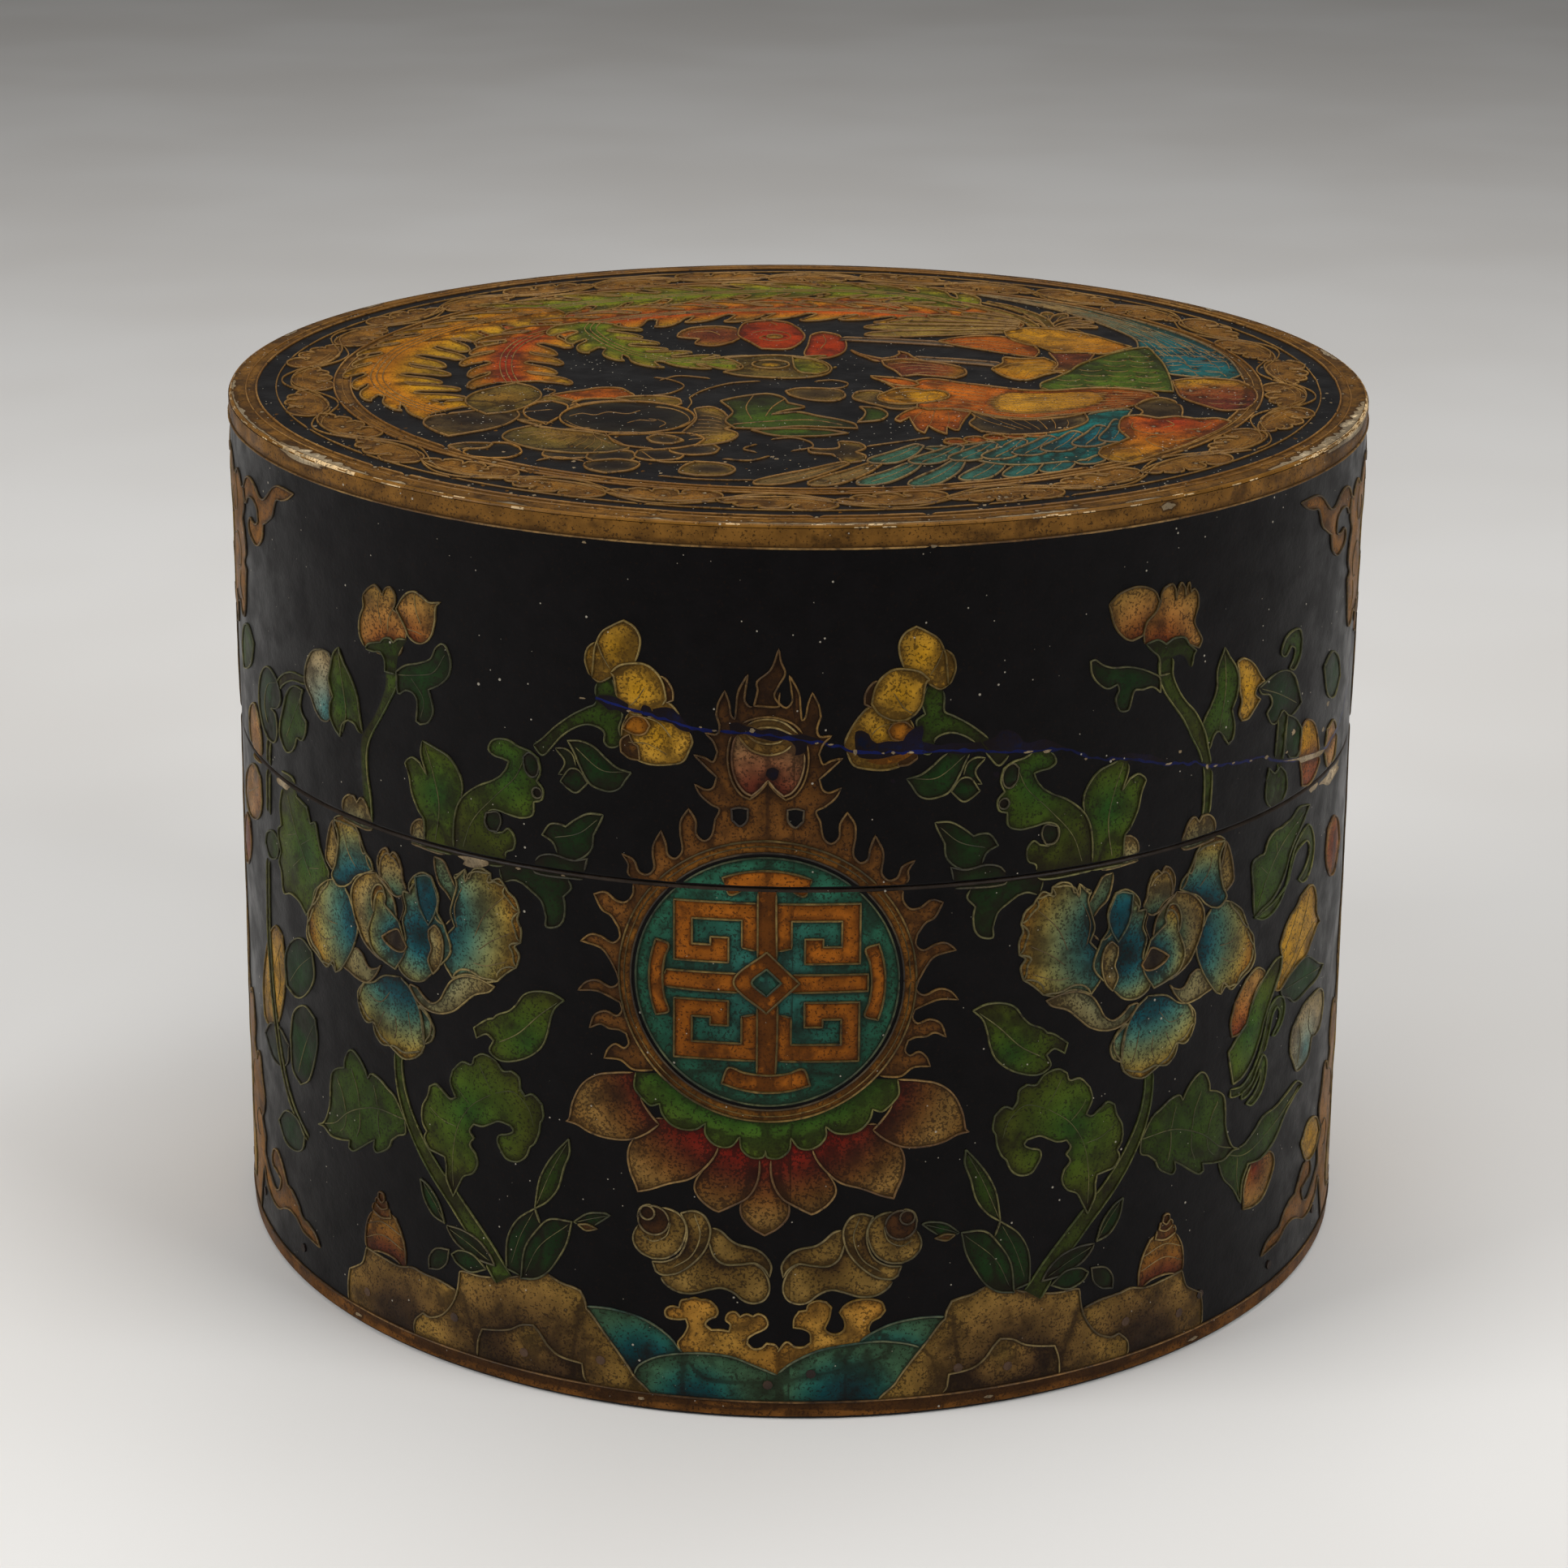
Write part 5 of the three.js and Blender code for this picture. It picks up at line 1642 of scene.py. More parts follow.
@dataclass(frozen=True)
class Phoenix(Drawing):
    """The phoenix with its sweeping tail."""

    def tail(self) -> list[Shape]:
        """The three tail feathers.

        Returns:
            The shapes, in painter's order.
        """
        outer = spots("-109 -54 -117 -46 -125 -34 -131 -20 -134 -5 -133.6 14 -131 30 -126 45 -119 60"
            " -110 73 -98 86 -84 97")
        upper = spots("-98 92 -84 102 -66 112 -46 121 -24 128 0 132 20 131.6 38 126 50 118 60 106")
        middle = spots("-112 46 -104 62 -92 75 -78 86 -60 96 -40 104 -14 110 16 112 44 105 66 90")
        inner = spots("-90 -14 -93 0 -94.6 18 -94 34 -90 50 -82 64 -70 76 -52 88 -30 96 -6 100 20 99 42 93"
            " 62 82 74 74")
        green = spots("6 19 -10 16 -26 17 -40 20 -52 28 -60 39 -66 52 -70 66 -69 76")
        shapes = plume(Paint.FEATHER_ORANGE, middle, 14, (10, 12), (1.0, 1.0), span=(1, 14))
        shapes += plume(Paint.FEATHER_GREEN, upper, 12, (15, 15), (1.0, 0.9), span=(1, 16))
        shapes += plume(Paint.FEATHER_YELLOW, outer, 12, (12, 17), (0.74, 1.62), span=(3, 24))
        shapes += plume(Paint.FEATHER_ORANGE, inner, 17, (14, 14), (1.0, 1.25), span=(1, 17))
        shapes += plume(Paint.FEATHER_GREEN, green, 9, (9, 17), (0.9, 1.0), span=(1, 15))
        shapes += [
            traced(Paint.EYE_SPOT, "-24 4|-18 -1 -8 -3.6 1 -3.4 8 1 10.6 9 9 18 3 25 -6 28.6 -16 27 -24 24"
                "|-20 18 -18 10"),
            traced(Paint.FEATHER_GREEN, "-2 26|4 23 8.6 16 9.6 8 6 2|1 4 -1 10 -1.6 16", heart=(-4, 10),
                span=(2, 18)),
            circle(Paint.EYE_SPOT, (-9, 15.6), 6.0),
            circle(Paint.FEATHER_YELLOW, (-9, 15.6), 3.2, raised=False),
            traced(Paint.DUSKY_GOLD, "-107 -56|-100 -52 -94 -46 -90 -38|-88 -46 -85 -56 -87 -66 -92 -74"
                " -99 -80 -104 -84|-109 -77 -113 -68 -112 -60", heart=(-98, -64), span=(0, 26)),
            traced(Paint.EYE_SPOT, "-89 -14|-95 -20 -101 -28 -103 -38 -100 -48 -95 -56|-88 -52 -82 -42"
                " -80 -30 -83 -20", heart=(-92, -34), span=(0, 24)),
        ]
        return shapes

    def body(self) -> list[Shape]:
        """The legs, the thighs, the scaled body and the tail's root.

        Returns:
            The shapes, in painter's order.
        """
        fans = []
        for base, tip, width in (
            ((72, 84), (34, 87), 8), ((74, 80), (44, 91), 8), ((74, 78), (30, 80), 8.4),
            ((74, 74), (22, 73), 9), ((74, 69), (22, 61), 9), ((78, 84), (56, 96), 7),
        ):
            fans += vane(Paint.BIRD_CREAM, base, tip, width, heart=(40, 72), span=(0, 44))
        crest = []
        for tip, bow in (
            ((74, 93), -2), ((79, 98), -1), ((85, 99), 0), ((91, 97), 1), ((96, 91), 2), ((100, 84), 3),
            ((101, 76), 3),
        ):
            crest += vane(Paint.DUSKY_GOLD, (86, 72), tip, 5.2, bow)
        ties = ribbon(Paint.BIRD_CREAM, spots("52 116 62 108 70 98 76 88 80 76"), (3, 3.6, 3.8, 3.4, 3))
        ties += ribbon(Paint.BIRD_CREAM, spots("64 116 72 108 78 99 83 88 85 76"), (3, 3.6, 3.8, 3.4, 3))
        legs = ribbon(Paint.BONE, spots("14 54.5 28 52.5 40 50 52 47"), (4.2, 5, 5, 5.4))
        legs += ribbon(Paint.BONE, spots("30 28 42 25 54 22 68 17"), (4.2, 4.8, 5, 5.4))
        claws = [
            traced(Paint.RUSSET, "17 38|20 32 24 27.6 27 25|31 28 33 33 32.6 36|35.6 33 37 28.6 38.6 25"
                "|41 22 36 19 30 21|25 22 22 27 19 32"),
            traced(Paint.RUSSET, "27 22|33 24.6 40 22.6 48 18 53 12 53.6 4 50 -2|44 0.4 38 2.4|33 0"
                "|31 8 28 15", heart=(38, 10), span=(0, 18)),
            traced(Paint.BIRD_GOLD, "62 12|66 20 67 28 72 26.6 80 28.6|84 20 88 12 91 6|84 8 79 4"
                "|72 -4 66 1"),
        ]
        thighs = [
            traced(Paint.RUSSET, "82 37|90 38 97 35|94 24 89 12 86 6|82 9 84 20", heart=(84, 36),
                span=(0, 30)),
            traced(Paint.BIRD_ORANGE, "46 52|54 58.6 64 61 72 58|77 48 79 38 77 29|70 33 60 40 52 46",
                heart=(66, 56), span=(0, 30)),
            traced(Paint.BIRD_GOLD, "69 68|77 73.4 88 71 98 63 105 53 110 45.6|106 41 100 35 92 36.6 84 36"
                "|80 44 74 50 70 58", heart=(72, 64), span=(0, 40)),
        ]
        scales = [
            traced(Paint.SCALE_GREEN, "76.4 -14|77 -8 82 0 87 9 91 19 97 28 103 36 110 43|115 45 117 34"
                " 118.4 20 118.6 0 118 -18|108 -16 98 -14 88 -15 80 -18", heart=(104, -4), span=(0, 50)),
            *self.scales(spots("80 -14 82 -7 86 0 90 7 94 14 98 21 103 28 107 35"), 8.6, 6,
                Paint.SCALE_GREEN, 118),
            traced(Paint.RUSSET, "119 -3|124 0 132 1 140 -2|143.6 -12 143.6 -24 141 -34 138 -41"
                "|131 -42.4 125 -35 120 -26 119 -14", heart=(134, -34), span=(4, 32)),
            *self.scales(spots("122 -4 122 -10 124 -17 127 -24 130 -31"), 6.4, 4, Paint.RUSSET, 142),
        ]
        hatching = [
            *fan(Paint.BIRD_GOLD, spots("71 66 82 58 94 56"), spots("82 42 92 40 104 46"), 7),
            *fan(Paint.BIRD_ORANGE, spots("48 51 60 54 74 46"), spots("58 43 66 40 77 32"), 4),
            *fan(Paint.BIRD_GOLD, spots("64 12 70 20 80 24"), spots("72 0 76 10 86 10"), 4),
            *fan(Paint.RUSSET, spots("29 17 36 20 46 16"), spots("36 4 42 6 50 4"), 4),
            *fan(Paint.FEATHER_ORANGE, spots("72 78 78 70 82 62"), spots("92 76 96 66 98 58"), 5),
        ]
        return [*fans, *crest, *ties, *legs, *claws, *thighs, *scales, *hatching]

    @staticmethod
    def scales(rows: Sequence[Point], size: float, count: int, paint: Paint, limit: float) -> list[Shape]:
        """Rows of scales, each a raised arc.

        Args:
            rows: Where each row starts.
            size: How far apart the scales of a row are.
            count: How many scales a row has at most.
            paint: The paint.
            limit: The x that no scale passes.

        Returns:
            The arcs.
        """
        arcs = []
        for index, (x, y) in enumerate(rows):
            for step in range(count):
                u, v = x + (step + (index % 2) / 2) * size, y - step * size * 0.1
                if u + size / 2 < limit:
                    arcs.append(line(paint, arc((u, v), size * 0.5, 200, 340, 6), weight=0.55))
        return arcs

    def wings(self) -> list[Shape]:
        """The wing round the right-hand edge and the spread wing in front.

        Returns:
            The shapes, in painter's order.
        """
        band = traced(Paint.WING_TEAL, "62 128|75 122.4 90 113 104 100 117 84 128 66 136 47 140.6 28 142 6"
            "|136 -1 128 2 119 6|117 22 112 42|112 58 106 74 98 89 88 104 74 118", heart=(132, 34),
            span=(0, 90))
        lines = drawn(Paint.WING_TEAL, "68 125 86 110 100 92 112 70 120 50 122 38",
            "76 120 92 106 106 88 118 68 127 50 130 36", "88 112 102 97 114 80 125 62 133 44 137 26",
            "112 42 118 40 121 32", "118 46 126 44 128 34", "126 48 133 44 135 32",
            "117 22 124 24 127 16", "127 22 134 22 136 12", "72 124 94 110 110 90 122 66 130 42",
            "84 116 99 101 111 82 118 64 120 48", "112 56 118 52 121 44",
            "124 60 129 54 131 46", "119 34 124 32 126 22", "128 34 133 30 134 20",
            "136 30 139 24 139 14", "122 14 126 12 128 4", "130 12 135 10 137 3", weight=0.6)
        lines += fan(Paint.WING_TEAL, spots("66 127 98 100 124 64 139 30"),
            spots("76 119 98 90 113 58 117 30"), 9)
        lines += self.scales(spots("114 44 114 37 116 30 118 22 120 14 122 7"), 6.8, 5, Paint.WING_TEAL, 142)
        spread = [
            traced(Paint.WING_DEEP, "103 -42|96 -44 88 -50 80 -58 74 -68 66 -78|58 -84 48 -90 36 -92"
                "|60 -112 84 -106|94 -90 99 -74 100 -56", heart=(90, -76), span=(0, 60)),
        ]
        rows = (
            stroke("36 -90 22 -112|48 -90 34 -112|58 -86 46 -108|67 -82 56 -106|76 -78 65 -101"
                "|84 -72 74 -96|92 -64 84 -90|98 -56 93 -84"),
            stroke("14 -112 -12 -137|24 -110 4 -138|36 -108 18 -137|48 -106 33 -138|60 -102 48 -131"
                "|70 -98 61 -127|80 -92 72 -121|90 -82 83 -111"),
        )
        long_feathers = [
            shape
            for index, (base, tip) in enumerate(rows[1])
            for shape in vane(Paint.DUSKY if index < 2 else Paint.WING_TEAL, base, tip, 8.6, 1.6,
                heart=(86, -88), span=(0, 76))
        ]
        short_feathers = [
            shape
            for base, tip in rows[0]
            for shape in vane(Paint.WING_TEAL, base, tip, 9.4, 1.2, heart=(86, -80), span=(0, 64))
        ]
        small = []
        for x, y in spots("47 -85 53 -82.6 59 -79.6 65 -77 71 -75"):
            small.append(circle(Paint.BIRD_ORANGE, (x, y), 3.6))
        return [band, *lines, *long_feathers, *spread, *short_feathers, *small]

    def neck(self) -> list[Shape]:
        """The neck with its hanging feathers, and the head.

        Returns:
            The shapes, in painter's order.
        """
        beard = [
            traced(Paint.BIRD_ORANGE, "36 -43|32 -50 29.6 -58 31 -61|34 -55|35 -64 36 -71 38 -75|39.4 -66"
                "|42 -72 44.6 -76|45 -67|48 -71 49.4 -64|51 -56 53 -48|46 -44", heart=(40, -45),
                span=(0, 40)),
            *drawn(Paint.BIRD_ORANGE, "39 -46 36 -54 35 -60", "42 -46 41 -56 40 -64",
                "46 -46 46 -56 45.6 -64", "49 -47 50 -54 49 -62", weight=0.5),
        ]
        shade = traced(Paint.DUSKY, "52 -46|60 -54 70 -57 80 -54 88 -48|88 -58 82 -68 74 -74 64 -76 55 -72"
            "|52 -62 54 -54")
        neck = traced(Paint.BIRD_ORANGE, "23 0|29 -2.4 34 -4 37 -7|40 -3.6 45 -4 51 -8 58 -11.4 65 -15"
            " 72 -18 80 -18 86 -16 94 -14.4 103 -15 111 -19|112.6 -25 108 -32 102 -39 94 -44 86 -48 78 -52"
            "|72 -55 64 -54 57 -50 52 -45|47 -44 40 -45|36 -40|34 -30|31 -18|28 -10", heart=(46, -20),
            span=(0, 60))
        gold = traced(Paint.BIRD_GOLD, "66 -20|76 -21 84 -19 92 -18|96 -24 94 -32 90 -38|80 -44 70 -48"
            " 62 -46|60 -36 62 -27", raised=False, lift=RELIEF, heart=(72, -34), span=(6, 30))
        strokes = [
            *fan(Paint.BIRD_GOLD, spots("60 -22 76 -25 98 -20"), spots("56 -46 68 -51 86 -48"), 12),
            *fan(Paint.BIRD_ORANGE, spots("40 -7 50 -13 60 -19"), spots("38 -42 48 -43 57 -48"), 8),
            *fan(Paint.BIRD_ORANGE, spots("98 -19 104 -20 110 -21"), spots("88 -44 94 -41 101 -37"), 7),
        ]
        head = [
            traced(Paint.DUSKY_GOLD, "27 -22|23 -20.4 19 -22 17 -27 17.6 -32 21 -36|25 -40 29 -44 33 -44.6"
                " 36.6 -42|37 -36|30 -30", heart=(30, -34), span=(0, 16)),
            traced(Paint.BIRD_GOLD, "27.6 -22|31 -17 36 -16.6 40 -19.4|44 -19 47 -23.6 46.6 -29 43 -33.4"
                " 38.6 -36 33 -38 28 -36.6 25 -32 25 -27", heart=(38, -26), span=(2, 15)),
            *drawn(Paint.BIRD_GOLD, "28 -30 34 -31.4 40 -30.6 44 -27",
                "40 -33 40.6 -26 43 -23", "30 -24 35 -21 40 -22", weight=0.6),
            traced(Paint.BIRD_ORANGE, "30 -12|27 -7 24 -3 23 0|28 -1.4 33 -3.4 37 -7|38 -11 35 -14"),
        ]
        tail = [
            traced(Paint.DUSKY_GOLD, "104 -38|108 -30 113 -26.6 117 -31 118.6 -40 117 -54|110 -54 104 -51"
                "|106 -45", heart=(112, -46), span=(0, 22)),
            traced(Paint.FEATHER_ORANGE, "98 -57|100 -52 105 -50 110 -53.6|116 -51 122 -53.6 128 -53"
                " 132 -57|128 -66 122 -76 115 -87 107 -97 98 -109|92 -107 88.6 -99 90 -91|95 -85 99 -79"
                "|97 -68", heart=(114, -58), span=(0, 58)),
            *drawn(Paint.FEATHER_ORANGE, "102 -58 101 -66 104 -72 110 -74 114 -70",
                "126 -58 122 -66 116 -68", "96 -104 92 -99 94 -93 100 -92 101 -98",
                "110 -92 106 -88 104 -80 108 -76", "120 -76 116 -80 110 -82",
                "112 -56 114 -62 110 -66", weight=0.6),
        ]
        folds = fan(Paint.DUSKY, spots("53 -50 58 -60 66 -70"), spots("82 -56 82 -62 80 -68"), 7)
        return [shade, *folds, *beard, neck, gold, *strokes, *tail, *head]

    def shapes(self) -> list[Shape]:
        """The bird, its tail first."""
        return [*self.tail(), *self.wings(), *self.body(), *self.neck()]


@dataclass(frozen=True)
class TopPeony(Drawing):
    """The outlined peony with its leaves and the red flower."""

    def peony(self) -> list[Shape]:
        """The large peony.

        Returns:
            The shapes, in painter's order.
        """
        dusk, gold, cream, hollow = Paint.DUSKY, Paint.DUSKY_GOLD, Paint.EYE_SPOT, Paint.HOLLOW
        outer = [
            *[
                traced(dusk,
                    f"{x - 7} {y + 4}|{x - 7.4} {y - 4} {x - 2} {y - 8} {x + 5} {y - 6}"
                    f" {x + 7} {y}|{x + 4} {y + 5}")
                for x, y in spots("-67 -102 -54 -105 -40 -103 -30 -96")
            ],
            traced(hollow, "-96 -98|-92 -92 -86 -92 -82 -97|-81 -103 -84 -109 -90 -110|-95 -108 -98 -103"),
            traced(cream, "-80 -70|-86 -76 -88 -84 -84 -92 -76 -99 -66 -103 -56 -102|-50 -97 -51 -90"
                "|-55 -84 -62 -78 -70 -75", heart=(-66, -78), span=(2, 24)),
            traced(gold, "-32 -46|-27 -44 -23 -50 -22 -54|-19 -60 -19 -67 -22 -72|-18 -78 -20 -86 -25 -91"
                "|-31 -93 -38 -88|-34 -74 -31 -60", heart=(-38, -66), span=(6, 24)),
            traced(hollow, "-57 -80|-50 -80 -42 -78|-33 -78 -28 -84 -30 -92|-38 -97 -48 -95 -54 -90"),
            traced(gold, "-45 -84|-42 -80 -37 -82 -34 -87|-38 -91 -43 -89", heart=(-40, -86)),
            traced(gold, "-78 -70|-84 -64 -89 -55 -89 -44 -84 -36 -78 -31|-74 -32 -70 -36 -69 -42"
                "|-74 -50 -75 -60", heart=(-70, -52), span=(6, 22)),
            traced(hollow, "-76 -68|-82 -60 -84 -50 -81 -41 -76 -38|-71 -44 -72 -56"),
        ]
        top = [
            traced(Paint.BIRD_ORANGE, "-77 -30|-72 -26 -67 -23 -62 -19.6 -56 -20 -53 -25|-51 -31 -56 -37"
                "|-64 -40 -70 -37", heart=(-68, -36), span=(0, 18)),
            traced(gold, "-58 -37|-56 -33 -50 -30.6 -42 -30.6 -37 -34 -36 -40|-40 -45 -48 -42",
                heart=(-50, -44), span=(2, 14)),
            traced(hollow, "-70 -40|-66 -35 -58 -34|-52 -37 -44 -42|-50 -48 -62 -48"),
        ]
        rings = [
            *fan(cream, spots("-84 -80 -78 -78 -72 -79"), spots("-60 -101 -58 -92 -59 -84"), 9),
            *fan(gold, spots("-30 -50 -26 -52 -23 -56"), spots("-33 -86 -28 -84 -22 -84"), 8),
            *fan(gold, spots("-76 -32 -80 -38 -84 -44"), spots("-74 -66 -80 -64 -86 -62"), 3),
            circle(hollow, (-52, -58), 20.5),
            *drawn(gold, "-72 -52 -68 -43 -60 -37.6 -50 -38", "-70 -58 -66 -54 -62 -56 -58 -52 -52 -54"
                " -48 -49", "-71 -62 -66 -71 -57 -77 -47 -77", "-46 -60 -42 -62 -40 -66 -42 -71",
                "-52 -66 -48 -62 -44 -63 -42 -60", "-44 -44 -38 -48 -34 -55 -33 -63 -36 -70",
                "-62 -74 -60 -84 -55 -92", "-58 -76 -56 -84 -51 -93",
                "-78 -72 -70 -74 -62 -72", "-74 -34 -70 -36 -68 -42",
                "-78 -31 -76 -24 -80 -21", "-34 -31 -33 -38 -34 -46"),
        ]
        return [*outer, *top, *rings]

    def leaves(self) -> list[Shape]:
        """The green leaves, the ochre leaves and the curls.

        Returns:
            The shapes, in painter's order.
        """
        green, gold = Paint.TOP_LEAF, Paint.DUSKY_GOLD
        shapes = [
            traced(green, "-24 -36|-18 -30 -10 -26 -5 -30 -3 -38|2 -43 -4 -48 -8 -53|0 -50 6 -54.6"
                " 12 -58.6 17 -64 18 -70|10 -69 0 -68 -10 -71 -19 -71|-22 -62 -20 -50", heart=(-8, -56),
                span=(0, 28)),
            traced(green, "-14 -73|-4 -71 8 -72 15 -76|6 -80 -6 -80", heart=(0, -74), span=(0, 16)),
            traced(green, "19 -42|24.6 -44 27.4 -51 25 -59 18 -62.4|20 -55 20.6 -48", heart=(23, -52),
                span=(0, 10)),
            traced(gold, "-4 -22|0 -18 8 -18 13 -20 14.6 -28 11 -34.6 4 -33.4 -2 -28", heart=(6, -24),
                span=(0, 13)),
            traced(gold, "12 -86|18 -88 20 -94 17 -99|20 -104 18 -110 13 -112|12 -106 10 -102"
                "|4 -100 3 -95|8 -96 12 -94", heart=(12, -98)),
            traced(gold, "-30 -112|-22 -114 -18 -120 -21 -127 -29 -128|-34 -124 -33 -117", heart=(-26, -120)),
            traced(Paint.DUSKY, "-60 -112|-52 -110 -46 -114 -48 -122 -55 -126|-60 -122 -62 -116"),
            traced(gold, "-90 -92|-98 -92 -103 -96 -98 -99 -92 -98"),
        ]
        lines = drawn(gold, "-46 -4 -40 -8 -36 -16 -40 -26 -46 -30", "-28 -5 -38 -2 -44 -8",
            "-12 -8 -22 -12 -30 -22 -34 -32", "5 -8 11 -6 15.6 -10 14 -16 9 -18",
            "0 -82 4 -88 4 -94 -2 -98", "-8 -84 -2 -82 2 -84", "-8 -104 -14 -110 -22 -108",
            "-12 -90 -16 -96 -12 -100", "-46 -100 -40 -112 -30 -112",
            "-20 -66 -8 -62 4 -60 14 -66", "-4 -32 -8 -44 -10 -56", "-14 -28 -16 -44 -14 -60",
            "-62 -112 -70 -108 -76 -112", "-40 -128 -28 -132 -10 -132 6 -128",
            "20 -92 30 -86 40 -80", weight=0.7)
        return [*shapes, *lines]

    def red_flower(self) -> list[Shape]:
        """The red flower beside the tail.

        Returns:
            The shapes, in painter's order.
        """
        red = Paint.FLOWER_RED
        return [
            traced(Paint.RUSSET, "-40 62|-36 69 -28 72 -20 69|-18 60 -22 48|-28 42 -34 45 -33 52|-40 55",
                heart=(-28, 58), span=(0, 16)),
            traced(red, "-20 69|-18 78 -11 82 -4 79 0 70|2 58 0 46 -4 38 -12 38|-16 48 -20 58",
                heart=(-9, 58), span=(0, 24)),
            traced(red, "4 60|8 64 13 60 15.6 50 15 36 11 27 6 24|2 30 3 44", heart=(8, 42), span=(0, 22)),
            *drawn(red, "-16 62 -10 66 -4 62 -3 54 -8 50 -13 54 -11 59",
                "-36 62 -30 64 -26 58", "-10 80 -7 74", "8 60 9 50 7 38", weight=0.65),
            circle(Paint.BIRD_GOLD, (-8, 57), 2.6),
        ]

    def shapes(self) -> list[Shape]:
        """The flowers and the leaves."""
        return [*self.red_flower(), *self.peony(), *self.leaves()]


@dataclass(frozen=True)
class TopDamage(Drawing):
    """The chips along the edge of the top and the specks of gesso."""

    specks: int = 330
    rim: float = 178.9
    chip_start: float = 178.7
    speck_reach: float = 176.0

    def shapes(self) -> list[Shape]:
        """The chips and the specks.

        Returns:
            The shapes, in painter's order.
        """
        chance = np.random.default_rng(TOP_CHIP_SEED)
        shapes = []
        chips = (
            (215.5, 226.5, 2.2), (229, 231.5, 1.2), (196, 199, 1.4), (184, 188, 1.0), (160, 163, 1.2),
            (320, 337.5, 2.4), (287, 297, 1.5), (36, 38, 1.6), (10, 15, 1.5), (338.6, 341, 1.0),
            (301, 305, 1.0), (256, 259, 0.9), (242, 245, 1.3), (122, 124, 1.0), (144, 147, 1.0),
            (69, 71, 0.9), (189, 210, 0.7), (211, 223, 3.0), (328, 351, 3.2), (262, 286, 0.8),
        )
        for start, end, width in chips:
            count = max(7, int(1.6 * (end - start)))
            angles = np.linspace(start, end, count)
            depth = width * np.sin(np.linspace(0.25, 2.9, count)) * chance.uniform(0.35, 1.3, count)
            outer = [arc((0, 0), self.rim, angle, angle, 1)[0] for angle in angles]
            pairs = zip(angles, self.chip_start - depth)
            inner = [arc((0, 0), reach, angle, angle, 1)[0] for angle, reach in pairs][::-1]
            loop = (tuple(outer), tuple(inner[:1]), tuple(inner[1:]))
            shapes.append(Shape(Paint.GESSO, loop, raised=False, lift=-0.2))
        for _ in range(self.specks):
            turn = chance.uniform(195, 375)
            reach = self.speck_reach * math.sqrt(chance.uniform(0.3, 1))
            centre = arc((0, 0), reach, turn, turn, 1)[0]
            size = chance.uniform(0.26, 0.72)
            paint = Paint.GESSO if chance.random() < 0.75 else Paint.BIRD_GOLD
            speck = Damage.ragged(centre, (size, size * 1.5), chance)
            shapes.append(Shape(paint, (speck,), raised=False, lift=0.15))
        return shapes


@dataclass(frozen=True)
class TopPainting(Drawing):
    """The whole drawing of the top."""

    def shapes(self) -> list[Shape]:
        """Everything in painter's order."""
        return [*Border().shapes(), *TopPeony().shapes(), *Phoenix().shapes(), *TopDamage().shapes()]


# Surfaces and the meshes laid on them


class Surface:
    """Where a drawing lies on the box."""

    def place(self, points: np.ndarray, lift: np.ndarray | float) -> np.ndarray:
        """Points of the drawing, raised by lift, as places in metres."""
        raise NotImplementedError


@dataclass(frozen=True)
class WallSurface(Surface):
    """The outside of a round wall, from the middle of one side."""

    radius: Callable[[np.ndarray], np.ndarray]
    turn: float = 0.0

    def place(self, points: np.ndarray, lift: np.ndarray | float) -> np.ndarray:
        """Points round the wall, raised outwards by lift.

        Args:
            points: One point per row.
            lift: How far they are raised, in millimetres.

        Returns:
            One place in metres per row.
        """
        angle = points[:, 0] / SIZES.radius + self.turn
        reach = self.radius(points[:, 1]) + lift
        return np.stack([reach * np.sin(angle), -reach * np.cos(angle), points[:, 1]], 1) * MM


@dataclass(frozen=True)
class TopSurface(Surface):
    """The flat top."""

    level: float

    def place(self, points: np.ndarray, lift: np.ndarray | float) -> np.ndarray:
        """Points of the top, raised by lift."""
        return np.stack([points[:, 0], points[:, 1], self.level + lift + 0 * points[:, 0]], 1) * MM


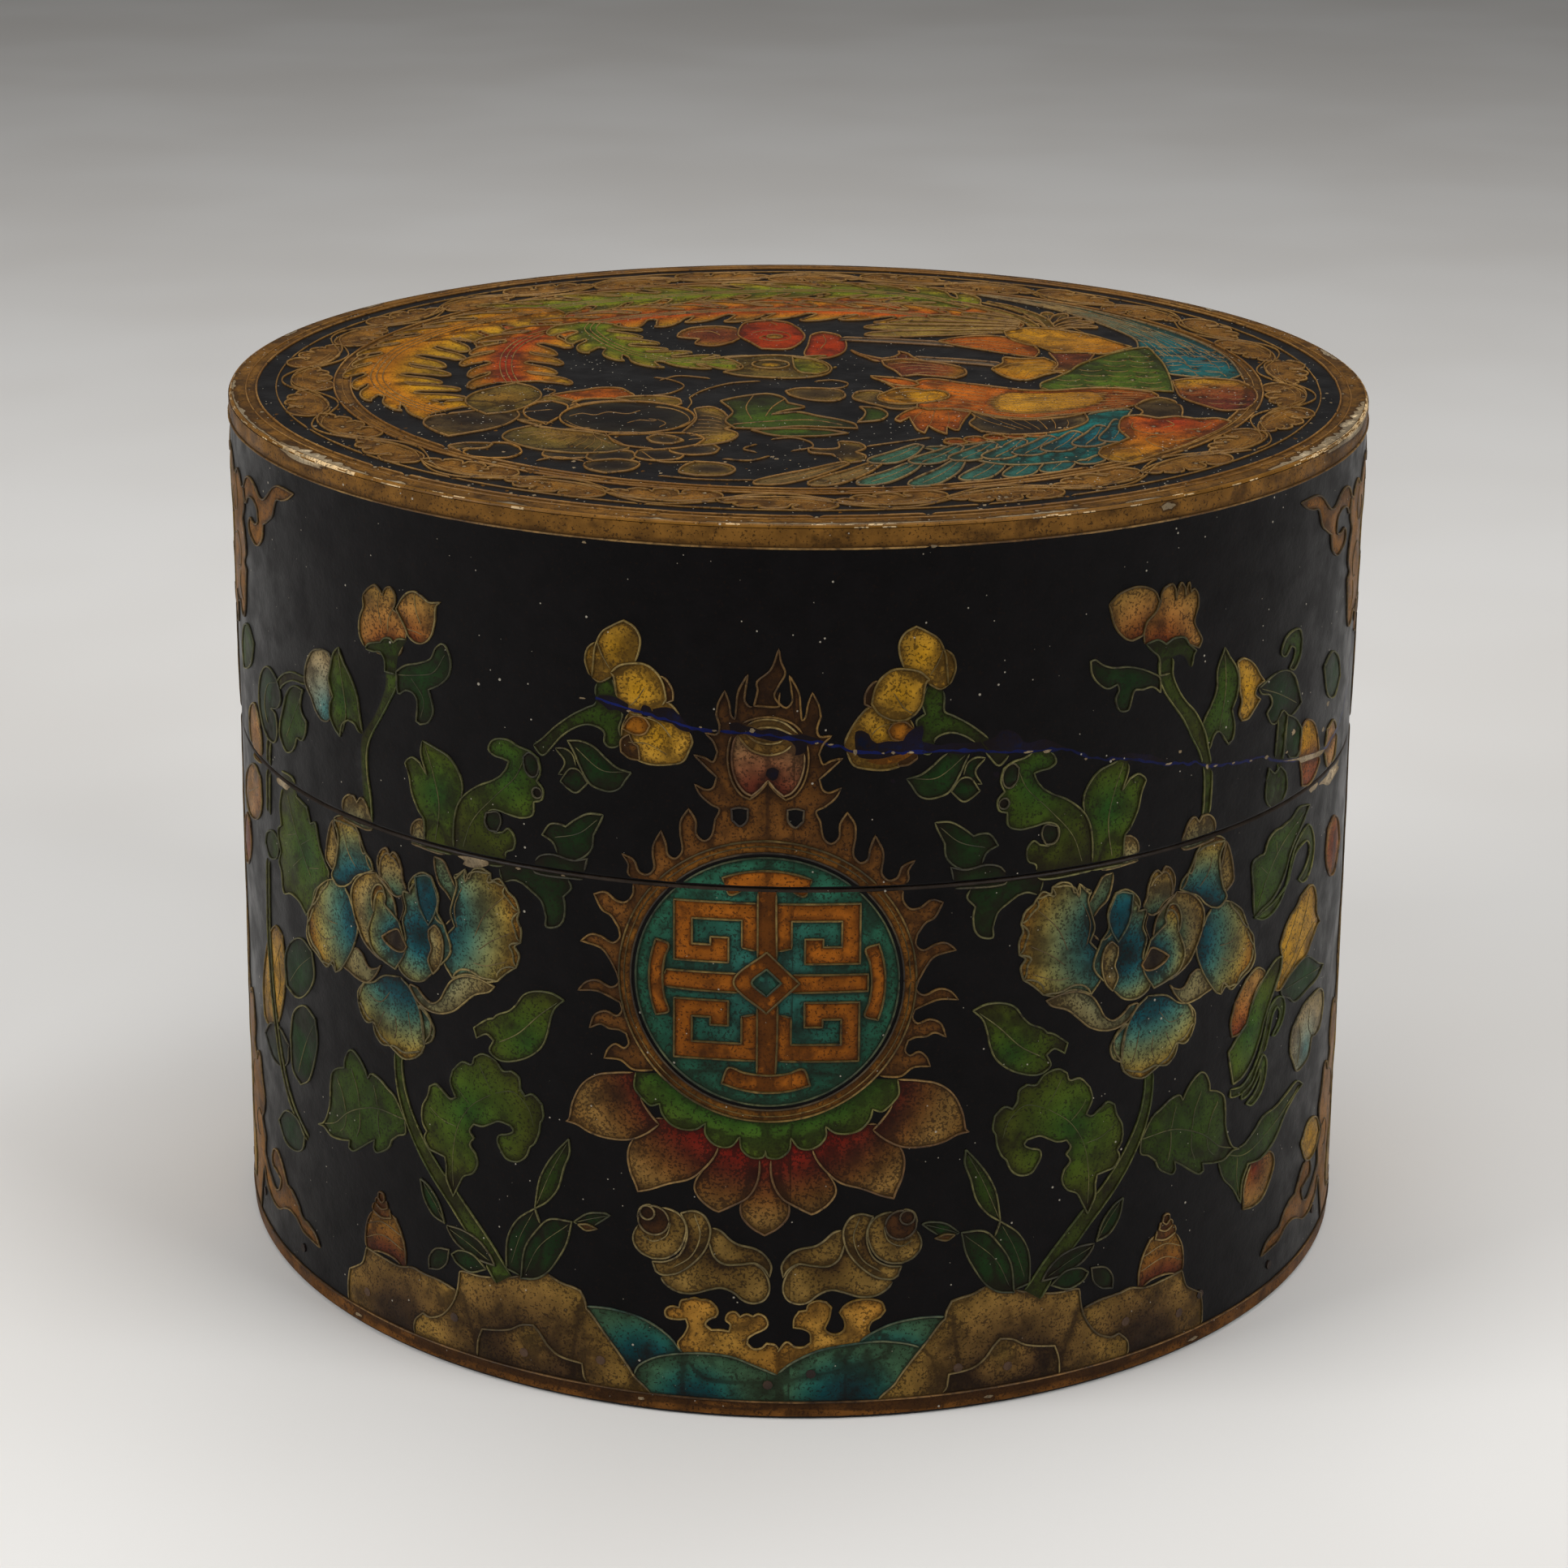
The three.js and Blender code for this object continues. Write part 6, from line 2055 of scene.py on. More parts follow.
@dataclass
class Parts:
    """The corners, faces and painted colours of one piece while it is put together."""

    corners: list[np.ndarray] = field(default_factory=list)
    faces: list[np.ndarray] = field(default_factory=list)
    colours: list[np.ndarray] = field(default_factory=list)
    edges: list[np.ndarray] = field(default_factory=list)
    chart: list[np.ndarray] = field(default_factory=list)
    count: int = 0

    def add(
        self,
        corners: np.ndarray,
        faces: Sequence[np.ndarray],
        colours: Sequence[np.ndarray],
        chart: np.ndarray,
        edges: np.ndarray | None = None,
    ) -> None:
        """Adds some of the mesh.

        Args:
            corners: Places in metres.
            faces: Arrays of faces, each with its own number of corners.
            colours: For each array of faces, a colour for each corner of each face.
            chart: A place on the texture for each corner.
            edges: How near each corner is to an outline, from 0 to 1.
        """
        self.corners.append(corners)
        self.faces += [array + self.count for array in faces]
        self.colours += [array.reshape(-1, 4) for array in colours]
        self.chart.append(chart)
        self.edges.append(np.zeros(len(corners)) if edges is None else edges)
        self.count += len(corners)

    def build(self, name: str, finish: bpy.types.Material) -> bpy.types.Object:
        """Makes the piece.

        Args:
            name: The piece's name.
            finish: Its material.

        Returns:
            The piece, with its attributes and its texture places.
        """
        mesh = bpy.data.meshes.new(name)
        corners = np.vstack(self.corners)
        mesh.vertices.add(len(corners))
        mesh.vertices.foreach_set("co", corners.astype(np.float32).ravel())
        loops = np.concatenate([array.ravel() for array in self.faces])
        sizes = np.concatenate([np.full(len(array), array.shape[1]) for array in self.faces])
        mesh.loops.add(len(loops))
        mesh.loops.foreach_set("vertex_index", loops.astype(np.int32))
        mesh.polygons.add(len(sizes))
        starts = np.concatenate([[0], np.cumsum(sizes)[:-1]])
        mesh.polygons.foreach_set("loop_start", starts.astype(np.int32))
        mesh.update(calc_edges=True)
        mesh.shade_smooth()
        paint = mesh.color_attributes.new("paint", "FLOAT_COLOR", "CORNER")
        paint.data.foreach_set("color", np.vstack(self.colours).astype(np.float32).ravel())
        edge = mesh.attributes.new("edge", "FLOAT", "POINT")
        edge.data.foreach_set("value", np.concatenate(self.edges).astype(np.float32))
        layer = mesh.uv_layers.new(name="OFBake")
        layer.data.foreach_set("uv", np.vstack(self.chart)[loops].astype(np.float32).ravel())
        mesh.materials.append(finish)
        piece = bpy.data.objects.new(name, mesh)
        bpy.context.scene.collection.objects.link(piece)
        return piece


@dataclass(frozen=True)
class Ridge:
    """The section of a raised line, as shares of its half width and height, how it wavers, and where its pale
    crest, partly wear and partly a painted highlight, shows.
    """

    width: float = 0.31
    height: float = 0.55
    across: tuple[float, ...] = (-1.0, -0.86, -0.36, 0.36, 0.86, 1.0)
    above: tuple[float, ...] = (0.0, 0.55, 1.0, 1.0, 0.55, 0.0)
    # Share of the pale crest colour across the section: partly rubbed wear, partly a painted highlight on the
    # top.
    rubbed: tuple[float, ...] = (0, 0.35, 1, 1, 0.35, 0)
    sunk: float = 0.12
    least_step: float = 0.15
    closing: float = 0.05
    taper: tuple[float, float] = (0.25, 0.85)
    ripple: tuple[float, float] = (0.11, 3.1)
    wear_and_glint: tuple[float, float] = (0.045, 8.7)

    @staticmethod
    def along(path: np.ndarray, wave: tuple[float, float]) -> np.ndarray:
        """Soft random values along a path, from a wave's scale and level."""
        scale, level = wave
        return np.array([noise.noise(Vector((u * scale, v * scale, level))) for u, v in path])


RIDGE = Ridge()


@dataclass
class Panel:
    """A painted surface: its region, its drawing, and the mesh cut along the outlines."""

    surface: Surface
    edge: np.ndarray
    shapes: list[Shape]
    chart: Callable[[np.ndarray], np.ndarray]
    seams: tuple[tuple[Point, Point], ...] = ()
    coarse: float = 5.0
    fine: float = 2.3
    row_share: float = 0.87
    clearance: float = 0.8
    tolerance: float = 0.001
    least_area: float = 1e-7
    slope: float = 1.2
    fade: float = 1.3

    def __post_init__(self) -> None:
        """Keeps the shapes that touch the region, and samples them once."""
        low, high = self.edge.min(0), self.edge.max(0)
        kept = []
        for shape in self.shapes:
            spots = np.vstack([np.array(part) for part in shape.loop])
            if (spots.max(0) > low).all() and (spots.min(0) < high).all():
                kept.append(shape)
        self.shapes = kept
        self.outlines = [shape.outline() if shape.filled else None for shape in kept]

    def grid(self, gap: float) -> np.ndarray:
        """Points in staggered rows over the region, away from its edge.

        Args:
            gap: How far apart they are.

        Returns:
            One point per row.
        """
        low, high = self.edge.min(0) + gap * 0.5, self.edge.max(0) - gap * 0.5
        points = []
        for number, height in enumerate(np.arange(low[1], high[1], gap * self.row_share)):
            across = np.arange(low[0] + (number % 2) * gap / 2, high[0], gap)
            points.append(np.stack([across, np.full(len(across), height)], 1))
        points = np.vstack(points)
        return points[inside(points, self.edge)]

    def covered(self, points: np.ndarray) -> np.ndarray:
        """The number of the topmost shape at each point, or -1 on the ground.

        Args:
            points: One point per row.

        Returns:
            One number per point.
        """
        top = np.full(len(points), -1)
        for index, outline in enumerate(self.outlines):
            if outline is not None:
                top[inside(points, outline)] = index
        return top

    @staticmethod
    def distances(points: np.ndarray, marks: np.ndarray) -> np.ndarray:
        """How far each point is from the nearest mark.

        Args:
            points: One point per row.
            marks: One mark per row.

        Returns:
            One distance per point.
        """
        if not len(marks):
            return np.full(len(points), 99.0)
        tree = KDTree(len(marks))
        for index, mark in enumerate(marks):
            tree.insert((mark[0], mark[1], 0), index)
        tree.balance()
        return np.array([tree.find((point[0], point[1], 0))[2] for point in points])

    def cut(self) -> tuple[np.ndarray, np.ndarray, np.ndarray]:
        """Cuts the region along the outlines.

        Returns:
            The corners, the triangles, and the topmost shape of each triangle.
        """
        rings = [self.edge] + [outline for outline in self.outlines if outline is not None]
        sheets, edges, count = [], [], 0
        for ring in rings:
            index = np.arange(len(ring)) + count
            edges.append(np.stack([index, np.roll(index, -1)], 1))
            sheets.append(ring)
            count += len(ring)
        marks = np.vstack(sheets)
        fine, coarse = self.grid(self.fine), self.grid(self.coarse)
        fine = fine[self.covered(fine) >= 0]
        coarse = coarse[self.covered(coarse) < 0]
        spread = np.vstack([fine, coarse])
        spread = spread[self.distances(spread, marks) > self.clearance]
        sheets.append(spread)
        count += len(spread)
        for start, end in self.seams:
            sheets.append(np.array([start, end]))
            edges.append(np.array([[count, count + 1]]))
            count += 2
        corners, _, faces, _, _, _ = delaunay_2d_cdt(
            [Vector(point) for point in np.vstack(sheets)],
            [tuple(pair) for pair in np.vstack(edges).tolist()], [], 0, self.tolerance, False,
        )
        points = np.array([tuple(corner) for corner in corners])
        triangles = np.array([face for face in faces if len(face) == 3])
        middles = points[triangles].mean(1)
        a, b, c = points[triangles[:, 0]], points[triangles[:, 1]], points[triangles[:, 2]]
        area = (b[:, 0] - a[:, 0]) * (c[:, 1] - a[:, 1]) - (b[:, 1] - a[:, 1]) * (c[:, 0] - a[:, 0])
        triangles[area < 0] = triangles[area < 0][:, ::-1]
        kept = inside(middles, self.edge) & (np.abs(area) > self.least_area)
        used, places = np.unique(triangles[kept], return_inverse=True)
        return points[used], places.reshape(-1, 3), self.covered(middles[kept])

    def skin(self, parts: Parts) -> None:
        """Adds the painted skin.

        Args:
            parts: Where it is added.
        """
        points, triangles, top = self.cut()
        bound = [outline for outline in self.outlines if outline is not None]
        marks = np.vstack(bound) if bound else np.zeros((0, 2))
        far = self.distances(points, marks)
        lifts = np.array([shape.lift for shape in self.shapes] + [0.0])
        lowest, highest = np.zeros(len(points)), np.zeros(len(points))
        for side in range(3):
            np.maximum.at(highest, triangles[:, side], lifts[top])
            np.minimum.at(lowest, triangles[:, side], lifts[top])
        share = np.clip(far / self.slope, 0, 1)
        lift = (highest + lowest) * share * share * (3 - 2 * share)
        tone = np.tile([*linear(Paint.GROUND.value.stops[0][1]), 0.0], (len(triangles), 3, 1))
        for index in np.unique(top[top >= 0]):
            shape, own = self.shapes[index], top == index
            tints = shape.tint(points[triangles[own]].reshape(-1, 2))
            tints[:, 3] = shape.paint.value.speckle
            tone[own] = tints.reshape(-1, 3, 4)
        near = np.exp(-far / self.fade)
        parts.add(self.surface.place(points, lift), [triangles], [tone], self.chart(points), near)

    def threads(self, parts: Parts) -> None:
        """Adds the raised lines that no later shape covers.

        Args:
            parts: Where they are added.
        """
        raised = [(index, shape) for index, shape in enumerate(self.shapes) if shape.raised]
        runs = [(index, run) for index, shape in raised for run in shape.ridges()]
        points = np.vstack([run for _, run in runs])
        owner = np.concatenate([np.full(len(run), index) for index, run in runs])
        shown = inside(points, self.edge)
        for index, outline in enumerate(self.outlines):
            if outline is not None:
                below = owner < index
                hidden = inside(points[below], outline)
                shown[np.flatnonzero(below)[hidden]] = False
        start = 0
        for index, run in runs:
            seen = shown[start : start + len(run)]
            start += len(run)
            breaks = np.flatnonzero(np.diff(seen.astype(int)) != 0) + 1
            for piece in np.split(np.arange(len(run)), breaks):
                if seen[piece[0]] and len(piece) > 2:
                    self.thread(parts, run[piece], self.shapes[index])

    def thread(self, parts: Parts, path: np.ndarray, shape: Shape) -> None:
        """Adds one raised line.

        Args:
            parts: Where it is added.
            path: The samples of its middle.
            shape: The shape that it belongs to.
        """
        gaps = np.linalg.norm(np.diff(path, axis=0), axis=1)
        path = path[np.concatenate([[True], gaps > RIDGE.least_step])]
        count = len(path)
        if count < 3:
            return
        closed = np.linalg.norm(path[0] - path[-1]) < RIDGE.closing
        slopes = np.gradient(path, axis=0)
        slopes /= np.maximum(np.linalg.norm(slopes, axis=1), 1e-9)[:, None]
        side = np.stack([-slopes[:, 1], slopes[:, 0]], 1)
        wave, wear_and_glint = RIDGE.along(path, RIDGE.ripple), RIDGE.along(path, RIDGE.wear_and_glint)
        taper = np.ones(count)
        if not closed:
            taper[0] = taper[-1] = RIDGE.taper[0]
            taper[1] = taper[-2] = RIDGE.taper[1]
        width = RIDGE.width * shape.weight * (1 + 0.22 * wave) * taper
        height = RIDGE.height * shape.weight**0.6 * (1 + 0.2 * wave) * taper
        across, above = np.array(RIDGE.across), np.array(RIDGE.above)
        flat = (path[:, None] + side[:, None] * (width[:, None] * across)[..., None]).reshape(-1, 2)
        lift = height[:, None] * above - RIDGE.sunk * (above == 0)
        ring = len(across)
        index = np.arange(count * ring).reshape(count, ring)
        a, b = index[:-1], index[1:]
        faces = np.stack([a, b, np.roll(b, -1, 1), np.roll(a, -1, 1)], 2).reshape(-1, 4)
        caps = np.stack([index[0], index[-1][::-1]])
        # Crest colour on the tops, line colour at the feet: partly worn gilding, partly a painted highlight
        # on the tops and painted shade at the feet.
        crest = np.clip(0.3 + 1.3 * wear_and_glint + 0.5 * wave, 0.0, 1)[:, None] * np.array(RIDGE.rubbed)
        low, high = linear(shape.paint.value.line), linear(shape.paint.value.crest)
        tint = low * (1 - crest[..., None]) + high * crest[..., None]
        tint = np.concatenate([tint, crest[..., None]], 2).reshape(-1, 4)
        place = self.surface.place(flat, lift.ravel())
        parts.add(place, [faces, caps], [tint[faces], tint[caps]], self.chart(flat))

    def parts(self) -> tuple[Parts, Parts]:
        """The painted skin and the raised lines.

        Returns:
            The skin, and the lines.
        """
        skin, lines = Parts(), Parts()
        self.skin(skin)
        self.threads(lines)
        return skin, lines


def sweep(
    parts: Parts, profile: Sequence[Point], start: float, end: float, steps: int, tone: Paint, rows: Point,
    worn: Sequence[tuple[float, float, float]] = (),
) -> None:
    """Adds a surface turned round the axis.

    Args:
        parts: Where it is added.
        profile: Its radii and heights in millimetres, with the outside of the surface on the right.
        start: Degrees from the front at which it starts.
        end: Degrees at which it ends.
        steps: How many steps it has round.
        tone: Its colour.
        rows: The lowest and highest place that it takes on the texture.
        worn: Where it is worn to the gesso: from and to in degrees, and the share that is gone.
    """
    shape = np.array(profile, float)
    angles = np.radians(np.linspace(start, end, steps + 1))
    radius, height = shape[:, 0], shape[:, 1]
    x, y = np.outer(np.sin(angles), radius), np.outer(-np.cos(angles), radius)
    corners = np.stack([x, y, np.tile(height, (steps + 1, 1))], 2)
    length = np.concatenate([[0], np.cumsum(np.linalg.norm(np.diff(shape, axis=0), axis=1))])
    across = np.tile(np.linspace(TEXTURE_MARGIN, 1 - TEXTURE_MARGIN, steps + 1)[:, None], (1, len(shape)))
    along = np.tile(rows[0] + (rows[1] - rows[0]) * length / length[-1], (steps + 1, 1))
    index = np.arange((steps + 1) * len(shape)).reshape(steps + 1, len(shape))
    a, b = index[:-1], index[1:]
    faces = np.stack([a[:, :-1], b[:, :-1], b[:, 1:], a[:, 1:]], 2).reshape(-1, 4)
    colour = Colours.along(tone, np.zeros(1))[0]
    colour[3] = 0.0
    tones = np.tile(colour, (len(faces), 4, 1))
    middle = np.repeat(np.linspace(start, end, steps + 1)[:-1], len(shape) - 1)
    chance = np.random.default_rng(WEAR_SEED).random(len(faces))
    for first, last, share in worn:
        gone = (middle > first) & (middle < last) & (chance < share)
        tones[gone] = Colours.along(Paint.GESSO, np.ones(1))[0]
    chart = np.stack([across, along], 2).reshape(-1, 2)
    parts.add(corners.reshape(-1, 3) * MM, [faces], [tones], chart)


# Finishes


class NodeMaker:
    """Builds the nodes of one material or of the world."""

    def __init__(self, tree: bpy.types.NodeTree) -> None:
        """Starts with an empty tree."""
        self.tree = tree
        tree.nodes.clear()

    def node(self, kind: str, settings: dict | None = None, **inputs: object) -> bpy.types.Node:
        """Adds a node.

        Args:
            kind: The node's type.
            settings: Its properties.
            **inputs: Values or sockets for its inputs, with _ for a space, or n0, n1 for a place.

        Returns:
            The node.
        """
        made = self.tree.nodes.new(kind)
        for key, value in (settings or {}).items():
            setattr(made, key, value)
        for key, value in inputs.items():
            place = int(key[1:]) if key[0] == "n" and key[1:].isdigit() else key.replace("_", " ")
            socket = made.inputs[place]
            if isinstance(value, bpy.types.NodeSocket):
                self.tree.links.new(value, socket)
            else:
                socket.default_value = value
        return made

    def maths(self, operation: str, a: object, b: object) -> bpy.types.NodeSocket:
        """The result of one sum."""
        return self.node("ShaderNodeMath", {"operation": operation}, n0=a, n1=b).outputs[0]

    def band(
        self, value: object, low: float, high: float, start: float = 0.0, end: float = 1.0
    ) -> bpy.types.NodeSocket:
        """Carries a value from one range into another, smoothly and without going past it.

        Args:
            value: The value.
            low: Where the first range starts.
            high: Where it ends.
            start: What its start becomes.
            end: What its end becomes.

        Returns:
            The carried value.
        """
        ranges = {"From_Min": low, "From_Max": high, "To_Min": start, "To_Max": end}
        settings = {"interpolation_type": "SMOOTHSTEP"}
        return self.node("ShaderNodeMapRange", settings, Value=value, **ranges).outputs[0]

    def noise(
        self, scale: float, detail: float = 3.0, rough: float = 0.55, place: object = None
    ) -> bpy.types.NodeSocket:
        """A soft random value."""
        inputs = {"Scale": scale, "Detail": detail, "Roughness": rough, "Vector": place or self.place()}
        return self.node("ShaderNodeTexNoise", None, **inputs).outputs[0]

    def place(self, stretch: Sequence[float] = (1, 1, 1)) -> bpy.types.NodeSocket:
        """The place on the piece, stretched along its axes."""
        spot = self.node("ShaderNodeTexCoord").outputs["Object"]
        return self.node("ShaderNodeMapping", None, Vector=spot, Scale=stretch).outputs[0]

    def blend(self, share: object, a: object, b: object, kind: str = "MIX") -> bpy.types.NodeSocket:
        """Mixes two colours.

        Args:
            share: How much of the second colour there is.
            a: The first colour.
            b: The second colour.
            kind: The way that they are mixed.

        Returns:
            The mixed colour.
        """
        made = self.tree.nodes.new("ShaderNodeMix")
        made.data_type = "RGBA"
        made.blend_type = kind
        for place, value in ((0, share), (6, a), (7, b)):
            if isinstance(value, bpy.types.NodeSocket):
                self.tree.links.new(value, made.inputs[place])
            elif place:
                made.inputs[place].default_value = (*value[:3], 1.0)
            else:
                made.inputs[0].default_value = value
        return made.outputs[2]

    def shaded(self, share: object, colour: object) -> bpy.types.NodeSocket:
        """A colour darkened to a share of its light."""
        grey = self.node("ShaderNodeCombineColor", None, n0=share, n1=share, n2=share).outputs[0]
        return self.blend(1.0, colour, grey, "MULTIPLY")

    def bump(
        self, height: object, strength: float, distance: float, onto: object = None
    ) -> bpy.types.NodeSocket:
        """A rough surface from a height.

        Args:
            height: The height.
            strength: How strongly it shows.
            distance: Its depth in metres.
            onto: The rough surface that it lies on.

        Returns:
            The way that the rough surface faces.
        """
        inputs = {"Height": height, "Strength": strength, "Distance": distance}
        if onto:
            inputs["Normal"] = onto
        return self.node("ShaderNodeBump", None, **inputs).outputs[0]

    def finish(self, colour: object, rough: object, specular: float, normal: object = None) -> None:
        """Adds the shader and the material's output.

        Args:
            colour: The base colour.
            rough: The roughness.
            specular: The strength of its shine.
            normal: The way the rough surface faces.
        """
        inputs = {"Base_Color": colour, "Roughness": rough, "Specular_IOR_Level": specular}
        if normal:
            inputs["Normal"] = normal
        shader = self.node("ShaderNodeBsdfPrincipled", None, **inputs)
        self.node("ShaderNodeOutputMaterial", None, Surface=shader.outputs[0])


def new_finish(name: str) -> tuple[bpy.types.Material, NodeMaker]:
    """An empty material and the maker of its nodes.

    Args:
        name: Its name.

    Returns:
        The material and the maker.
    """
    made = bpy.data.materials.new(name)
    made.use_nodes = True
    return made, NodeMaker(made.node_tree)


@dataclass(frozen=True)
class PaintedLacquer:
    """Black lacquer with painted and gilded fills, worn and dusty."""

    name: str = "painted_lacquer"
    ground_roughness: float = 0.34
    paint_roughness: float = 0.46
    specular: float = 0.08
    speck_size: float = 0.0008
    dust_size: float = 0.004
    dust: float = 0.65
    dust_spread: float = 0.8
    dark_brown: str = "150b06"
    dust_colour: str = "b0a898"

    def material(self) -> bpy.types.Material:
        """Builds the material.

        Returns:
            The material.
        """
        made, nodes = new_finish(self.name)
        paint = nodes.node("ShaderNodeVertexColor", {"layer_name": "paint"})
        edge = nodes.node("ShaderNodeAttribute", {"attribute_name": "edge"}).outputs["Fac"]
        colour, painted = paint.outputs["Color"], paint.outputs["Alpha"]
        cloudy = nodes.band(nodes.noise(22.0, 3.0), 0.3, 0.7, 0.74, 1.12)
        patchy = nodes.band(nodes.noise(140.0, 4.0), 0.3, 0.7, 0.66, 1.16)
        tone = nodes.maths("MULTIPLY", cloudy, patchy)
        shaded = nodes.shaded(tone, colour)
        fine = nodes.noise(1.0 / self.speck_size, 1.6, 0.6)
        wide = nodes.noise(190.0, 2.0)
        nearness = nodes.maths("MULTIPLY", edge, 0.8)
        amount = nodes.maths("MULTIPLY", painted, nodes.maths("ADD", 0.55, nearness))
        amount = nodes.maths("MULTIPLY", amount, nodes.band(wide, 0.3, 0.65, 0.45, 1.15))
        level = nodes.maths("SUBTRACT", 0.64, nodes.maths("MULTIPLY", amount, 0.2))
        over = nodes.maths("SUBTRACT", fine, level)
        specks = nodes.band(over, -0.02, 0.05, 0.0, 0.85)
        brown = nodes.blend(0.82, shaded, linear(self.dark_brown))
        is_paint = nodes.band(painted, 0.01, 0.06)
        # The fills turn darker brown in random stains and near their outlines: a thin border along each
        # outline, and patches a little further in.
        stains = nodes.band(nodes.noise(75.0, 5.0, 0.65), 0.45, 0.67, 0.0, 0.88)
        rim = nodes.band(edge, 0.42, 0.9, 0.0, 0.85)
        patches = nodes.band(nodes.noise(170.0, 4.0, 0.6), 0.36, 0.62, 0.1, 1.0)
        patchy_near_outlines = nodes.maths("MULTIPLY", nodes.band(edge, 0.06, 0.6, 0.0, 0.7), patches)
        darkening = nodes.maths("MAXIMUM", nodes.maths("MAXIMUM", stains, rim), patchy_near_outlines)
        darkening = nodes.maths("MULTIPLY", is_paint, darkening)
        darkened_fill = nodes.blend(darkening, shaded, brown)
        speckled = nodes.blend(specks, darkened_fill, brown)
        dots = nodes.node("ShaderNodeTexVoronoi", None, Vector=nodes.place(), Scale=1.0 / self.dust_size)
        size = nodes.noise(60.0, 2.0)
        limit = nodes.band(size, 0.38, self.dust_spread, 0.02, 0.11)
        dusty = nodes.maths("LESS_THAN", dots.outputs["Distance"], limit)
        dusty = nodes.maths("MULTIPLY", dusty, self.dust)
        dusted = nodes.blend(dusty, speckled, linear(self.dust_colour))
        rough = nodes.band(is_paint, 0.0, 1.0, self.ground_roughness, self.paint_roughness)
        rough = nodes.maths("ADD", rough, nodes.band(nodes.noise(90.0, 3.0), 0.3, 0.7, -0.06, 0.1))
        grain = nodes.noise(900.0, 3.0)
        waves = nodes.noise(70.0, 3.0)
        normal = nodes.bump(waves, 0.5, 0.0006)
        normal = nodes.bump(grain, 0.35, 0.00015, normal)
        nodes.finish(dusted, rough, self.specular, normal)
        return made


@dataclass(frozen=True)
class ThreadLacquer:
    """Raised lacquer lines with gilding worn off their crests; their paint also holds a painted highlight."""

    name: str = "raised_lines"
    roughness: float = 0.5
    specular: float = 0.2
    gilt: float = 0.0
    gold: str = "9c661e"
    bare: str = "1c120c"

    def material(self) -> bpy.types.Material:
        """Builds the material.

        Returns:
            The material.
        """
        made, nodes = new_finish(self.name)
        paint = nodes.node("ShaderNodeVertexColor", {"layer_name": "paint"})
        worn = nodes.band(nodes.noise(500.0, 4.0, 0.65), 0.35, 0.7, 0.55, 1.2)
        shaded = nodes.shaded(worn, paint.outputs["Color"])
        gaps = nodes.band(nodes.noise(260.0, 4.0, 0.7), 0.56, 0.66, 0.0, 0.7)
        gilded = nodes.blend(self.gilt, shaded, linear(self.gold))
        base = nodes.blend(gaps, gilded, linear(self.bare))
        normal = nodes.bump(nodes.noise(1400.0, 3.0), 0.4, 0.0001)
        rough = nodes.band(worn, 0.55, 1.2, self.roughness - 0.1, self.roughness + 0.15)
        nodes.finish(base, rough, self.specular, normal)
        return made


@dataclass(frozen=True)
class PlainLacquer:
    """Plain black lacquer, cloudy, rubbed in patches and faintly streaked."""

    name: str = "plain_lacquer"
    roughness: float = 0.42
    specular: float = 0.25

    def material(self) -> bpy.types.Material:
        """Builds the material.

        Returns:
            The material.
        """
        made, nodes = new_finish(self.name)
        cloudy = nodes.noise(35.0, 4.0)
        base = nodes.blend(nodes.band(cloudy, 0.35, 0.7), linear("17110f"), linear("2b211c"))
        rubbed = nodes.band(nodes.noise(120.0, 5.0, 0.65), 0.6, 0.72, 0.0, 0.55)
        base = nodes.blend(rubbed, base, linear("4a3626"))
        streaks = nodes.noise(8.0, 5.0, 0.6, nodes.place((1.0, 1.0, 60.0)))
        base = nodes.blend(nodes.band(streaks, 0.55, 0.75, 0.0, 0.35), base, linear("3a2e26"))
        rough = nodes.band(cloudy, 0.3, 0.7, self.roughness - 0.08, self.roughness + 0.12)
        normal = nodes.bump(streaks, 0.25, 0.0004)
        normal = nodes.bump(nodes.noise(700.0, 3.0), 0.25, 0.00015, normal)
        nodes.finish(base, rough, self.specular, normal)
        return made


@dataclass(frozen=True)
class Timber:
    """Bare wood or bamboo with its grain along one axis."""

    name: str
    pale: str
    dark: str
    fibre: float
    grain: tuple[float, float, float] = (2.0, 38.0, 38.0)
    roughness: float = 0.62
    specular: float = 0.3
    stain: str = "3a281a"

    def material(self) -> bpy.types.Material:
        """Builds the material.

        Returns:
            The material.
        """
        made, nodes = new_finish(self.name)
        wide = nodes.noise(1.0, 5.0, 0.6, nodes.place(self.grain))
        along = nodes.place(tuple(g * 0.5 for g in self.grain))
        wave = {"Scale": 0.9, "Distortion": 9.0, "Detail": 3.0, "Detail_Scale": 0.6}
        rings = nodes.node("ShaderNodeTexWave", {"bands_direction": "Y"}, Vector=along, **wave).outputs["Fac"]
        lines = nodes.noise(1.0, 4.0, 0.7, nodes.place(tuple(g * self.fibre for g in self.grain)))
        share = nodes.maths("ADD", nodes.maths("MULTIPLY", wide, 0.6), nodes.maths("MULTIPLY", rings, 0.4))
        base = nodes.blend(nodes.band(share, 0.25, 0.75), linear(self.pale), linear(self.dark))
        base = nodes.blend(nodes.band(lines, 0.52, 0.72, 0.0, 0.55), base, linear(self.dark))
        stain = nodes.band(nodes.noise(14.0, 4.0, 0.6), 0.5, 0.7, 0.0, 0.4)
        base = nodes.blend(stain, base, linear(self.stain))
        rough = nodes.band(lines, 0.3, 0.7, self.roughness - 0.08, self.roughness + 0.14)
        normal = nodes.bump(lines, 0.5, 0.0003)
        nodes.finish(base, rough, self.specular, normal)
        return made


# The box


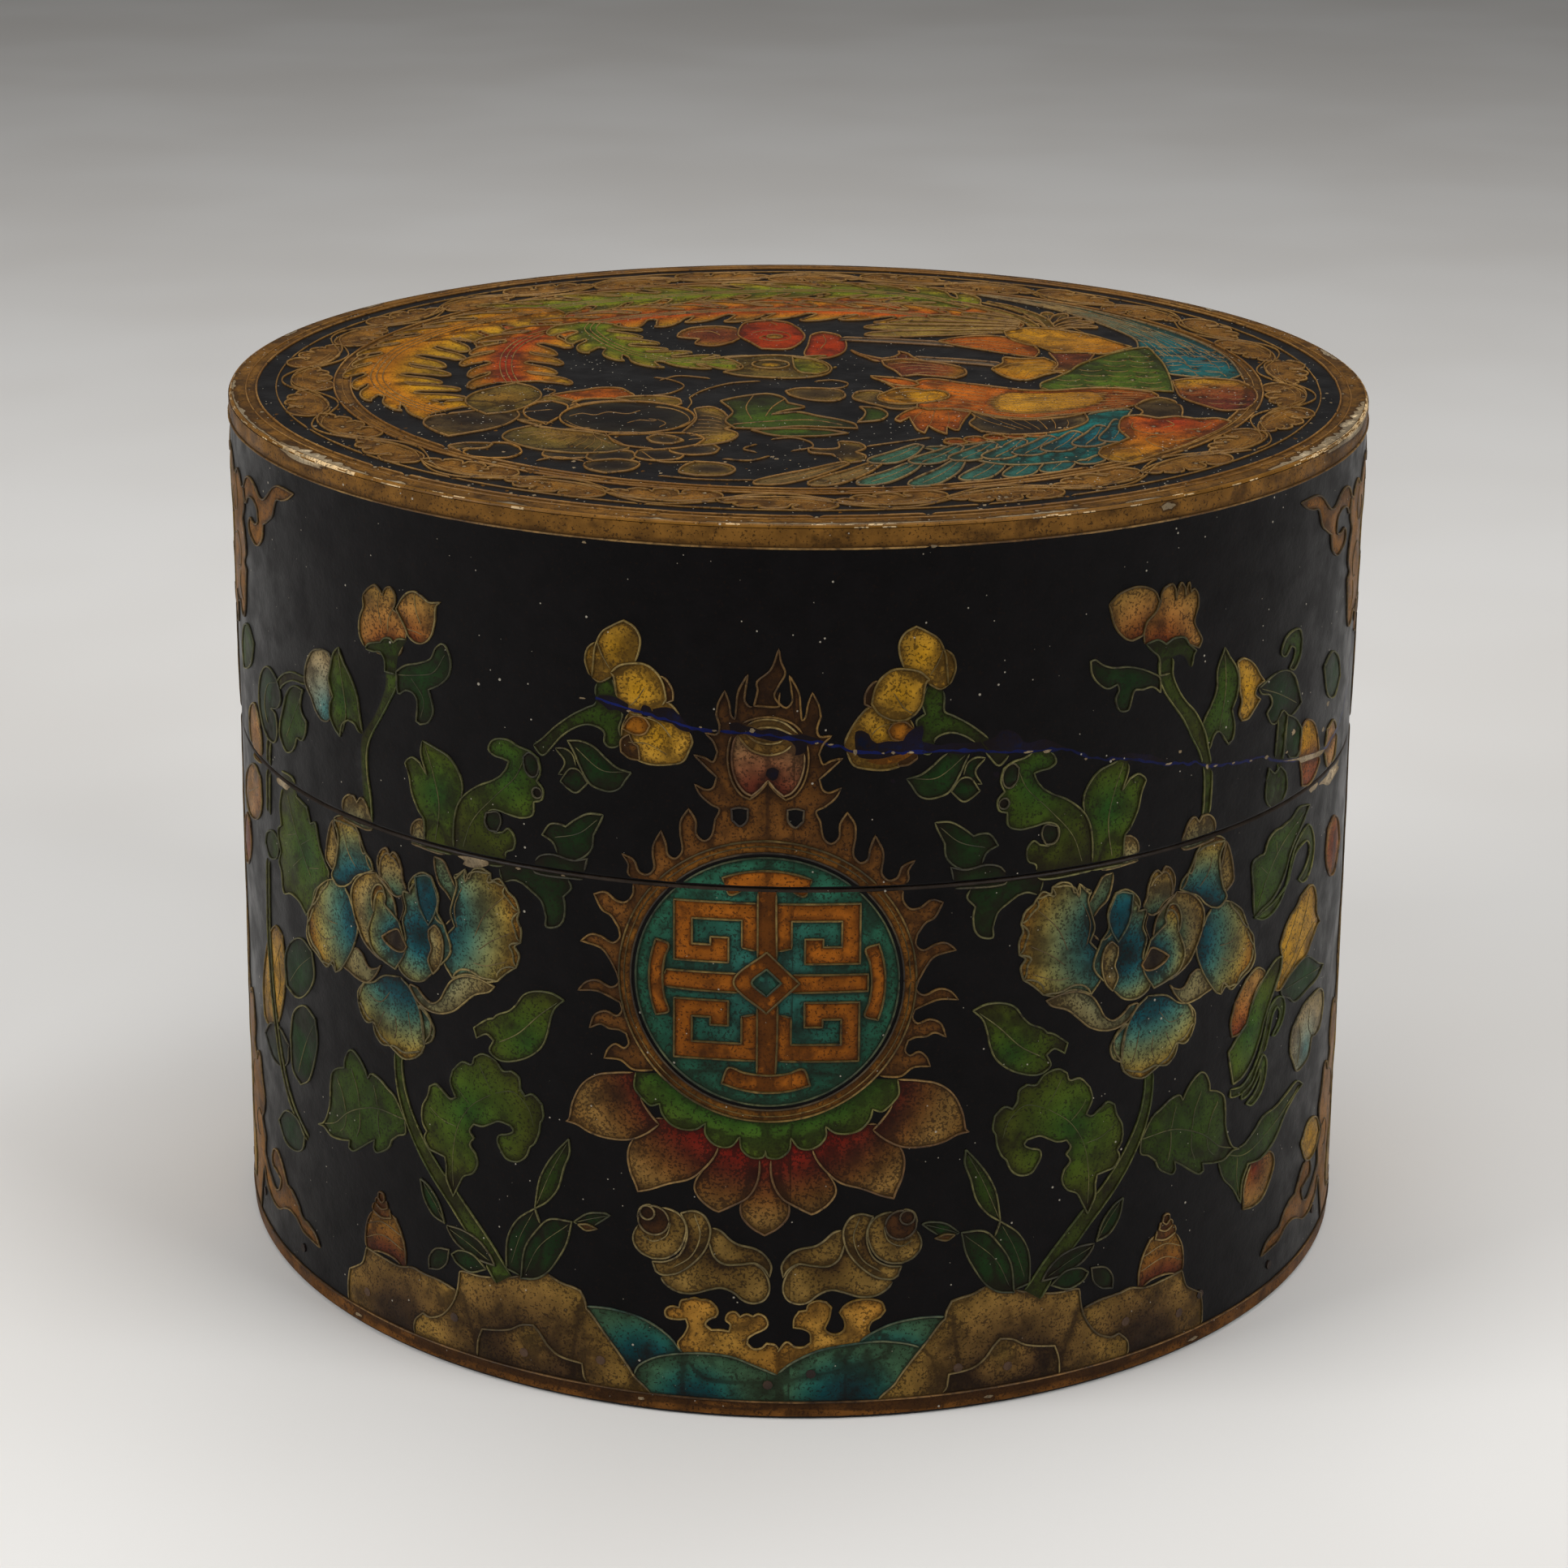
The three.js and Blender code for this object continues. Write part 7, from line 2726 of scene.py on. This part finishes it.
def own(piece: bpy.types.Object, body: str, slot: str, *nodes: str) -> bpy.types.Object:
    """Puts a piece on its body, hides the CAD nodes that it stands for, and reports it.

    Args:
        piece: The piece.
        body: The body that it rides.
        slot: Not used.
        *nodes: The CAD nodes that it stands for.

    Returns:
        The piece.
    """
    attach(piece, body)
    if nodes:
        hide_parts(*nodes)
    log.info("%s: %d faces", piece.name, len(piece.data.polygons))
    return piece


class Finish(Enum):
    """The finishes of the box."""

    PAINTED = PaintedLacquer()
    TOP = PaintedLacquer("painted_top", dust_size=0.0024, dust=0.8, dust_spread=0.58)
    LINES = ThreadLacquer()
    TOP_LINES = ThreadLacquer("gilt_lines", gilt=0.28)
    PLAIN = PlainLacquer()
    BOARD = Timber("bare_board", "b08a5c", "7c5a34", 6.0)
    BAMBOO = Timber("split_bamboo", "b89c64", "80683a", 9.0, (30.0, 30.0, 4.0))
    PEG = Timber("stained_pegs", "4a3422", "1e140e", 9.0, (60.0, 60.0, 60.0))

    def material(self) -> bpy.types.Material:
        """The material, built the first time that it is asked for."""
        return bpy.data.materials.get(self.value.name) or self.value.material()


def dress(finishes: dict[str, Finish]) -> None:
    """Gives CAD nodes their finishes and reports them.

    Args:
        finishes: A finish for each way that the nodes' names start.
    """
    for name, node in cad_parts.items():
        for start, finish in finishes.items():
            if name.startswith(start):
                for slot in node.material_slots:
                    slot.material = finish.material()
                log.info("%s: %s", name, finish.material().name)


@dataclass(frozen=True)
class WallChart:
    """Where half of a painted wall lies on its texture: its left half in one row, its right in another."""

    low: float
    high: float
    row: float

    def __call__(self, points: np.ndarray) -> np.ndarray:
        """Texture places for points of the drawing.

        Args:
            points: One point per row.

        Returns:
            One texture place per row.
        """
        half = HALF_TURN / 2
        right = points[:, 0] >= 0
        round_half = np.where(right, points[:, 0], points[:, 0] + half) / half
        up = (points[:, 1] - self.low) / (self.high - self.low)
        across = TEXTURE_MARGIN + (1 - 2 * TEXTURE_MARGIN) * round_half
        along = TEXTURE_MARGIN + self.row * up + right * (self.row + 2 * TEXTURE_MARGIN)
        return np.stack([across, along], 1)


def top_chart(points: np.ndarray) -> np.ndarray:
    """Texture places for points of the top."""
    return 0.5 + points / (2 * SIZES.radius) * (1 - 2 * TEXTURE_MARGIN)


@dataclass
class Wall:
    """One round wall, painted as a front panel and a back panel."""

    body: str
    low: float
    high: float
    row: float
    radius: Callable[[np.ndarray], np.ndarray]
    across: int = 145
    rows: int = 40

    def region(self) -> np.ndarray:
        """The edge of a panel, with points closely spaced along it.

        Returns:
            One point per row, in order round the edge.
        """
        half = HALF_TURN / 2
        across = np.linspace(-half, half, self.across)
        bottom = np.stack([across, np.full(self.across, self.low)], 1)
        top = np.stack([across, np.full(self.across, self.high)], 1)
        rows = np.linspace(self.low, self.high, self.rows)[1:-1]
        left = np.stack([np.full(len(rows), -half), rows], 1)
        right = np.stack([np.full(len(rows), half), rows], 1)
        return np.vstack([bottom, right, top[::-1], left[::-1]])

    def build(
        self, drawings: dict[str, list[Shape]], profiles: Sequence[tuple[Sequence[Point], Paint, Point]],
        worn: Sequence[tuple[float, float, float]] = (),
    ) -> None:
        """Builds the painted skin, its plain edges and inside, and the raised lines.

        Args:
            drawings: The drawing of each side.
            profiles: Turned surfaces that close the wall, each with its colour and its rows on the texture.
            worn: Where the gilded ones are worn to the gesso.
        """
        for side, shapes in drawings.items():
            turn = 180.0 if side == "back" else 0.0
            seams = (((0.0, self.low), (0.0, self.high)),)
            chart = WallChart(self.low, self.high, self.row)
            surface = WallSurface(self.radius, math.radians(turn))
            skin, lines = Panel(surface, self.region(), shapes, chart, seams).parts()
            for profile, tone, rows in profiles:
                gone = worn if tone is Paint.GILDING else ()
                sweep(skin, profile, turn - 90, turn + 90, self.across - 1, tone, rows, gone)
            node = f"{self.body}_wall"
            painted = skin.build(f"{self.body}_lacquer_{side}", Finish.PAINTED.material())
            own(painted, self.body, "black_lacquer", node)
            raised = lines.build(f"{self.body}_outlines_{side}", Finish.LINES.material())
            own(raised, self.body, "black_lacquer", node)


def rounded(
    radius: float, height: float, size: float, start: float, end: float, count: int = 5
) -> list[Point]:
    """Points round an edge.

    Args:
        radius: The centre's radius.
        height: The centre's height.
        size: The edge's own radius.
        start: Degrees from straight out, at the first point.
        end: Degrees at the last point.
        count: How many points.

    Returns:
        Radii and heights.
    """
    return [(radius + r, height + z) for r, z in arc((0, 0), size, start, end, count)]


def hoop(
    name: str, body: str, inner: float, outer: float, low: float, high: float, node: str,
    neck: Point | None = None,
) -> None:
    """Builds a plain hoop, which can be narrower outside from some height up.

    Args:
        name: The piece's name.
        body: The body that it rides.
        inner: Its inside radius in millimetres.
        outer: Its outside radius.
        low: The height of its lower edge.
        high: The height of its upper edge.
        node: The CAD node that it stands for.
        neck: The outside radius above a height, and that height.
    """
    edge = 0.8
    top = neck[0] if neck else outer
    profile = [(outer, low)]
    if neck:
        profile += [(outer, neck[1] - 0.2), (top, neck[1] + 0.1)]
    profile += rounded(top - edge, high - edge, edge, 0, 90)
    profile += rounded(inner + edge, high - edge, edge, 90, 180)
    profile += [(inner, low), (outer, low)]
    parts = Parts()
    sweep(parts, profile, -180, 180, 240, Paint.GROUND, (0.01, 0.99))
    own(parts.build(name, Finish.PLAIN.material()), body, "black_lacquer", node)


@dataclass(frozen=True)
class Body:
    """The lower part of the box."""

    sizes: BoxSizes = SIZES
    foot_edge: float = 0.9
    rim_edge: float = 0.9

    def wall(self) -> None:
        """The painted wall with its rim, its inside and its foot."""
        size, foot = self.sizes, self.foot_edge
        high = size.seam - self.rim_edge
        rim = size.body_radius(high)
        low = size.body_radius(foot)
        edge = rounded(rim - self.rim_edge, high, self.rim_edge, 0, 90)
        profile = [
            edge[-1], (size.bore + 0.5, size.seam), (size.bore, size.seam - 0.5),
            (size.bore, size.seam / 2), (size.bore, 0.4), (size.bore + 0.4, 0.0),
            *rounded(low - foot, foot, foot, -90, 0, 4),
        ]
        drawings = {"front": WallPainting().shapes(), "back": WallPainting(worn=False).shapes()}
        wall = Wall("body", foot, high, 0.38, size.body_radius)
        # The rim edge takes the lighter rim colour, partly wear and partly a painted highlight.
        wall.build(drawings, [(edge, Paint.WORN, (0.8, 0.81)), (profile, Paint.GROUND, (0.82, 0.98))])

    def build(self) -> None:
        """Builds the wall and the collar, and dresses the boards, the dowels and the pegs."""
        self.wall()
        size = self.sizes
        places = [corner.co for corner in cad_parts["body_collar"].data.vertices]
        above = [place for place in places if place.z > size.seam * MM + 0.002]
        neck = (max(math.hypot(place.x, place.y) for place in above) / MM, size.seam)
        outer, low, high = size.board_radius, size.collar_low, size.collar_top
        hoop("collar", "body", outer - size.hoop_thickness, outer, low, high, "body_collar", neck)
        dress({"bottom_plank": Finish.BOARD, "bottom_dowel": Finish.BAMBOO, "bottom_peg": Finish.PEG})


@dataclass(frozen=True)
class Lid:
    """The tall lid."""

    sizes: BoxSizes = SIZES
    edge: float = 0.9
    skin: float = 0.12
    worn: tuple[tuple[float, float, float], ...] = (
        (-90, -59, 0.2), (-60, -46, 0.8), (-46, -20, 0.08), (-8, 8, 0.12), (20, 57, 0.1),
        (57, 83, 0.65), (83, 100, 0.2), (150, 158, 0.5), (200, 206, 0.4), (240, 262, 0.15),
    )

    def wall(self) -> None:
        """The painted wall with its edges and its inside."""
        size, edge = self.sizes, self.edge
        low, high = size.seam + edge, size.height - edge
        above = rounded(size.radius - edge, high + self.skin, edge, 0, 90)
        inside_wall = [
            (size.bore, size.height - 0.2), (size.bore, low + 20), (size.bore, size.seam + 0.5),
            (size.bore + 0.5, size.seam),
            *rounded(size.radius - edge, low, edge, -90, 0, 4),
        ]
        drawings = {"front": WallPainting().shapes(), "back": WallPainting(worn=False).shapes()}
        wall = Wall("lid", low, high, 0.36, lambda height: size.radius + 0 * height)
        profiles = [(above, Paint.GILDING, (0.94, 0.98)), (inside_wall, Paint.GROUND, (0.78, 0.93))]
        wall.build(drawings, profiles, self.worn)

    def top(self) -> None:
        """The painted skin over the boards, with its raised lines."""
        size = self.sizes
        edge = np.array(arc((0, 0), size.radius - self.edge, 0, 360, 289)[:-1])
        surface = TopSurface(size.height + self.skin)
        skin, lines = Panel(surface, edge, TopPainting().shapes(), top_chart).parts()
        painted = skin.build("lid_top_lacquer", Finish.TOP.material())
        own(painted, "lid", "black_lacquer")
        raised = lines.build("lid_top_outlines", Finish.TOP_LINES.material())
        own(raised, "lid", "black_lacquer")

    def build(self) -> None:
        """Builds the wall, the top and the ledge, and dresses the boards and the dowels."""
        self.wall()
        self.top()
        size = self.sizes
        inner = size.board_radius - size.hoop_thickness
        hoop("ledge", "lid", inner, size.board_radius, size.ledge_low, size.board_under, "lid_ledge")
        dress({"lid_plank": Finish.PLAIN, "lid_dowel": Finish.BAMBOO})


# The studio


@dataclass(frozen=True)
class Studio:
    """The floor, the backdrop, the lamps and the camera."""

    focal: float = 4600.0
    eye: tuple[float, float, float] = (0.0, -1.16725, 0.54379)
    aim: tuple[float, float, float] = (-0.00353, 0.0, 0.13628)
    roll: float = 0.0082
    sensor: float = 36.0
    near: float = 0.05
    floor_rings: tuple[float, ...] = (4000.0, 600.0, 0.0)
    floor_level: float = -0.2
    surround: float = 0.12
    backdrop: float = 0.68
    glossy_share: float = 0.08
    lamp_aim: tuple[float, float, float] = (0.0, 0.0, 0.15)

    def camera(self) -> None:
        """Places the camera as the photograph was taken."""
        lens = bpy.data.cameras.new("view")
        lens.sensor_width = self.sensor
        lens.lens = self.focal / PHOTO_SIDE * self.sensor
        lens.clip_start = self.near
        made = bpy.data.objects.new("view", lens)
        bpy.context.scene.collection.objects.link(made)
        look = (Vector(self.aim) - Vector(self.eye)).to_track_quat("-Z", "Y").to_matrix().to_4x4()
        made.matrix_world = Matrix.Translation(self.eye) @ look @ Matrix.Rotation(self.roll, 4, "Z")
        bpy.context.scene.camera = made

    def floor(self) -> None:
        """A wide pale floor."""
        parts = Parts()
        rings = [(radius, self.floor_level) for radius in self.floor_rings]
        sweep(parts, rings, -180, 180, 72, Paint.GESSO, (0.0, 1.0))
        made, nodes = new_finish("floor")
        base = nodes.blend(nodes.band(nodes.noise(3.0, 2.0), 0.3, 0.7), linear("dddad6"), linear("e4e2df"))
        nodes.finish(base, 0.7, 0.2)
        floor = parts.build("floor", made)

    def world(self) -> None:
        """A pale even surround that gives little light of its own."""
        world = bpy.data.worlds.new("surround")
        bpy.context.scene.world = world
        world.use_nodes = True
        nodes = NodeMaker(world.node_tree)
        path = nodes.node("ShaderNodeLightPath").outputs
        seen = nodes.maths("MAXIMUM", path["Is Camera Ray"], path["Is Transmission Ray"])
        seen = nodes.maths("MAXIMUM", seen, nodes.maths("MULTIPLY", path["Is Glossy Ray"], self.glossy_share))
        strength = nodes.maths("ADD", self.surround, nodes.maths("MULTIPLY", seen, self.backdrop))
        light = nodes.node("ShaderNodeBackground", None, Color=(*linear("f2f1ef"), 1.0), Strength=strength)
        nodes.node("ShaderNodeOutputWorld", None, Surface=light.outputs[0])

    def lamp(self, name: str, spot: Vector, size: float, power: float) -> None:
        """A square soft lamp that faces the box.

        Args:
            name: The lamp's name.
            spot: Its place in metres.
            size: Its width in metres.
            power: Its power in watts.
        """
        data = bpy.data.lights.new(name, "AREA")
        data.size = size
        data.energy = power
        made = bpy.data.objects.new(name, data)
        bpy.context.scene.collection.objects.link(made)
        look = (Vector(self.lamp_aim) - spot).to_track_quat("-Z", "Y").to_matrix().to_4x4()
        made.matrix_world = Matrix.Translation(spot) @ look

    def build(self) -> None:
        """Sets the studio up."""
        self.floor()
        self.world()
        self.camera()
        self.lamp("left", Vector((-1.9, -0.9, 1.3)), 1.2, 34.0)
        self.lamp("right", Vector((1.7, -1.1, 1.5)), 1.2, 30.0)
        self.lamp("above", Vector((0.1, 0.3, 2.4)), 1.6, 30.0)
        bpy.context.scene.view_settings.view_transform = "Standard"


def main() -> None:
    """Builds the box and its studio."""
    logging.basicConfig(level=logging.INFO, format="%(name)s: %(message)s")
    Body().build()
    Lid().build()
    Studio().build()


if __name__ == "__main__":
    main()
